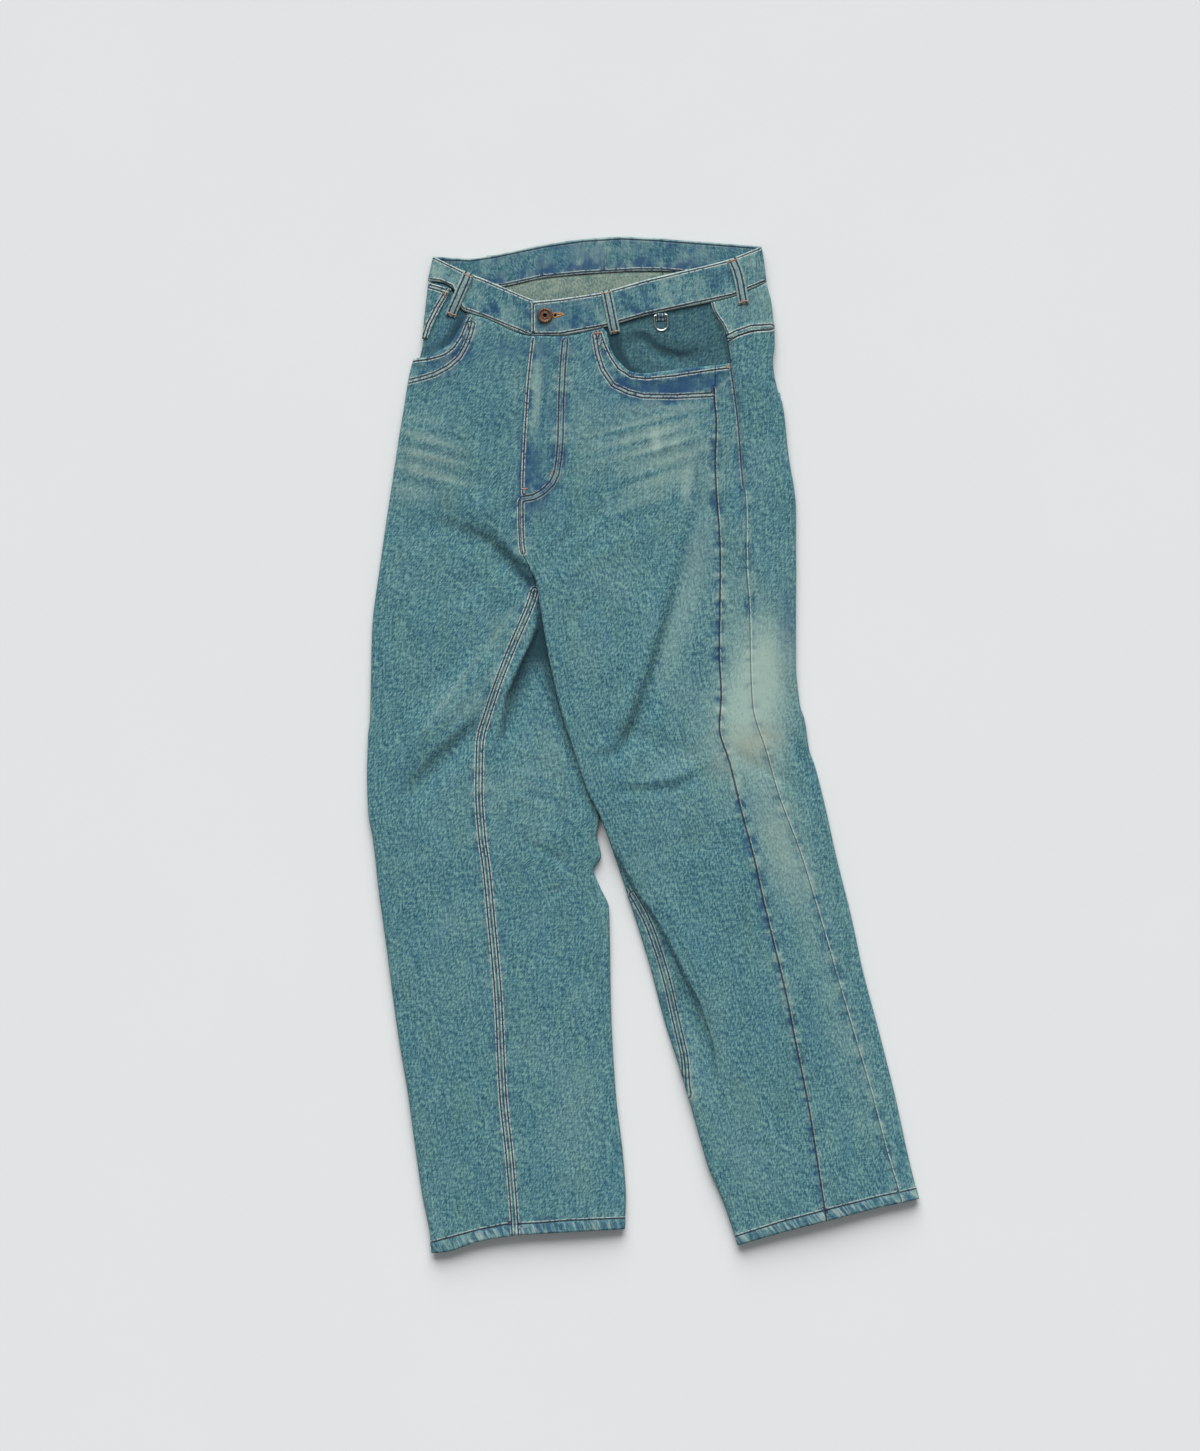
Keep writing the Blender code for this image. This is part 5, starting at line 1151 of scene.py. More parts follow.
@dataclass(frozen=True)
class PlainFinish:
    """A dull, slightly mottled surface, such as a shadowed hole or the floor."""

    name: str
    colour: tuple[float, ...]
    shade: tuple[float, ...]
    roughness: float
    grain: float

    def material(self) -> bpy.types.Material:
        """Mottled surface."""
        s = Shade(self.name)
        place = s.node("ShaderNodeTexCoord", {}, {}, "Object")
        patch = s.noise(place, (1, 1, 1), self.grain, 3.0)
        return s.dress(Base_Color=s.mix(self.colour, self.shade, patch), Roughness=self.roughness,
                       Specular_IOR_Level=0.2)


def blank(shape: tuple[int, ...], **values: Any) -> dict[str, Array]:
    """Every mark of a cloth piece, 0 unless given."""
    names = ("off", "half", "dark", "pale", "lean", "blot", "fade", "blue", "stain", "rope")
    return {name: values.get(name, 0.0) + np.zeros(shape) for name in names}


def put(name: str, data: Any) -> bpy.types.Object:
    """Put an object in the scene."""
    thing = bpy.data.objects.new(name, data)
    bpy.context.scene.collection.objects.link(thing)
    return thing


@dataclass(frozen=True)
class Cut:
    """Flat size of a cut piece, in metres and square metres."""

    width: float
    length: float
    area: float


@dataclass
class Tailor:
    """Turns laid-out grids into cloth with its marks, relief and wall."""

    lay: Lay
    wash: Wash
    creases: Creases
    lines: tuple[SewnLine, ...]
    hems: tuple[Table, ...]
    denim: bpy.types.Material
    inside: bpy.types.Material
    faces: dict[str, BVHTree] = field(default_factory=dict)
    hem_height: float = 11.0     # stitches over the hem's edge
    hem_rise: float = 0.9
    rope_pitch: float = 6.4
    blot_pitch: float = 11.0     # distance between the blue spots beside a seam

    def hem_marks(self, x: Array, y: Array) -> tuple[Array, Array]:
        """Roping of the hems: its share, and the height that it adds."""
        share, height = np.zeros(np.shape(x)), np.zeros(np.shape(x))
        for k, hem in enumerate(self.hems):
            off, walked, _ = walk(hem, x, y)
            far = np.abs(off)
            within = 1 - smooth((far - self.hem_height + 1) / 2.5)
            waves = ripple(walked + far * 0.9, far * 0.05, self.rope_pitch / 2, 11.0 + k)
            share = np.maximum(share, within)
            height = height + within * (self.hem_rise + 0.45 * waves * smooth(far / 3))
            height = height + 0.3 * waves * (1 - within) * (1 - smooth((far - self.hem_height) / 12))
        return share, height

    def line_marks(self, name: str, x: Array, y: Array, under: bool) -> dict[str, Array]:
        """Signed distance from the nearest sewn line of a piece, and how strong its marks are."""
        nearest = np.full(np.shape(x), np.inf)
        marks = blank(np.shape(x))
        for line in self.lines:
            if name not in line.nodes or line.under != under:
                continue
            off, walked, _ = walk(line.path, x, y)
            beyond = np.abs(off) - line.half
            closer = beyond < nearest
            nearest = np.where(closer, beyond, nearest)
            near = 1 - smooth((beyond - 3.5) / 2.5)
            values = {"off": off, "half": line.half, "dark": near * line.dark, "pale": near * line.pale,
                      "lean": line.lean}
            for key, value in values.items():
                marks[key] = np.where(closer, value, marks[key])
            nearby = bell(beyond, 2.6, 2.6) * (off * line.lean < 0.5)
            beat = np.sin(walked * 2 * math.pi / self.blot_pitch + 3 * ripple(walked, 0 * walked, 34, 12.0))
            marks["blot"] = np.maximum(marks["blot"], nearby * line.blot * smooth((beat - 0.15) / 0.5))
        return marks

    def relief(self, name: str, x: Array, y: Array, folds: Iterable[Table]) -> tuple[Array, Array, Array]:
        """Height of folds, seams and puckers on the top side, and the wear on each side's puckers."""
        height = self.creases.height(folds, x, y)
        worn = {False: np.zeros(np.shape(x)), True: np.zeros(np.shape(x))}
        for line in self.lines:
            if name in line.nodes:
                raised, waves = line.relief(x, y)
                worn[line.under] = worn[line.under] + line.wear * waves
                height = height if line.under else height + raised
        return height + self.hem_marks(x, y)[1], worn[False], worn[True]

    def cut_out(self, name: str, spread: Spread, folds: Iterable[Table], calm: Curve | None = None,
                plain: float = 0.0, deep_tone_and_painted_shade: Iterable[Table] = ()) -> tuple[Array, dict[str, Array]]:
        """Raise a piece's relief and work out its marks.

        Args:
            name: The piece's node.
            spread: Its laid-out face.
            folds: Soft folds on its top side.
            calm: Share of relief left at (x, y), where it must stay clear of a neighbour.
            plain: Extra blue all over the piece.
            deep_tone_and_painted_shade: Folds whose hollows get painted shade.

        Returns:
            Points with their relief, and the marks at each point.
        """
        points = spread.points
        normal = outward(points)
        x, y = points[..., 0], points[..., 1]
        up, down = faces_up(normal), faces_up(-normal)
        relief, worn, worn_under = self.relief(name, x, y, folds)
        relief = relief * up
        worn = worn * up + worn_under * down
        if calm is not None:
            relief = relief * calm(x, y)
        raised = points + normal * relief[..., None]
        marks = self.line_marks(name, x, y, False)
        hidden = self.line_marks(name, x, y, True)
        for key in marks:
            marks[key] = np.where(normal[..., 2] < 0, hidden[key], marks[key])
        for key in ("dark", "pale"):
            marks[key] = marks[key] * np.maximum(up, down)
        marks["rope"] = self.hem_marks(x, y)[0]
        # Painted shade: the hollows of the given folds are darkened towards the deep tone in place of the
        # wash.
        painted_shade_cover = np.clip(ridges(deep_tone_and_painted_shade, x, y), 0, 1)
        marks["fade"] = self.wash.fade(x, y) * up + 0.14 * ripple(x, y, 60, 8.8) * (1 - up)
        marks["fade"] = (marks["fade"] + worn) * (1 - painted_shade_cover) - painted_shade_cover * up
        marks["blue"] = self.wash.total(self.wash.blues, x, y) * up + plain + np.maximum(-worn, 0)
        marks["stain"] = self.wash.total(self.wash.stains, x, y) * up
        return raised, marks

    def sew(self, name: str, spread: Spread, points: Array, marks: dict[str, Array], cut: Cut,
            wall: float | None = None, rests_on: Sequence[str] = (), doubled: bool = False) -> None:
        """Make the piece's object in place of its solid.

        Args:
            name: Node that the piece stands for.
            spread: Its laid-out face, for the weave's direction.
            points: Its outer points, in millimetres.
            marks: Values at each point for the finish.
            cut: Its flat size.
            wall: Its thickness, in millimetres.
            rests_on: What it lies on; not used.
            doubled: Whether its inner side shows the denim's right side too.
        """
        rows, columns = points.shape[:2]
        grid = bmesh.new()
        bmesh.ops.create_grid(grid, x_segments=columns - 1, y_segments=rows - 1, size=1)
        mesh = bpy.data.meshes.new(f"{name}_cloth")
        grid.to_mesh(mesh)
        grid.free()
        flat = np.empty(len(mesh.vertices) * 3)
        mesh.vertices.foreach_get("co", flat)
        flat = flat.reshape(-1, 3)
        column = np.rint((flat[:, 0] + 1) / 2 * (columns - 1)).astype(int)
        row = np.rint((flat[:, 1] + 1) / 2 * (rows - 1)).astype(int)
        mesh.vertices.foreach_set("co", ((points[row, column] - MIDDLE) * MM).ravel())
        for key, values in marks.items():
            layer = mesh.attributes.new(key, "FLOAT", "POINT")
            layer.data.foreach_set("value", values[row, column].astype(np.float32))
        corner = np.empty(len(mesh.loops), dtype=np.int32)
        mesh.loops.foreach_get("vertex_index", corner)
        weave = np.stack([spread.runs[row, column], points[row, column, 1]], -1)[corner] * MM
        mesh.uv_layers.new(name="weave").data.foreach_set("uv", weave.astype(np.float32).ravel())
        mesh.polygons.foreach_set("use_smooth", np.ones(len(mesh.polygons), dtype=bool))
        mesh.update()
        mesh.materials.append(self.denim)
        mesh.materials.append(self.denim if doubled else self.inside)
        self.faces[name] = BVHTree.FromPolygons([tuple(v.co) for v in mesh.vertices],
                                                [tuple(p.vertices) for p in mesh.polygons])
        piece = put(f"{name}_cloth", mesh)
        solid = piece.modifiers.new("wall", "SOLIDIFY")
        solid.thickness = (self.lay.cloth if wall is None else wall) * MM
        solid.offset = -1
        solid.use_quality_normals = True
        solid.material_offset = 1
        solid.material_offset_rim = 0
        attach(piece, GARMENT)
        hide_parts(name)
        list(rests_on)
        faces = 4 * len(mesh.polygons)
        LOG.info("%s: %d x %d points, %d triangles, %.4f m2 of %.4f", name, rows, columns, faces,
                 sum(p.area for p in mesh.polygons), cut.area)


@dataclass(frozen=True)
class Panels:
    """The legs' panels: fronts, backs and side strips."""

    lay: Lay
    row_step: float = 2.4
    narrow: float = 12            # run of the narrow columns beside a seam
    strip_top: float = 424        # top of the right front's edge and of the right side strip
    back_top: float = 445.6       # top of the backs, at the yokes
    waist_columns: tuple[float, float] = (-129.1, -117.1)  # x of the right front's last columns at the waist
    outer_x: float = 141.2        # x at which the left back turns under
    outer_top: float = 457.4      # and its top there
    pocket_share_right: float = 0.42   # place of the column below the pocket's corner
    pocket_share_left: float = 0.36
    tuck_reach: float = 14        # how far the right front dips under the fly's edge
    tuck_ease: float = 12
    fly_foot: float = 245         # height below which it doesn't
    cut_front_right: Cut = Cut(0.27, 1.0, 0.173)
    cut_front_left: Cut = Cut(0.25, 1.0, 0.167)
    cut_side_right: Cut = Cut(0.09, 0.99, 0.0472)
    cut_side_left: Cut = Cut(0.09, 0.94, 0.0452)
    cut_back_right: Cut = Cut(0.36, 1.0, 0.228)
    cut_back_left: Cut = Cut(0.4, 1.0, 0.268)

    def levels(self, first: float) -> Array:
        """Heights of the sections from the first to the hem."""
        last = self.lay.hem_level
        return np.linspace(first, last, round((first - last) / self.row_step) + 1)

    def front_right(self) -> Spread:
        """Right front, from the design seam round the outer edge to the centre front and inseam."""
        lay, rim = self.lay, self.lay.left_rim()

        def seam(y: Any) -> Array:
            """Centre front, then inseam."""
            tucked = track(lay.centre_front, y) + track(lay.fly_tuck, y)
            leg = track(lay.right_inseam, y) - lay.seam / 2
            return rim.run(np.where(y > lay.front_crotch, tucked, leg), y)

        def pocket_end(y: Any) -> Array:
            """Column below the pocket's corner."""
            return rim.quarter(y) + self.pocket_share_right * (seam(y) - rim.quarter(y))

        def place(run: Any, y: Any) -> Array:
            """Point, tucked under the left front along the fly."""
            points = rim.place(run, y)
            past = points[..., 0] - track(lay.centre_front, y) + self.tuck_reach
            covered = smooth(past / self.tuck_ease) * smooth((y - self.fly_foot) / 16)
            points[..., 2] -= covered * lay.facing_depth
            return points

        guides = (rim.at(lay.right_design_seam, -lay.seam / 2, -1), rim.quarter_under, rim.quarter,
                  pocket_end, lambda y: seam(y) - self.narrow, seam)
        near, last = self.waist_columns
        heads = (level(self.strip_top, self.strip_top), level(self.strip_top, self.strip_top + 0.6),
                 along(lay.right_pocket, rim.run),
                 below(lay.right_front_foot, lay.right_pocket[-1][0], near, lay.head_gap, rim.run),
                 below(lay.right_front_foot, near, last, lay.head_gap, rim.run))
        return sections(lay, guides, (10, 8, 22, 26, 8), self.levels(lay.waist_level), heads,
                        lay.right_hem, place)

    def front_left(self) -> Spread:
        """Left front, from the centre front and inseam to the design seam."""
        lay, rim = self.lay, self.lay.front_left_rim()

        def inseam(y: Any) -> Array:
            """Centre front, then inseam."""
            return np.where(y > lay.front_crotch, rim.quarter(y), track(lay.left_inseam, y)) + lay.seam / 2

        def ledge(y: Any) -> Array:
            """Column on the ledge beside the inseam."""
            return inseam(y) + track(lay.ledge_share, y) * (track(lay.fold_foot, y) - inseam(y))

        def fold_top(y: Any) -> Array:
            """Top of the fold's edge."""
            return track(lay.fold_foot, y) + track(lay.fold_run, y)

        design_seam = rim.at(lay.left_design_seam, -lay.seam / 2)

        def pocket_start(y: Any) -> Array:
            """Column below the pocket's corner."""
            return fold_top(y) + self.pocket_share_left * (design_seam(y) - fold_top(y))

        guides = (inseam, lambda y: inseam(y) + lay.seam_run, ledge, lambda y: track(lay.fold_foot, y),
                  fold_top, pocket_start, lambda y: design_seam(y) - self.narrow, design_seam)
        waist = lay.left_front_foot[0][1] - lay.seam
        mouth = as_path(lay.left_pocket, swap=False, step=4)
        split = -1 - round(self.narrow / 4)
        heads = (*(level(waist, waist),) * 4,
                 below(lay.left_front_foot, -108.8, lay.left_pocket[0][0], lay.head_gap, rim.run),
                 along(mouth[:split + 1], rim.run), along(mouth[split:], rim.run))
        return sections(lay, guides, (1, 4, 4, 8, 24, 42, 8), self.levels(lay.waist_level), heads,
                        lay.left_hem, rim.place)

    def side_left(self) -> Spread:
        """Left side strip."""
        lay, rim = self.lay, self.lay.front_left_rim()
        guides = (rim.at(lay.left_design_seam, lay.seam / 2), rim.at(lay.left_outseam, -lay.seam / 2))
        return sections(lay, guides, (28,), self.levels(418), (level(417.6, 420),), lay.left_hem, rim.place)

    def side_right(self) -> Spread:
        """Right side strip, on the underside."""
        lay, rim = self.lay, self.lay.left_rim()
        guides = (rim.at(lay.right_outseam, -lay.seam / 2, -1),
                  rim.at(lay.right_design_seam, lay.seam / 2, -1))
        heads = (level(self.strip_top, self.strip_top),)
        return sections(lay, guides, (10,), self.levels(self.strip_top), heads, lay.right_hem, rim.place)

    def back_left(self) -> Spread:
        """Left back, from the outseam round the outer edge and along the underside to the inseam."""
        lay, outer, inner = self.lay, self.lay.right_rim(), self.lay.back_left_rim()

        def inner_start(y: Any) -> Array:
            """Run at which the inner edge's roll starts."""
            return outer.run(inner.edge(y) + inner.radius(y), y)

        def place(run: Any, y: Any) -> Array:
            """Point, on the inner roll past its start."""
            past = run - inner_start(y)
            on_inner = inner.place(np.maximum(past, 0) - inner.quarter(y), y)
            return np.where((past > 0)[..., None], on_inner, outer.place(-run, y))

        outseam = outer.at(lay.left_outseam, lay.seam / 2, -1)

        def inseam(y: Any) -> Array:
            """Edge along the inseam."""
            last = np.where(y > 181, -inner.quarter(y), track(lay.left_inseam, y))
            return inner_start(y) + inner.quarter(y) + last - track(lay.inseam_gap, y)

        def turn_start(y: Any) -> Array:
            """Start of the inner roll's columns."""
            return np.minimum(inner_start(y), inseam(y) - 4.5)

        def turn_end(y: Any) -> Array:
            """End of the inner roll's columns."""
            return np.minimum(inner_start(y) + 2 * inner.quarter(y), inseam(y) - 1.2)

        guides = (outseam, lambda y: outseam(y) + 10, outer.quarter_under, outer.quarter,
                  turn_start, turn_end, lambda y: inseam(y) - lay.seam_run, inseam)
        start, gap = float(track(lay.left_outseam, 445)) + lay.seam / 2, lay.head_gap

        def on_top(x: Any, y: Any) -> Array:
            """Run of a place on the top side."""
            return -outer.run(x, y)

        heads = (below(lay.yoke_seam_top, start, start + 10, gap, on_top),
                 below(lay.yoke_seam_top, start + 10, self.outer_x, gap, on_top),
                 level(self.outer_top, self.outer_top),
                 below(lay.yoke_seam_back, self.outer_x, 22, gap, outer.run),
                 *(level(self.back_top, self.back_top),) * 3)
        return sections(lay, guides, (6, 16, 10, 26, 8, 5, 1), self.levels(lay.waist_level), heads,
                        lay.left_hem, place)

    def back_right(self) -> Spread:
        """Right back, from the inseam round the inner edge and along the underside to the outseam."""
        lay, rim = self.lay, self.lay.right_inner_rim()
        inseam = rim.at(lay.right_inseam, lay.seam / 2, -1)

        def into_leg(y: Any) -> Array:
            """0 at the seat and 1 along the leg."""
            return smooth((200 - y) / 18)

        def turn_start(y: Any) -> Array:
            """Start of the inner roll's columns."""
            turn = rim.quarter(y) + 8 - (2 * rim.quarter(y) + 8) * into_leg(y)
            return np.maximum(turn, seam(y) + 3)

        def seam(y: Any) -> Array:
            """Centre back, then inseam."""
            seat = rim.quarter(y) + lay.seam
            return seat + (inseam(y) - seat) * track(lay.crotch_turn, y)

        def flap(y: Any) -> Array:
            """Column beside the inseam."""
            return seam(y) + track(lay.flap_share, y) * (turn_start(y) - seam(y))

        def turn_end(y: Any) -> Array:
            """End of the inner roll's columns."""
            return rim.quarter(y) + 16 - 16 * into_leg(y)

        guides = (seam, flap, turn_start, turn_end, rim.at(lay.right_outseam, lay.seam / 2))
        heads = (*(level(self.back_top, self.back_top),) * 2, level(self.back_top, self.back_top + 0.2),
                 below(lay.yoke_seam_back, 2, -146.5, lay.head_gap, rim.run))
        return sections(lay, guides, (12, 38, 10, 14), self.levels(lay.waist_level), heads,
                        lay.right_hem, lambda run, y: rim.place(-run, y))

    def crotch_calm(self, x: Array, y: Array) -> Array:
        """Keep relief off the right leg where the left one lies on it."""
        return 1 - smooth((x - track(self.lay.left_leg_inner, y) + 10) / 8) * (1 - smooth((-60 - y) / 30))

    def build(self, tailor: Tailor) -> None:
        """Make the six panels."""
        creases = tailor.creases
        right, left = (creases.right, creases.painted_shade_right), (creases.left, creases.painted_shade_left)
        # Name, folds, share of relief and what it lies on.
        jobs = (("front_right", right, None, ["back_right", "side_right"]),
                ("back_right", right, self.crotch_calm, ["front_right"]),
                ("side_right", ((), ()), None, []),
                ("front_left", left, None, ["back_left", "front_right"]),
                ("side_left", left, None, ["back_left"]),
                ("back_left", left, None, ["back_right"]))
        for name, (folds, deep_tone_and_painted_shade), calm, under in jobs:
            spread = getattr(self, name)()
            points, marks = tailor.cut_out(name, spread, folds, calm, deep_tone_and_painted_shade=deep_tone_and_painted_shade)
            tailor.sew(name, spread, points, marks, getattr(self, f"cut_{name}"), rests_on=under)


@dataclass(frozen=True)
class UpperPieces:
    """Yokes, pocket facings, coin pocket and back pockets."""

    lay: Lay
    # Painted shade on the facings, under the waistband and the openings' edges: rows of (x, y, share, width
    # left, width right).
    painted_shade_left: tuple[Table, ...] = (
        ((-36, 455, 0.6, 10, 8), (-33, 440, 0.9, 13, 8), (-26, 424, 0.9, 13, 8), (-14, 412, 0.6, 10, 8),
         (4, 405, 0.3, 6, 8), (40, 407, 0.2, 5, 8), (80, 414, 0.2, 5, 8)),
        ((-24, 446, 0.3, 12, 14), (2, 452, 0.36, 7, 12), (17, 439, 0.45, 7, 9), (42, 431, 0.45, 7, 8),
         (62, 435, 0.2, 7, 8), (78, 440, 0, 6, 8)),
        ((-40, 459, 0.6, 3, 6), (4.4, 470, 0.4, 3, 5), (60, 482, 0.4, 3, 5), (98, 491, 0.5, 3, 5)),
        ((80, 478, 0, 5, 5), (86, 450, 0.25, 6, 5), (96, 424, 0.3, 6, 5)),
    )
    painted_shade_right: tuple[Table, ...] = (
        ((-196, 474, 0.7, 8, 8), (-203, 459, 0.9, 8, 11), (-211, 446, 0.8, 8, 11), (-223, 438, 0.5, 8, 9),
         (-246, 431, 0.3, 8, 7)),
        ((-236, 507, 0, 4, 4), (-212, 500, 0.12, 4, 5), (-203, 480, 0.3, 4, 5)),
    )
    # The fold that the left facing makes, low enough to stay under the front.
    facing_folds: tuple[Table, ...] = (
        ((-20, 452, 0, 8, 10), (2, 446, -1.6, 9, 12), (18, 430, -2.6, 10, 12), (44, 423, -2.4, 10, 12),
         (74, 430, 0, 10, 10)),
        ((-8, 462, 0, 6, 8), (16, 452, 0.9, 8, 8), (44, 444, 0.9, 10, 8), (84, 452, 0, 8, 8)),
    )
    yoke_top: float = 506.6       # tops and feet of the pieces round the outer edges
    yoke_foot: float = 458
    facing_top: float = 508.2
    facing_foot: float = 414
    coin_top: float = 508.6
    coin_foot: float = 447
    coin_wrap: float = -40        # run at which the coin pocket ends on the underside
    facing_end: float = -187      # x of the right facing's end, under the front
    facing_start: float = -42     # x of the left facing's start, under the front
    pocket_steps: tuple[int, int] = (41, 45)   # points across and up a back pocket
    pocket_width: float = 130
    cut_yoke_left: Cut = Cut(0.2, 0.07, 0.0109)
    cut_yoke_right: Cut = Cut(0.17, 0.07, 0.0113)
    cut_facing_right: Cut = Cut(0.16, 0.1, 0.012)
    cut_facing_left: Cut = Cut(0.13, 0.1, 0.0094)
    cut_coin: Cut = Cut(0.09, 0.07, 0.0037)
    cut_back_pocket: Cut = Cut(0.135, 0.14, 0.016)

    def yoke_left(self) -> Spread:
        """Left yoke, from the outseam round the outer edge to the centre back."""
        lay, rim = self.lay, self.lay.right_rim()
        pieces = ((rim.at(lay.left_outseam, lay.seam / 2, -1), rim.quarter_under,
                   edge_at(lay.left_front_foot, -lay.head_gap), edge_at(lay.yoke_seam_top), 24),
                  (rim.quarter_under, rim.quarter, lambda x: self.yoke_top, lambda x: self.yoke_foot, 10),
                  (rim.quarter, rim.at(lay.centre_back, lay.seam), edge_at(lay.back_foot, -lay.head_gap),
                   edge_at(lay.yoke_seam_back), 26))
        return strips(pieces, 20, lambda run, y: rim.place(-run, y))

    def yoke_right(self) -> Spread:
        """Right yoke, on the underside."""
        lay, rim = self.lay, self.lay.left_rim()
        pieces = ((rim.at(lay.centre_back, -lay.seam / 2, -1), rim.at(lay.right_outseam, lay.seam / 2, -1),
                   edge_at(lay.back_foot, -lay.head_gap), edge_at(lay.yoke_seam_back), 36),)
        return strips(pieces, 16, rim.place)

    def facing_right(self) -> Spread:
        """Facing in the right pocket opening, from the side seam round the edge to under the front."""
        lay = self.lay
        rim = Rim(lambda y: track(lay.right_facing_edge, y), lambda y: lay.outer_radius - 1 + 0 * y, 1,
                  lambda x, y: lay.right_top(x, y) - lay.facing_depth, lay.facing_bottom)

        def under_band(x: Any) -> float:
            """Top edge, clear of the waistband."""
            return min(track(lay.right_front_foot, x + step) for step in (-2, 2)) - lay.head_gap

        pieces = ((rim.at(lay.right_outseam, -lay.seam, -1), rim.quarter_under,
                   edge_at(lay.back_foot, -lay.head_gap), lambda x: self.facing_foot, 10),
                  (rim.quarter_under, rim.quarter, lambda x: self.facing_top, lambda x: self.facing_foot, 8),
                  (rim.quarter, lambda y: rim.run(self.facing_end, y), under_band,
                   edge_at(lay.right_facing_foot), 24))
        return strips(pieces, 36, rim.place)

    def facing_left(self) -> Spread:
        """Facing in the left pocket opening, with the soft fold across it."""
        lay = self.lay

        def place(x: Any, y: Any) -> Array:
            """Point under the front."""
            x = x + 0 * y
            return np.stack([x, y, lay.left_top(x, y) - lay.facing_depth], -1)

        pieces = ((lambda y: self.facing_start, lambda y: track(lay.left_outseam, y) - lay.seam / 2,
                   edge_at(lay.left_front_foot, -lay.head_gap), edge_at(lay.left_facing_foot), 62),)
        return strips(pieces, 40, place)

    def coin_pocket(self) -> Spread:
        """Coin pocket on the right facing, wrapped round the outer edge."""
        lay = self.lay
        rim = Rim(lambda y: track(lay.left_edge, y) + 0.2, lambda y: lay.outer_radius + 0 * y, 1,
                  lambda x, y: lay.right_top(x, y) - 0.1, lambda x, y: lay.facing_bottom(x, y) - lay.under)
        high, low = (lambda x: self.coin_top), (lambda x: self.coin_foot)
        pieces = ((lambda y: self.coin_wrap, rim.quarter_under, high, low, 10),
                  (rim.quarter_under, rim.quarter, high, low, 8),
                  (rim.quarter, rim.at(lay.coin_side), edge_at(lay.coin_top), low, 12))
        return strips(pieces, 28, rim.place)

    def back_pocket(self, corners: Table) -> Spread:
        """Patch pocket on the underside, from its five corners (x, y)."""
        top_left, top_right, foot_right, point, foot_left = (np.array(corner, float) for corner in corners)
        across, up = self.pocket_steps
        rise = np.linspace(0, 1, up)[:, None]
        columns, runs = [], []
        for share in np.linspace(1, 0, across):
            top = top_left * (1 - share) + top_right * share
            if share > 0.5:
                foot = point + (foot_right - point) * (2 * share - 1)
            else:
                foot = foot_left + (point - foot_left) * 2 * share
            columns.append(np.concatenate([foot + (top - foot) * rise, 0 * rise], 1))
            runs.append(np.full(up, share * self.pocket_width))
        return Spread(np.stack(columns, 1), np.stack(runs, 1))

    def build(self, tailor: Tailor) -> None:
        """Make the upper pieces."""
        def low(x: Array, y: Array) -> Array:
            """Little relief on the covered pieces."""
            return 0.25 + 0 * x

        lay = self.lay
        pocket = self.cut_back_pocket
        # Name, face, cut, share of relief, blue, fade (below 0 on the facings it is painted shade), folds
        # with painted shade, and what it lies on.
        jobs = (("yoke_left", self.yoke_left(), self.cut_yoke_left, None, 0.0, 0.2, (), "back_left"),
                ("yoke_right", self.yoke_right(), self.cut_yoke_right, None, 0.1, 0.1, (), ""),
                ("pocket_facing_right", self.facing_right(), self.cut_facing_right, low, 0.1, -0.18,
                 self.painted_shade_right, "yoke_right"),
                ("pocket_facing_left", self.facing_left(), self.cut_facing_left, low, 0.0, -0.5,
                 self.painted_shade_left, "yoke_left"),
                ("coin_pocket", self.coin_pocket(), self.cut_coin, low, 0.0, 0.0, (), "pocket_facing_right"),
                ("back_pocket_right", self.back_pocket(lay.right_back_pocket), pocket, None, 0.1, 0.0, (),
                 "back_right"),
                ("back_pocket_left", self.back_pocket(lay.left_back_pocket), pocket, None, 0.1, 0.0, (),
                 "back_left"))
        for name, spread, cut, calm, plain, fade_and_painted_shade, deep_tone_and_painted_shade, under in jobs:
            points, marks = tailor.cut_out(name, spread, (), calm, plain, deep_tone_and_painted_shade)
            if name == "pocket_facing_left":
                points[..., 2] += ridges(self.facing_folds, points[..., 0], points[..., 1])
            marks["fade"] = marks["fade"] + fade_and_painted_shade
            tailor.sew(name, spread, points, marks, cut, rests_on=[under] if under else [])


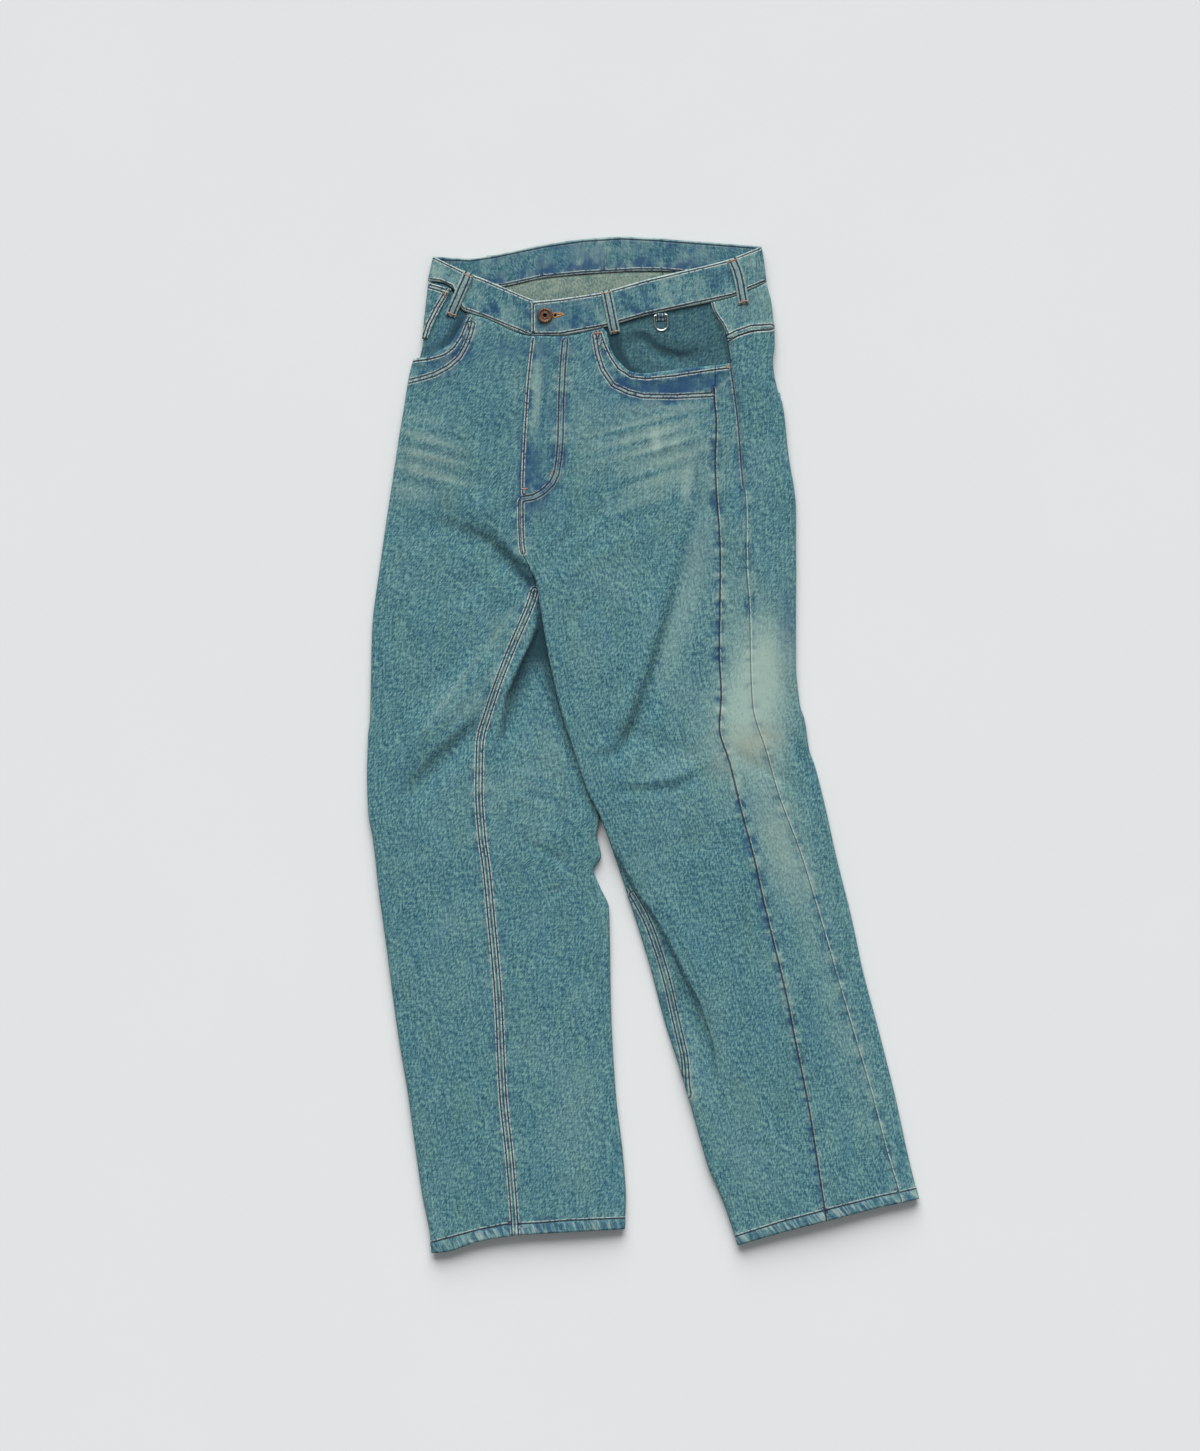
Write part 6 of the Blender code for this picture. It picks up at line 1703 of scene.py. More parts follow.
@dataclass(frozen=True)
class Waistband:
    """Doubled waistband, one ring from its covered right end round the back to its left end."""

    lay: Lay
    cut: Cut = Cut(0.8, 0.04, 0.031)
    rows: int = 17
    face: float = 36            # height of its face
    edge_roll: float = 0.7      # how far the long edges round off
    right_end: float = -106     # x of its covered right end
    left_end: float = -122      # x of its left end, on top
    turn_angle: float = 68      # degrees to each side that its outer edges turn through

    def spread(self) -> Spread:
        """Outer face, foot to top."""
        lay = self.lay
        rows = np.linspace(0, 1, self.rows)
        columns: list[Array] = []

        def column(foot: tuple[float, float], top: tuple[float, float], height: Curve) -> None:
            """Add a column from the foot to the top edge."""
            x = foot[0] + rows * (top[0] - foot[0])
            y = foot[1] + rows * (top[1] - foot[1])
            columns.append(np.stack([x, y, height(x, y) + 0 * x], -1))

        def on_top(x: Any, y: Any) -> Array:
            """Height of the band over the hips."""
            return lay.hip_top(x, y) + lay.band_rise

        def front(x: Any, y: Any) -> Array:
            """Height of the right front end, which dips under the left one."""
            return on_top(x, y) - smooth((x + 141) / 16) * (lay.band + lay.layer)

        def turn(side: int, foot: tuple[float, float], top: tuple[float, float]) -> None:
            """Add the columns round an outer edge."""
            for angle in np.radians(np.linspace(side * -self.turn_angle, side * self.turn_angle, 9)):
                out = side * lay.outer_radius * math.cos(angle)
                share = (1 + math.sin(angle)) / 2
                column((foot[0] + out, foot[1]), (top[0] + out, top[1]),
                       lambda x, y: lay.seat_rise * (1 - share) + on_top(x, y) * share)

        def stretch(start: tuple[float, float], end: tuple[float, float], count: int, foot: Table, top: Table,
                    height: Curve) -> None:
            """Add the columns between two places, each (x at the foot, x at the top)."""
            for share in np.linspace(0, 1, count):
                x, top_x = (a + share * (b - a) for a, b in zip(start, end))
                column((x, track(foot, x)), (top_x, track(top, top_x)), height)

        outer_left = (lay.back_foot[0][0] + lay.outer_radius, lay.back_top[0][0] + lay.outer_radius)
        outer_right = (lay.back_foot[-1][0] - lay.outer_radius, lay.back_top[-1][0] - lay.outer_radius)
        stretch((self.right_end,) * 2, outer_left, 72, lay.right_front_foot, lay.right_front_top, front)
        turn(-1, (outer_left[0], 510.2), (outer_left[1], 537.5))
        stretch(outer_left, outer_right, 180, lay.back_foot, lay.back_top, lambda x, y: lay.seat_rise)
        turn(1, (outer_right[0], 508.8), (outer_right[1], 548.3))
        stretch(outer_right, (self.left_end,) * 2, 150, lay.left_front_foot, lay.left_front_top, on_top)
        points = np.stack(columns[::-1], 1)
        steps = np.linalg.norm(np.diff(points[self.rows // 2], axis=0), axis=-1)
        runs = np.concatenate([[0], np.cumsum(steps)])
        return Spread(points, np.broadcast_to(runs, points.shape[:2]).copy())

    def build(self, tailor: Tailor) -> None:
        """Make the band, with rolled edges and puckers between them."""
        spread = self.spread()
        points, marks = tailor.cut_out("waistband", spread, (), lambda x, y: 0.45 + 0 * x, 0.04)
        normal = outward(spread.points)
        rise = np.linspace(0, 1, self.rows)[:, None] + 0 * spread.runs
        edge = np.minimum(rise, 1 - rise) * self.face
        rolled = -self.edge_roll * (1 - smooth(edge / 2.4))
        puckers = 0.35 * ripple(spread.runs, rise * 3, 7, 21.0)
        puckers = puckers * smooth(edge / 3) * (1 - smooth((edge - 5) / 9))
        down = faces_up(-normal)
        points = points + normal * ((rolled + puckers) * (1 - 0.9 * down))[..., None]
        marks["rope"] = np.maximum(0, 0.4 - 0.05 * edge) * (rise < 0.5) * (normal[..., 2] < 0)
        slant = spread.runs + rise * 14
        patchy = ripple(slant, rise * 20, 18, 5.1) + 0.8 * ripple(slant, rise * self.face, 8, 9.3)
        patchy = patchy + 0.7 * ripple(slant * 1.1, rise * 30, 3.6, 14.7)
        near_button = bell(points[..., 0], -84, 34) * (1 - down)
        marks["fade"] = marks["fade"] * 0.7 + 0.85 * (1 - smooth(edge / 1.5)) + 0.27 * patchy + 0.08
        near_foot = bell(rise * self.face, 7.5, 5) * (0.35 + 0.65 * down)
        pulled = ripple(spread.runs + rise * 24, rise * 5, 4.6, 17.0) * near_foot
        marks["fade"] = marks["fade"] + 0.75 * np.maximum(pulled, 0)
        for blue in (down * 0.1, np.maximum(-patchy - 0.3, 0) * 0.4, near_button * (0.3 + 0.2 * patchy),
                     down * (1 - rise) * (0.2 + 0.45 * patchy), 0.8 * np.maximum(-pulled, 0),
                     0.12 * near_foot * down):
            marks["blue"] = marks["blue"] + blue
        tailor.sew("waistband", spread, points, marks, self.cut, self.lay.band, ["yoke_right", "yoke_left"],
                   doubled=True)


@dataclass(frozen=True)
class BeltLoops:
    """Five belt loops: folded denim strips, stitched along both edges and tacked at the ends."""

    lay: Lay
    cut: Cut = Cut(0.0124, 0.053, 0.00064)
    cut_under: Cut = Cut(0.0124, 0.053, 0.00061)
    # Name, whether it is on the underside, and rows of (x, y, rise over the panels), foot first.
    paths: tuple[tuple[str, bool, Table], ...] = (
        ("front_right", False,
         ((-210.9, 471, 0.15), (-208.3, 478, 1.6), (-205.6, 484, 2.6), (-203, 490, 3),
          (-199.6, 498, 3.2), (-196, 506, 3.2), (-192.6, 514, 2.9), (-190.3, 519.4, 2.5))),
        ("front_left", False,
         ((-29.3, 452, 0.15), (-30.2, 456, 1.4), (-31.2, 460, 2.6), (-33, 469, 3),
          (-34.8, 478, 3.2), (-36.6, 487, 3.2), (-38.2, 494, 2.9), (-39.4, 499.4, 2.5))),
        ("side_left", False,
         ((111.9, 484.6, 1.8), (111.2, 489, 2.4), (109.8, 497, 2.9), (108.6, 505, 3.2),
          (106.8, 513, 3.2), (104.3, 522, 3.1), (101.4, 529, 2.8), (98.6, 534.6, 2.5))),
        ("side_right", True, ((-163, 488, 1.7), (-164, 513, 1.7), (-165, 539, 1.7))),
        ("centre_back", True, ((22, 508, 1.7), (22.5, 532, 1.7), (23, 557.5, 1.7))),
    )
    steps: int = 25
    across: int = 9
    width: float = 12.0
    belly: float = 0.45      # how far the loop's middle stands over its edges
    ridge: float = 0.3       # height of its edges' folds
    groove: float = 0.35     # depth beside them

    def spread(self, path: Table, under: bool) -> Spread:
        """Outer face of a loop, foot first."""
        rows = np.array(path, float)
        lengths = lengths_to(rows)
        walked = np.linspace(0, lengths[-1], self.steps)
        fine = np.stack([track(tuple(zip(lengths, rows[:, k])), walked) for k in range(3)], -1)
        runs = np.gradient(fine[:, :2], axis=0)
        runs /= np.linalg.norm(runs, axis=1)[:, None]
        sideways = np.stack([runs[:, 1], -runs[:, 0]], 1)
        columns = []
        for share in np.linspace(-1, 1, self.across):
            spots = fine[:, :2] + share * sideways * self.width / 2
            if under:
                height = self.lay.seat_rise - fine[:, 2]
            else:
                height = self.lay.hip_top(fine[:, 0], fine[:, 1]) + fine[:, 2]
            columns.append(np.concatenate([spots, height[:, None]], 1))
        across = np.broadcast_to(np.linspace(-1, 1, self.across) * self.width / 2, (self.steps, self.across))
        if under:
            return Spread(np.stack(columns[::-1], 1), across[:, ::-1].copy())
        return Spread(np.stack(columns, 1), across.copy())

    def build(self, tailor: Tailor) -> None:
        """Make the loops."""
        for place, under, path in self.paths:
            name = f"belt_loop_{place}"
            spread = self.spread(path, under)
            normal = outward(spread.points)
            share = np.abs(spread.runs) / (self.width / 2)
            swell = self.belly * (1 - share ** 2) + self.ridge * bell(share, 0.86, 0.16)
            swell = swell - self.groove * bell(share, 0.56, 0.13)
            rise = np.linspace(0, 1, self.steps)[:, None]
            ends = smooth(np.minimum(rise, 1 - rise) * 9) * (0.4 if under else 1)
            points = spread.points + normal * ((swell - 0.2) * ends)[..., None]
            worn = 0.24 + 0.5 * bell(share, 0, 0.24) + 0.75 * smooth((share - 0.78) / 0.14)
            worn = worn - 0.7 * bell(share, 0.52, 0.15)
            worn = worn + 0.12 * ripple(spread.runs, 40 * rise, 4, 31.0)
            marks = blank(spread.runs.shape, off=spread.runs, half=0.5 * self.width / 2, dark=1.0, pale=0.6,
                          fade=worn, blue=0.12 + 0.25 * bell(share, 0.3, 0.14))
            cut = self.cut_under if under else self.cut
            tailor.sew(name, spread, points, marks, cut, rests_on=["waistband"])


@dataclass(frozen=True)
class FlyButton:
    """Shank button: a turned copper head with a rim, a sunk ring and a hole painted near-black as its shade.
    """

    x: float = -106.7
    y: float = 471.9
    profile: Table = ((0.0, 0.5), (1.5, 0.5), (1.9, 0.9), (2.1, 1.9), (2.6, 2.2), (3.4, 2.25), (4.1, 1.95),
        (5.0, 1.9), (5.6, 2.15), (6.2, 2.7), (7.0, 2.85), (7.8, 2.6), (8.35, 2.0), (8.5, 1.3), (8.4, 0.6),
        (7.8, 0.15), (7.0, 0.0), (0.0, 0.0))
    hole: float = 1.75
    rise: float = 0.45       # over the band's face
    weld: float = 0.02       # distance at which the ends of its profile join
    steps: int = 56

    def build(self, lay: Lay, copper: bpy.types.Material, hole: bpy.types.Material) -> None:
        """Turn the head about its centre."""
        turned = bmesh.new()
        verts = [turned.verts.new((radius * MM, 0, height * MM)) for radius, height in self.profile]
        edges = [turned.edges.new(pair) for pair in zip(verts, verts[1:])]
        bmesh.ops.spin(turned, geom=verts + edges, cent=(0, 0, 0), axis=(0, 0, 1), angle=2 * math.pi,
                       steps=self.steps, use_merge=True)
        bmesh.ops.remove_doubles(turned, verts=turned.verts, dist=self.weld * MM)
        bmesh.ops.recalc_face_normals(turned, faces=turned.faces)
        for face in turned.faces:
            face.smooth = True
            centre = face.calc_center_median()
            # The hole's sunk faces take the near-black finish: painted shade.
            sunk = math.hypot(centre.x, centre.y) < self.hole * MM and centre.z > 0.3 * MM
            face.material_index = int(sunk)
        base = np.array((self.x, self.y, lay.hip_top(self.x, self.y) + lay.band_rise + self.rise))
        bmesh.ops.translate(turned, verts=turned.verts, vec=Vector((base - MIDDLE) * MM))
        finish_piece("fly_button", turned, (copper, hole), GARMENT, ("button",))


def finish_piece(name: str, shape: bmesh.types.BMesh, finishes: Sequence[bpy.types.Material], body: str,
                 nodes: Sequence[str] = ()) -> bpy.types.Object:
    """Make a piece's object.

    Args:
        name: The piece's name.
        shape: Its mesh in metres, freed here.
        finishes: Its materials.
        body: Body that it rides on.
        nodes: CAD nodes that it stands for.

    Returns:
        The piece.
    """
    mesh = bpy.data.meshes.new(name)
    shape.to_mesh(mesh)
    shape.free()
    for finish in finishes:
        mesh.materials.append(finish)
    piece = put(name, mesh)
    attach(piece, body)
    if nodes:
        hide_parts(*nodes)
    LOG.info("%s: %d faces", name, len(mesh.polygons))
    return piece


def sewn_lines(lay: Lay) -> tuple[SewnLine, ...]:
    """Every line of stitches on the garment's cloth."""
    inner = lay.front_left_rim()
    inseam_y = np.linspace(-164, -385, 20)
    inseam_x = inner.place(track(lay.left_inseam, inseam_y), inseam_y)[:, 0]
    left_inseam = tuple(zip(inseam_x.tolist(), inseam_y.tolist()))
    right_inseam = tuple(row for row in as_path(lay.right_inseam) if row[1] < 178)
    fronts, left_leg = ("front_right", "back_right"), ("front_left", "side_left", "back_left")
    backs = ("back_right", "back_left", "yoke_right", "yoke_left")
    band = partial(SewnLine, nodes=("waistband",), pucker=0.1, reach=5)
    hidden = partial(SewnLine, under=True)
    return (
        SewnLine("inseam_right", fronts, right_inseam, 3.4, rise=0.9, spread=3.6, pucker=0.5, dark=0.95,
            pale=0.95, blot=0.35),
        SewnLine("inseam_left", ("front_left", "back_left"), left_inseam, 3.4, rise=0.7, pucker=0.3,
            pale=0.6),
        SewnLine("design_seam_left", ("front_left", "side_left"),
            beside(lay.left_design_seam, 392, -535, 80, -1.0), rise=0.5, spread=6, pucker=0.6, dark=0.95,
            lean=1, blot=1.0, wear=0.45),
        SewnLine("outseam_top", left_leg, beside(lay.left_outseam, 443, 284, 16, -1.6), rise=0.5, pucker=0.4,
            pale=0.5, blot=0.5),
        SewnLine("outseam_left", left_leg, beside(lay.left_outseam, 280, -520, 70), 0.0, Thread.PALE,
            rise=0.6, spread=3.6, pucker=0.3, dark=0.12, pale=0.85, lean=1, blot=0.1),
        SewnLine("hem_right", ("front_right", "back_right", "side_right"), ((-230.6, -546.7),
            (-180.4, -533.0), (-149.6, -526.8), (-116.6, -525.6), (-80.3, -522.6), (-18.7, -520.3)), dark=1.0,
            pale=0.9, lean=1),
        SewnLine("hem_left", left_leg, ((100.1, -541.2), (151.2, -524.6), (202.4, -511.0), (260.7, -496.4),
            (300.9, -488.0)), dark=1.0, pale=0.9, lean=1),
        SewnLine("fly_stitch", ("front_left",), ((-84.5, 444), (-86.9, 418), (-88.7, 381.7), (-89.7, 335.5),
            (-91.7, 312.4), (-94.1, 297.6), (-99, 287.7), (-108.4, 278.3), (-118.8, 272.4), (-131, 270.3)),
            2.7, rise=0.4, pucker=0.6, pale=0.45, blot=0.7, wear=0.5),
        SewnLine("fly_edge", ("front_left",), beside(lay.centre_front, 447, 276, 18, 2.9), rise=0.8,
            pucker=0.45, dark=0.95, blot=0.5, wear=0.5),
        SewnLine("rise", ("front_left", "front_right"), beside(lay.centre_front, 268, 212, 9, 0.6), 2.3,
            rise=0.7, pucker=0.5, dark=0.8, pale=0.8, blot=0.7, wear=0.5),
        SewnLine("mouth_right", ("front_right",), ((-253, 421.5), (-234.9, 423.8), (-220, 427.6),
            (-212.7, 431.6), (-206, 437.6), (-198.6, 449), (-192.2, 465), (-189.4, 470.4)), rise=0.7,
            spread=5, pucker=0.5, dark=1.0, blot=0.6, wear=0.5),
        SewnLine("curve_right", ("front_right",), ((-260, 399), (-242, 403.2), (-227.7, 407.6),
            (-212.7, 415.8), (-201.3, 425.7), (-194.7, 436.7), (-189.2, 449.9), (-185.6, 463)), 1.9,
            pucker=0.4, dark=0.8, pale=0.75, blot=0.5, wear=0.5),
        SewnLine("mouth_left", ("front_left", "side_left"), ((-45.7, 453.4), (-41.2, 440), (-35.1, 426.7),
            (-26, 413.4), (-12, 404.2), (4.7, 402.5), (33.8, 405.4), (66, 410.3), (79, 412.2), (94, 414.2)),
            rise=0.7, spread=5, pucker=0.5, dark=1.0, blot=0.8, wear=0.5),
        SewnLine("curve_left", ("front_left",), ((-52.3, 450.1), (-49, 430.1), (-43.5, 412.5), (-31.9, 395.5),
            (-14.3, 387.2), (1.4, 383.4), (33.8, 382.8), (78, 385)), 1.9, pucker=0.45, dark=0.85, pale=0.75,
            blot=0.6, wear=0.5),
        SewnLine("yoke_seam", ("yoke_left", "back_left"), ((90, 444.5), (104, 452.4), (120, 458),
            (141, 459.4)), 3.0, rise=0.7, pucker=0.6, dark=1.0),
        SewnLine("yoke_side", ("yoke_left", "pocket_facing_left"), beside(lay.left_outseam, 489, 448, 8, 1.8),
            rise=0.4, pucker=0.3, dark=0.7, pale=0.9),
        SewnLine("coin_side", ("coin_pocket",), ((-213.5, 500.5), (-225.5, 480.7), (-235, 462.2),
            (-239.5, 448)), 1.7, pucker=0.1),
        SewnLine("coin_top", ("coin_pocket",), ((-234, 504.4), (-224, 501.6), (-212.5, 497.5)), 1.7,
            pucker=0.1),
        band("band_foot_right", path=((-233, 512.6), (-222, 511.2), (-209, 505.4), (-197, 480.4),
            (-172.7, 472), (-125.4, 452.8)), dark=0.7),
        band("band_top_right", path=((-230, 535.4), (-195.8, 518.6), (-172.7, 509.6), (-122, 488.2)),
            dark=0.8),
        band("band_foot_left", path=((-120, 452.4), *moved(lay.left_front_foot[1:-1], 2.4), (134, 510.2)),
            dark=1.0),
        band("band_top_left", path=((-119.6, 485.2), *moved(lay.left_front_top[1:-1], -2.4), (130, 545.6))),
        band("band_end", path=((-119.6, 453), (-119.6, 485))),
        hidden("outseam_right", ("side_right", "back_right"), as_path(lay.right_outseam), 2.0, Thread.PALE,
            pucker=0.2, dark=0.3, pale=0.7),
        hidden("design_seam_right", ("side_right", "front_right"), as_path(lay.right_design_seam), dark=1.0,
            pale=0.9),
        hidden("centre_back", backs, as_path(lay.centre_back), 3.0, pale=0.8),
        hidden("yoke_seam_back", backs, ((-150, 458), (18, 446), (137, 457.8)), 3.0, pale=0.9),
        hidden("pocket_edge_right", ("back_pocket_right",), ((-162, 380), (-184.6, 274), (-132, 255),
            (-70, 278.6), (-40, 388)), 1.6, pale=0.8),
        hidden("pocket_edge_left", ("back_pocket_left",), ((26, 381), (36, 273), (97, 256), (154, 280),
            (148.6, 384)), 1.6, pale=0.8),
        hidden("pocket_top_right", ("back_pocket_right",), ((-164, 374), (-41, 382)), 1.6, pale=0.8),
        hidden("pocket_top_left", ("back_pocket_left",), ((26, 375), (148, 378)), 1.6, pale=0.8),
        hidden("band_mark_centre", ("waistband",), ((-41.8, 533.8), (-41.8, 525.2)), pucker=0.0, dark=0.5,
            pale=0.1, wear=0.0),
        hidden("band_mark_right", ("waistband",), ((-110, 527.4), (-110, 519.4)), pucker=0.0, dark=0.35,
            pale=0.0, wear=0.0),
        hidden("band_top_back", ("waistband",), ((-222, 533.6), *moved(lay.back_top[1:-1], -2.6),
            (126, 546.4)), pale=0.15, reach=6),
        hidden("band_foot_back", ("waistband",), ((-228, 510), (-189, 500.8), (-148.5, 507.4), (-110, 516),
            (-66, 520.4), (-5.5, 523.8), (21, 523.8), (86, 518.4), (130, 511)), pale=0.9),
    )


@dataclass(frozen=True)
class Tack:
    """A bar of close stitches across a line."""

    x: float
    y: float
    length: float
    width: float
    turn: float          # degrees, of its length from +X
    nodes: tuple[str, ...]
    thread: Thread = Thread.RUST


@dataclass(frozen=True)
class Needlework:
    """Threads laid on the cloth: rows of stitches, bar tacks and the buttonhole."""

    pitch: float = 3.1           # from one stitch to the next
    stitch: float = 2.35         # length of one
    radius: float = 0.3
    tack_radius: float = 0.36
    hole_radius: float = 0.42
    sink: float = 0.05           # share of a thread that is drawn into the cloth
    tack_pitch: float = 0.62
    lead: float = 0.4            # from a line's end to its first stitch
    ahead: float = 2             # how far a stitch looks along its line for its direction
    eyelet: tuple[float, float] = (-95.4, 472.2)
    eyelet_radius: float = 2.5
    slit_end: tuple[float, float] = (-86.6, 473.6)
    hole_stitches: tuple[int, int] = (26, 13)              # round the eyelet, and along each side of the slit
    hole_reach: tuple[float, float] = (-0.85, 0.95)        # of each stitch, inwards and outwards
    keyhole: float = 35                                    # degrees to each side left open to the slit
    tacks: tuple[Tack, ...] = (
        Tack(-200.2, 475.0, 7, 2.2, -22, ("front_right", "waistband")),
        Tack(-192.4, 471.8, 5, 2.2, -24, ("front_right", "waistband")),
        Tack(95.0, 416.2, 3.4, 6.5, 80, ("front_left", "side_left")),
        Tack(-48.5, 452.6, 9, 2.4, 6, ("front_left",)),
        Tack(-217.5, 495.2, 5.5, 2.4, -60, ("coin_pocket", "pocket_facing_right")),
        Tack(-129.0, 281.5, 6.5, 2.2, 0, ("front_left",)),
        Tack(-133.0, 265.0, 13, 2.0, 88, ("front_left", "front_right")),
        Tack(-99.2, 298.4, 8, 2.0, 62, ("front_left",)),
        Tack(-191.6, 516.2, 9.5, 2.2, -22, ("belt_loop_front_right",)),
        Tack(-209.6, 474.0, 9.5, 2.2, -22, ("belt_loop_front_right",)),
        Tack(-39.0, 497.0, 9.5, 2.2, 12, ("belt_loop_front_left",)),
        Tack(-29.8, 454.4, 9.5, 2.2, 12, ("belt_loop_front_left",)),
        Tack(99.6, 532.2, 9.5, 2.2, 16, ("belt_loop_side_left",)),
        Tack(111.6, 487.2, 9.5, 2.2, 16, ("belt_loop_side_left",)),
    )
    heavy: float = 0.85          # pale thread's thickness over the others'

    def drop(self, faces: Sequence[BVHTree], x: float, y: float, under: bool) -> tuple[Vector, Vector] | None:
        """Find the cloth's outer face over or under a place in millimetres."""
        side = -1.0 if under else 1.0
        start = Vector(((x - MIDDLE[0]) * MM, (y - MIDDLE[1]) * MM, side * 0.1))
        best = None
        for tree in faces:
            hit, normal, _, _ = tree.ray_cast(start, Vector((0, 0, -side)))
            if hit is not None and (best is None or side * hit.z > side * best[0].z):
                best = (hit, normal * (1 if normal.z * side > 0 else -1))
        return best

    def lay_stitch(self, shape: bmesh.types.BMesh, ends: Sequence[tuple[Vector, Vector] | None],
                   radius: float, longest: float = math.inf) -> None:
        """Add one stitch between two places on the cloth, unless one is missing or they are far apart."""
        first, last = ends
        if first is None or last is None or (first[0] - last[0]).length >= longest * MM:
            return
        along_it = (last[0] - first[0]) / 2
        up = (first[1] + last[1]).normalized()
        sideways = along_it.cross(up).normalized() * radius * MM
        centre = (first[0] + last[0]) / 2 + up * (radius - self.sink) * MM * 0.6
        lift = sideways.cross(along_it).normalized() * radius * MM * 0.85
        turned = Matrix((along_it, sideways, lift)).transposed().to_4x4()
        turned.translation = centre
        bmesh.ops.create_icosphere(shape, subdivisions=1, radius=1, matrix=turned)

    def row(self, tailor: Tailor, line: SewnLine, offset: float) -> bmesh.types.BMesh:
        """Stitches of one row beside a line's path."""
        rows = np.array(line.path, float)
        lengths = lengths_to(rows)
        shape = bmesh.new()
        faces = [tailor.faces[name] for name in line.nodes]
        radius = self.radius * (self.heavy if line.thread is Thread.PALE else 1)
        for start in np.arange(self.lead, lengths[-1] - self.stitch, self.pitch):
            ends = []
            for walked in (start, start + self.stitch):
                near = [np.interp(walked + step, lengths, rows[:, k])
                        for step in (-self.ahead, self.ahead) for k in (0, 1)]
                run = np.array((near[2] - near[0], near[3] - near[1]))
                run /= np.hypot(*run)
                x = np.interp(walked, lengths, rows[:, 0]) - run[1] * offset
                y = np.interp(walked, lengths, rows[:, 1]) + run[0] * offset
                ends.append(self.drop(faces, float(x), float(y), line.under))
            self.lay_stitch(shape, ends, radius, 2 * self.stitch)
        return shape

    def tack(self, tailor: Tailor, tack: Tack) -> bmesh.types.BMesh:
        """Close stitches across a bar."""
        shape = bmesh.new()
        faces = [tailor.faces[name] for name in tack.nodes]
        angle = math.radians(tack.turn)
        run, across = np.array(((math.cos(angle), math.sin(angle)), (-math.sin(angle), math.cos(angle))))
        for step in np.arange(-tack.length / 2, tack.length / 2, self.tack_pitch):
            ends = []
            for side, slant in ((-1, 0.0), (1, self.tack_pitch * 0.7)):
                x, y = np.array((tack.x, tack.y)) + run * (step + slant) + across * side * tack.width / 2
                ends.append(self.drop(faces, float(x), float(y), False))
            self.lay_stitch(shape, ends, self.tack_radius, 3 * tack.width)
        return shape

    def buttonhole(self, tailor: Tailor) -> bmesh.types.BMesh:
        """Keyhole of close stitches round an eyelet and a slit."""
        shape = bmesh.new()
        faces = [tailor.faces["waistband"]]
        eye, end = np.array(self.eyelet), np.array(self.slit_end)
        run = (end - eye) / np.hypot(*(end - eye))
        across = np.array((-run[1], run[0]))
        outs = [run * math.cos(turn) + across * math.sin(turn)
                for turn in np.radians(np.linspace(self.keyhole, 360 - self.keyhole, self.hole_stitches[0]))]
        spots = [(eye + out * self.eyelet_radius, out) for out in outs]
        for share in np.linspace(0, 1, self.hole_stitches[1]):
            for side in (-1, 1):
                middle = eye + run * 2 + (end - eye - run * 2) * share
                spots.append((middle + across * side * (1.5 - 0.9 * share), across * side))
        for spot, out in spots:
            ends = [self.drop(faces, *(spot + out * reach), False) for reach in self.hole_reach]
            self.lay_stitch(shape, ends, self.hole_radius)
        return shape

    def build(self, tailor: Tailor, finishes: dict[Thread, bpy.types.Material],
              hole: bpy.types.Material) -> None:
        """Lay every thread, one piece for each colour, and a near-black disc of painted shade in the eyelet.
        """
        shapes = {thread: bmesh.new() for thread in Thread}

        def keep(thread: Thread, part: bmesh.types.BMesh) -> None:
            """Add a finished part to its thread's piece."""
            mesh = bpy.data.meshes.new("part")
            part.to_mesh(mesh)
            part.free()
            shapes[thread].from_mesh(mesh)
            bpy.data.meshes.remove(mesh)

        for line in tailor.lines:
            for offset in (-line.half, line.half) if line.half else (0.0,):
                keep(line.thread, self.row(tailor, line, offset))
        for tack in self.tacks:
            keep(tack.thread, self.tack(tailor, tack))
        keep(Thread.GOLD, self.buttonhole(tailor))
        for thread, shape in shapes.items():
            for face in shape.faces:
                face.smooth = True
            finish_piece(f"stitches_{thread.value}", shape, (finishes[thread],), GARMENT)
        # A near-black disc in the eyelet: painted shade in the hole.
        slit = bmesh.new()
        place = self.drop([tailor.faces["waistband"]], *self.eyelet, False)
        if place is not None:
            bmesh.ops.create_cone(slit, cap_ends=True, segments=20, radius1=1.5 * MM, radius2=1.5 * MM,
                                  depth=0.3 * MM, matrix=Matrix.Translation(place[0] + place[1] * 0.0001))
            finish_piece("buttonhole_eyelet", slit, (hole,), GARMENT)


@dataclass(frozen=True)
class RingAndTab:
    """D-ring's metal and the folded strap that holds its bar."""

    lay: Lay
    x: float = 20.4
    y: float = 472.5
    turn: float = 5.0
    width: float = 10.0
    rise: Table = ((-6.1, 1.7), (-4.5, 1.7), (-3.5, 2.0), (-2.5, 3.1), (-1.2, 4.3), (0, 4.5), (1, 4.4),
        (2, 4))
    cut: Cut = Cut(0.01, 0.0105, 0.0001)
    wall: float = 1.2
    steps: int = 22
    across: int = 11

    def spread(self) -> Spread:
        """Outer face of the strap, foot first."""
        angle = math.radians(self.turn)
        places = [row[0] for row in self.rise]
        ups = np.linspace(places[0], places[-1], self.steps)[:, None]
        sides = np.linspace(-self.width / 2, self.width / 2, self.across)[None, :]
        x = self.x + sides * math.cos(angle) - ups * math.sin(angle)
        y = self.y + sides * math.sin(angle) + ups * math.cos(angle)
        z = self.lay.left_top(x, y) - self.lay.facing_depth + track(self.rise, ups + 0 * sides)
        return Spread(np.stack([x, y, z], -1), sides + 0 * ups)

    def build(self, tailor: Tailor, metal: bpy.types.Material, ring: bpy.types.Object) -> None:
        """Make the strap and dress the ring."""
        spread = self.spread()
        shape = spread.runs.shape
        share = np.abs(spread.runs) / (self.width / 2)
        marks = blank(shape, off=spread.runs, half=3.6, dark=1.0, pale=1.0, fade=0.1 - 0.1 * share, blue=0.45)
        rests_on = ["d_ring", "pocket_facing_left"]
        tailor.sew("d_ring_tab", spread, spread.points, marks, self.cut, self.wall, rests_on)
        ring.data.materials.clear()
        ring.data.materials.append(metal)


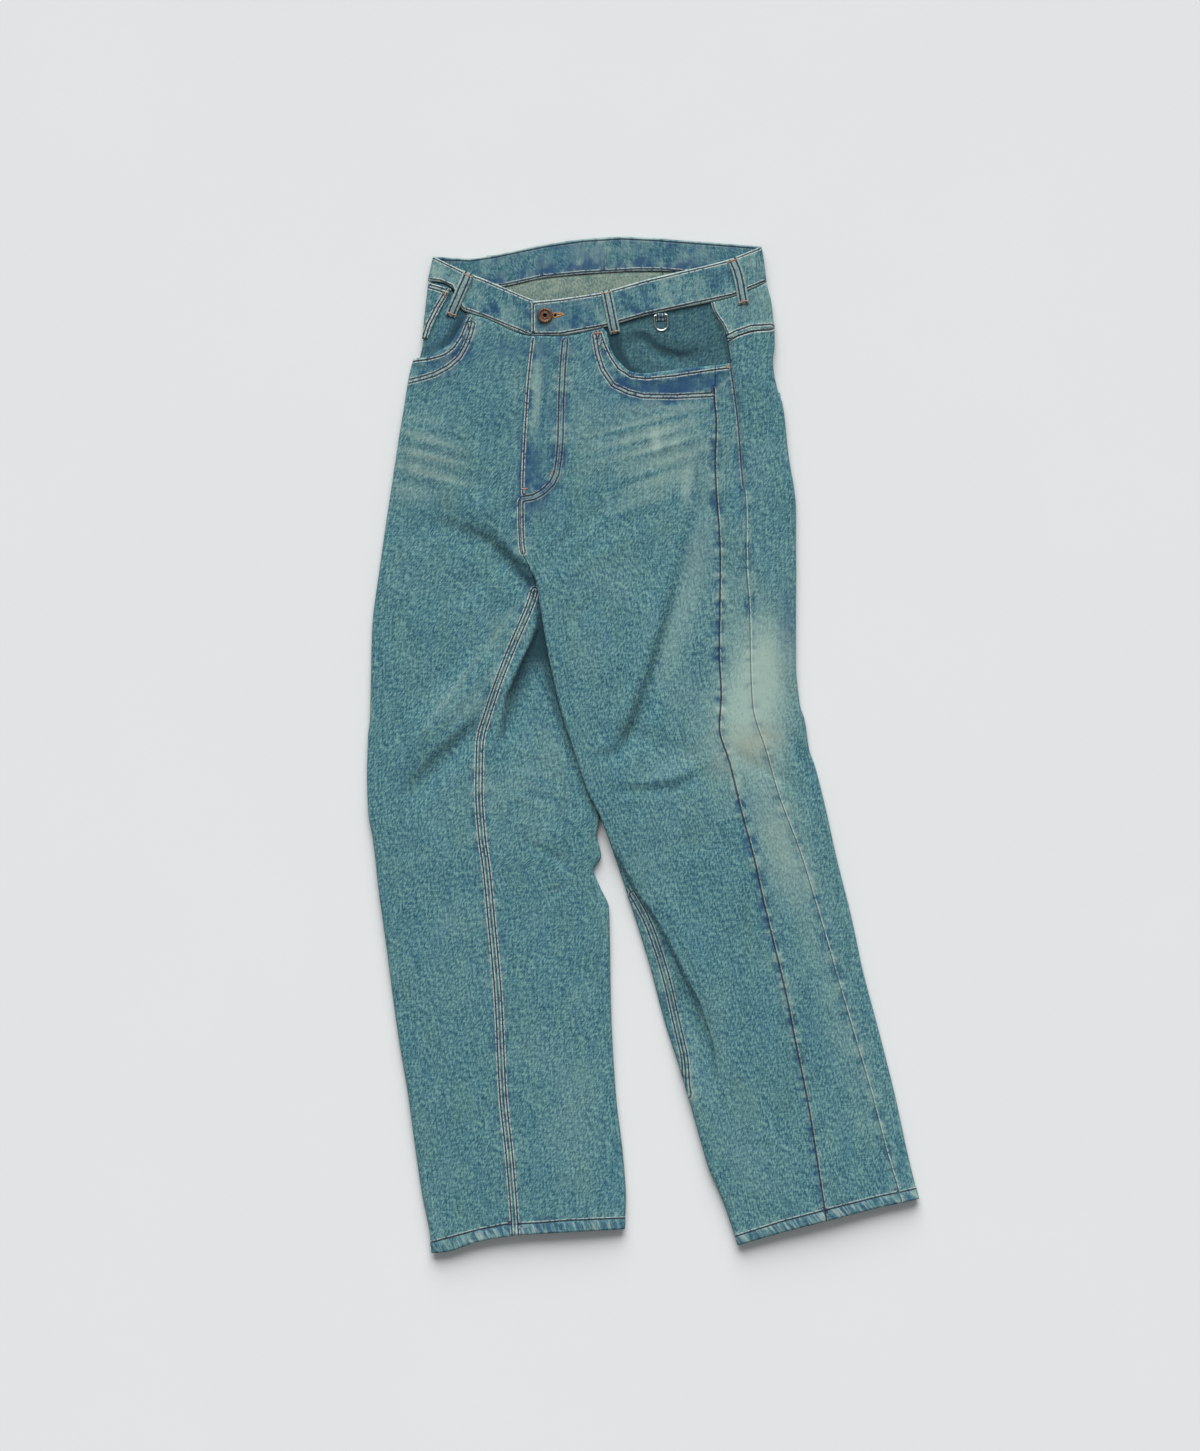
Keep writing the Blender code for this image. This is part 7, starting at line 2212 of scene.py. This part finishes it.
@dataclass(frozen=True)
class Studio:
    """Camera over the garment, the floor and the lights."""

    photo_height: int = 1451
    scale: float = 1.1 * MM                 # metres to a pixel of the photograph
    centre: tuple[float, float] = (-0.0472, 0.0212)
    distance: float = 8.0
    focus: float = 0.008                    # height at which the scale holds
    sensor: float = 24.0
    floor_size: float = 9.0
    clearance: float = 0.0006               # floor's depth under the garment
    # Direction from the garment, strength, spread in degrees, and colour of each lamp.
    key: tuple[Any, ...] = ((-0.03, 0.82, 0.57), 3.66, 54.0, (1.0, 0.998, 0.99))
    fill: tuple[Any, ...] = ((0.5, -0.6, 0.9), 0.12, 60.0, (0.97, 0.985, 1.0))
    around: float = 0.225                   # strength of the light from all sides
    around_colour: tuple[float, ...] = (0.965, 0.985, 1.0, 1)

    def build(self, floor_finish: bpy.types.Material) -> None:
        """Set up the view."""
        data = bpy.data.cameras.new("overhead")
        data.sensor_fit = "AUTO"
        data.sensor_width = self.sensor
        data.lens = self.sensor * self.distance / (self.photo_height * self.scale)
        data.clip_end = 50
        camera = put("overhead", data)
        camera.location = (*self.centre, self.focus + self.distance)
        bpy.context.scene.camera = camera
        floor = bmesh.new()
        bmesh.ops.create_grid(floor, x_segments=8, y_segments=8, size=self.floor_size / 2)
        mesh = bpy.data.meshes.new("floor")
        floor.to_mesh(mesh)
        floor.free()
        mesh.materials.append(floor_finish)
        ground = put("floor", mesh)
        ground.location.z = -self.clearance
        self.light("key", *self.key)
        self.light("fill", *self.fill)
        world = bpy.data.worlds.new("studio")
        world.use_nodes = True
        backdrop = world.node_tree.nodes["Background"]
        backdrop.inputs["Color"].default_value = self.around_colour
        backdrop.inputs["Strength"].default_value = self.around
        bpy.context.scene.world = world
        bpy.context.scene.view_settings.view_transform = "Standard"

    def light(self, name: str, towards: tuple[float, float, float], strength: float, spread: float,
              colour: tuple[float, float, float]) -> None:
        """Add a large, far lamp.

        Args:
            name: Its name.
            towards: Direction from the garment to it.
            strength: Its power over an area that faces it.
            spread: Angle that it fills, in degrees.
            colour: Its colour.
        """
        data = bpy.data.lights.new(name, "SUN")
        data.angle = math.radians(spread)
        data.energy = strength
        data.color = colour
        lamp = put(name, data)
        lamp.rotation_euler = (-Vector(towards)).to_track_quat("-Z", "Y").to_euler()


def main() -> None:
    """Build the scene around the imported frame."""
    logging.basicConfig(level=logging.INFO, format="%(name)s: %(message)s")
    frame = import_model()
    lay = Lay()
    Studio().build(PlainFinish("paper", rgb(237, 238, 239), rgb(233, 235, 236), 0.9, 3.0).material())
    tailor = Tailor(lay, Wash(), Creases(), sewn_lines(lay), (lay.right_hem, lay.left_hem),
                    DenimFace().material(), DenimBack().material())
    Panels(lay).build(tailor)
    UpperPieces(lay).build(tailor)
    Waistband(lay).build(tailor)
    BeltLoops(lay).build(tailor)
    # Near-black finish: painted shade in the button's hole and in the buttonhole's eyelet.
    hole = PlainFinish("hole", rgb(18, 18, 22), rgb(10, 10, 12), 0.9, 400.0).material()
    copper = MetalFinish("copper", rgb(138, 110, 92), rgb(98, 72, 62), 0.55).material()
    FlyButton().build(lay, copper, hole)
    nickel = MetalFinish("nickel", rgb(206, 206, 202), rgb(150, 150, 148), 0.2).material()
    RingAndTab(lay).build(tailor, nickel, frame["nodes"]["d_ring"])
    threads = {
        Thread.DARK: ThreadFinish("thread_dark", rgb(38, 38, 56), rgb(74, 54, 58)).material(),
        Thread.PALE: ThreadFinish("thread_pale", rgb(212, 216, 178), rgb(182, 194, 162)).material(),
        Thread.RUST: ThreadFinish("thread_rust", rgb(170, 112, 80), rgb(196, 176, 150)).material(),
        Thread.GOLD: ThreadFinish("thread_gold", rgb(206, 140, 56), rgb(168, 96, 46)).material(),
    }
    Needlework().build(tailor, threads, hole)


if __name__ == "__main__":
    main()
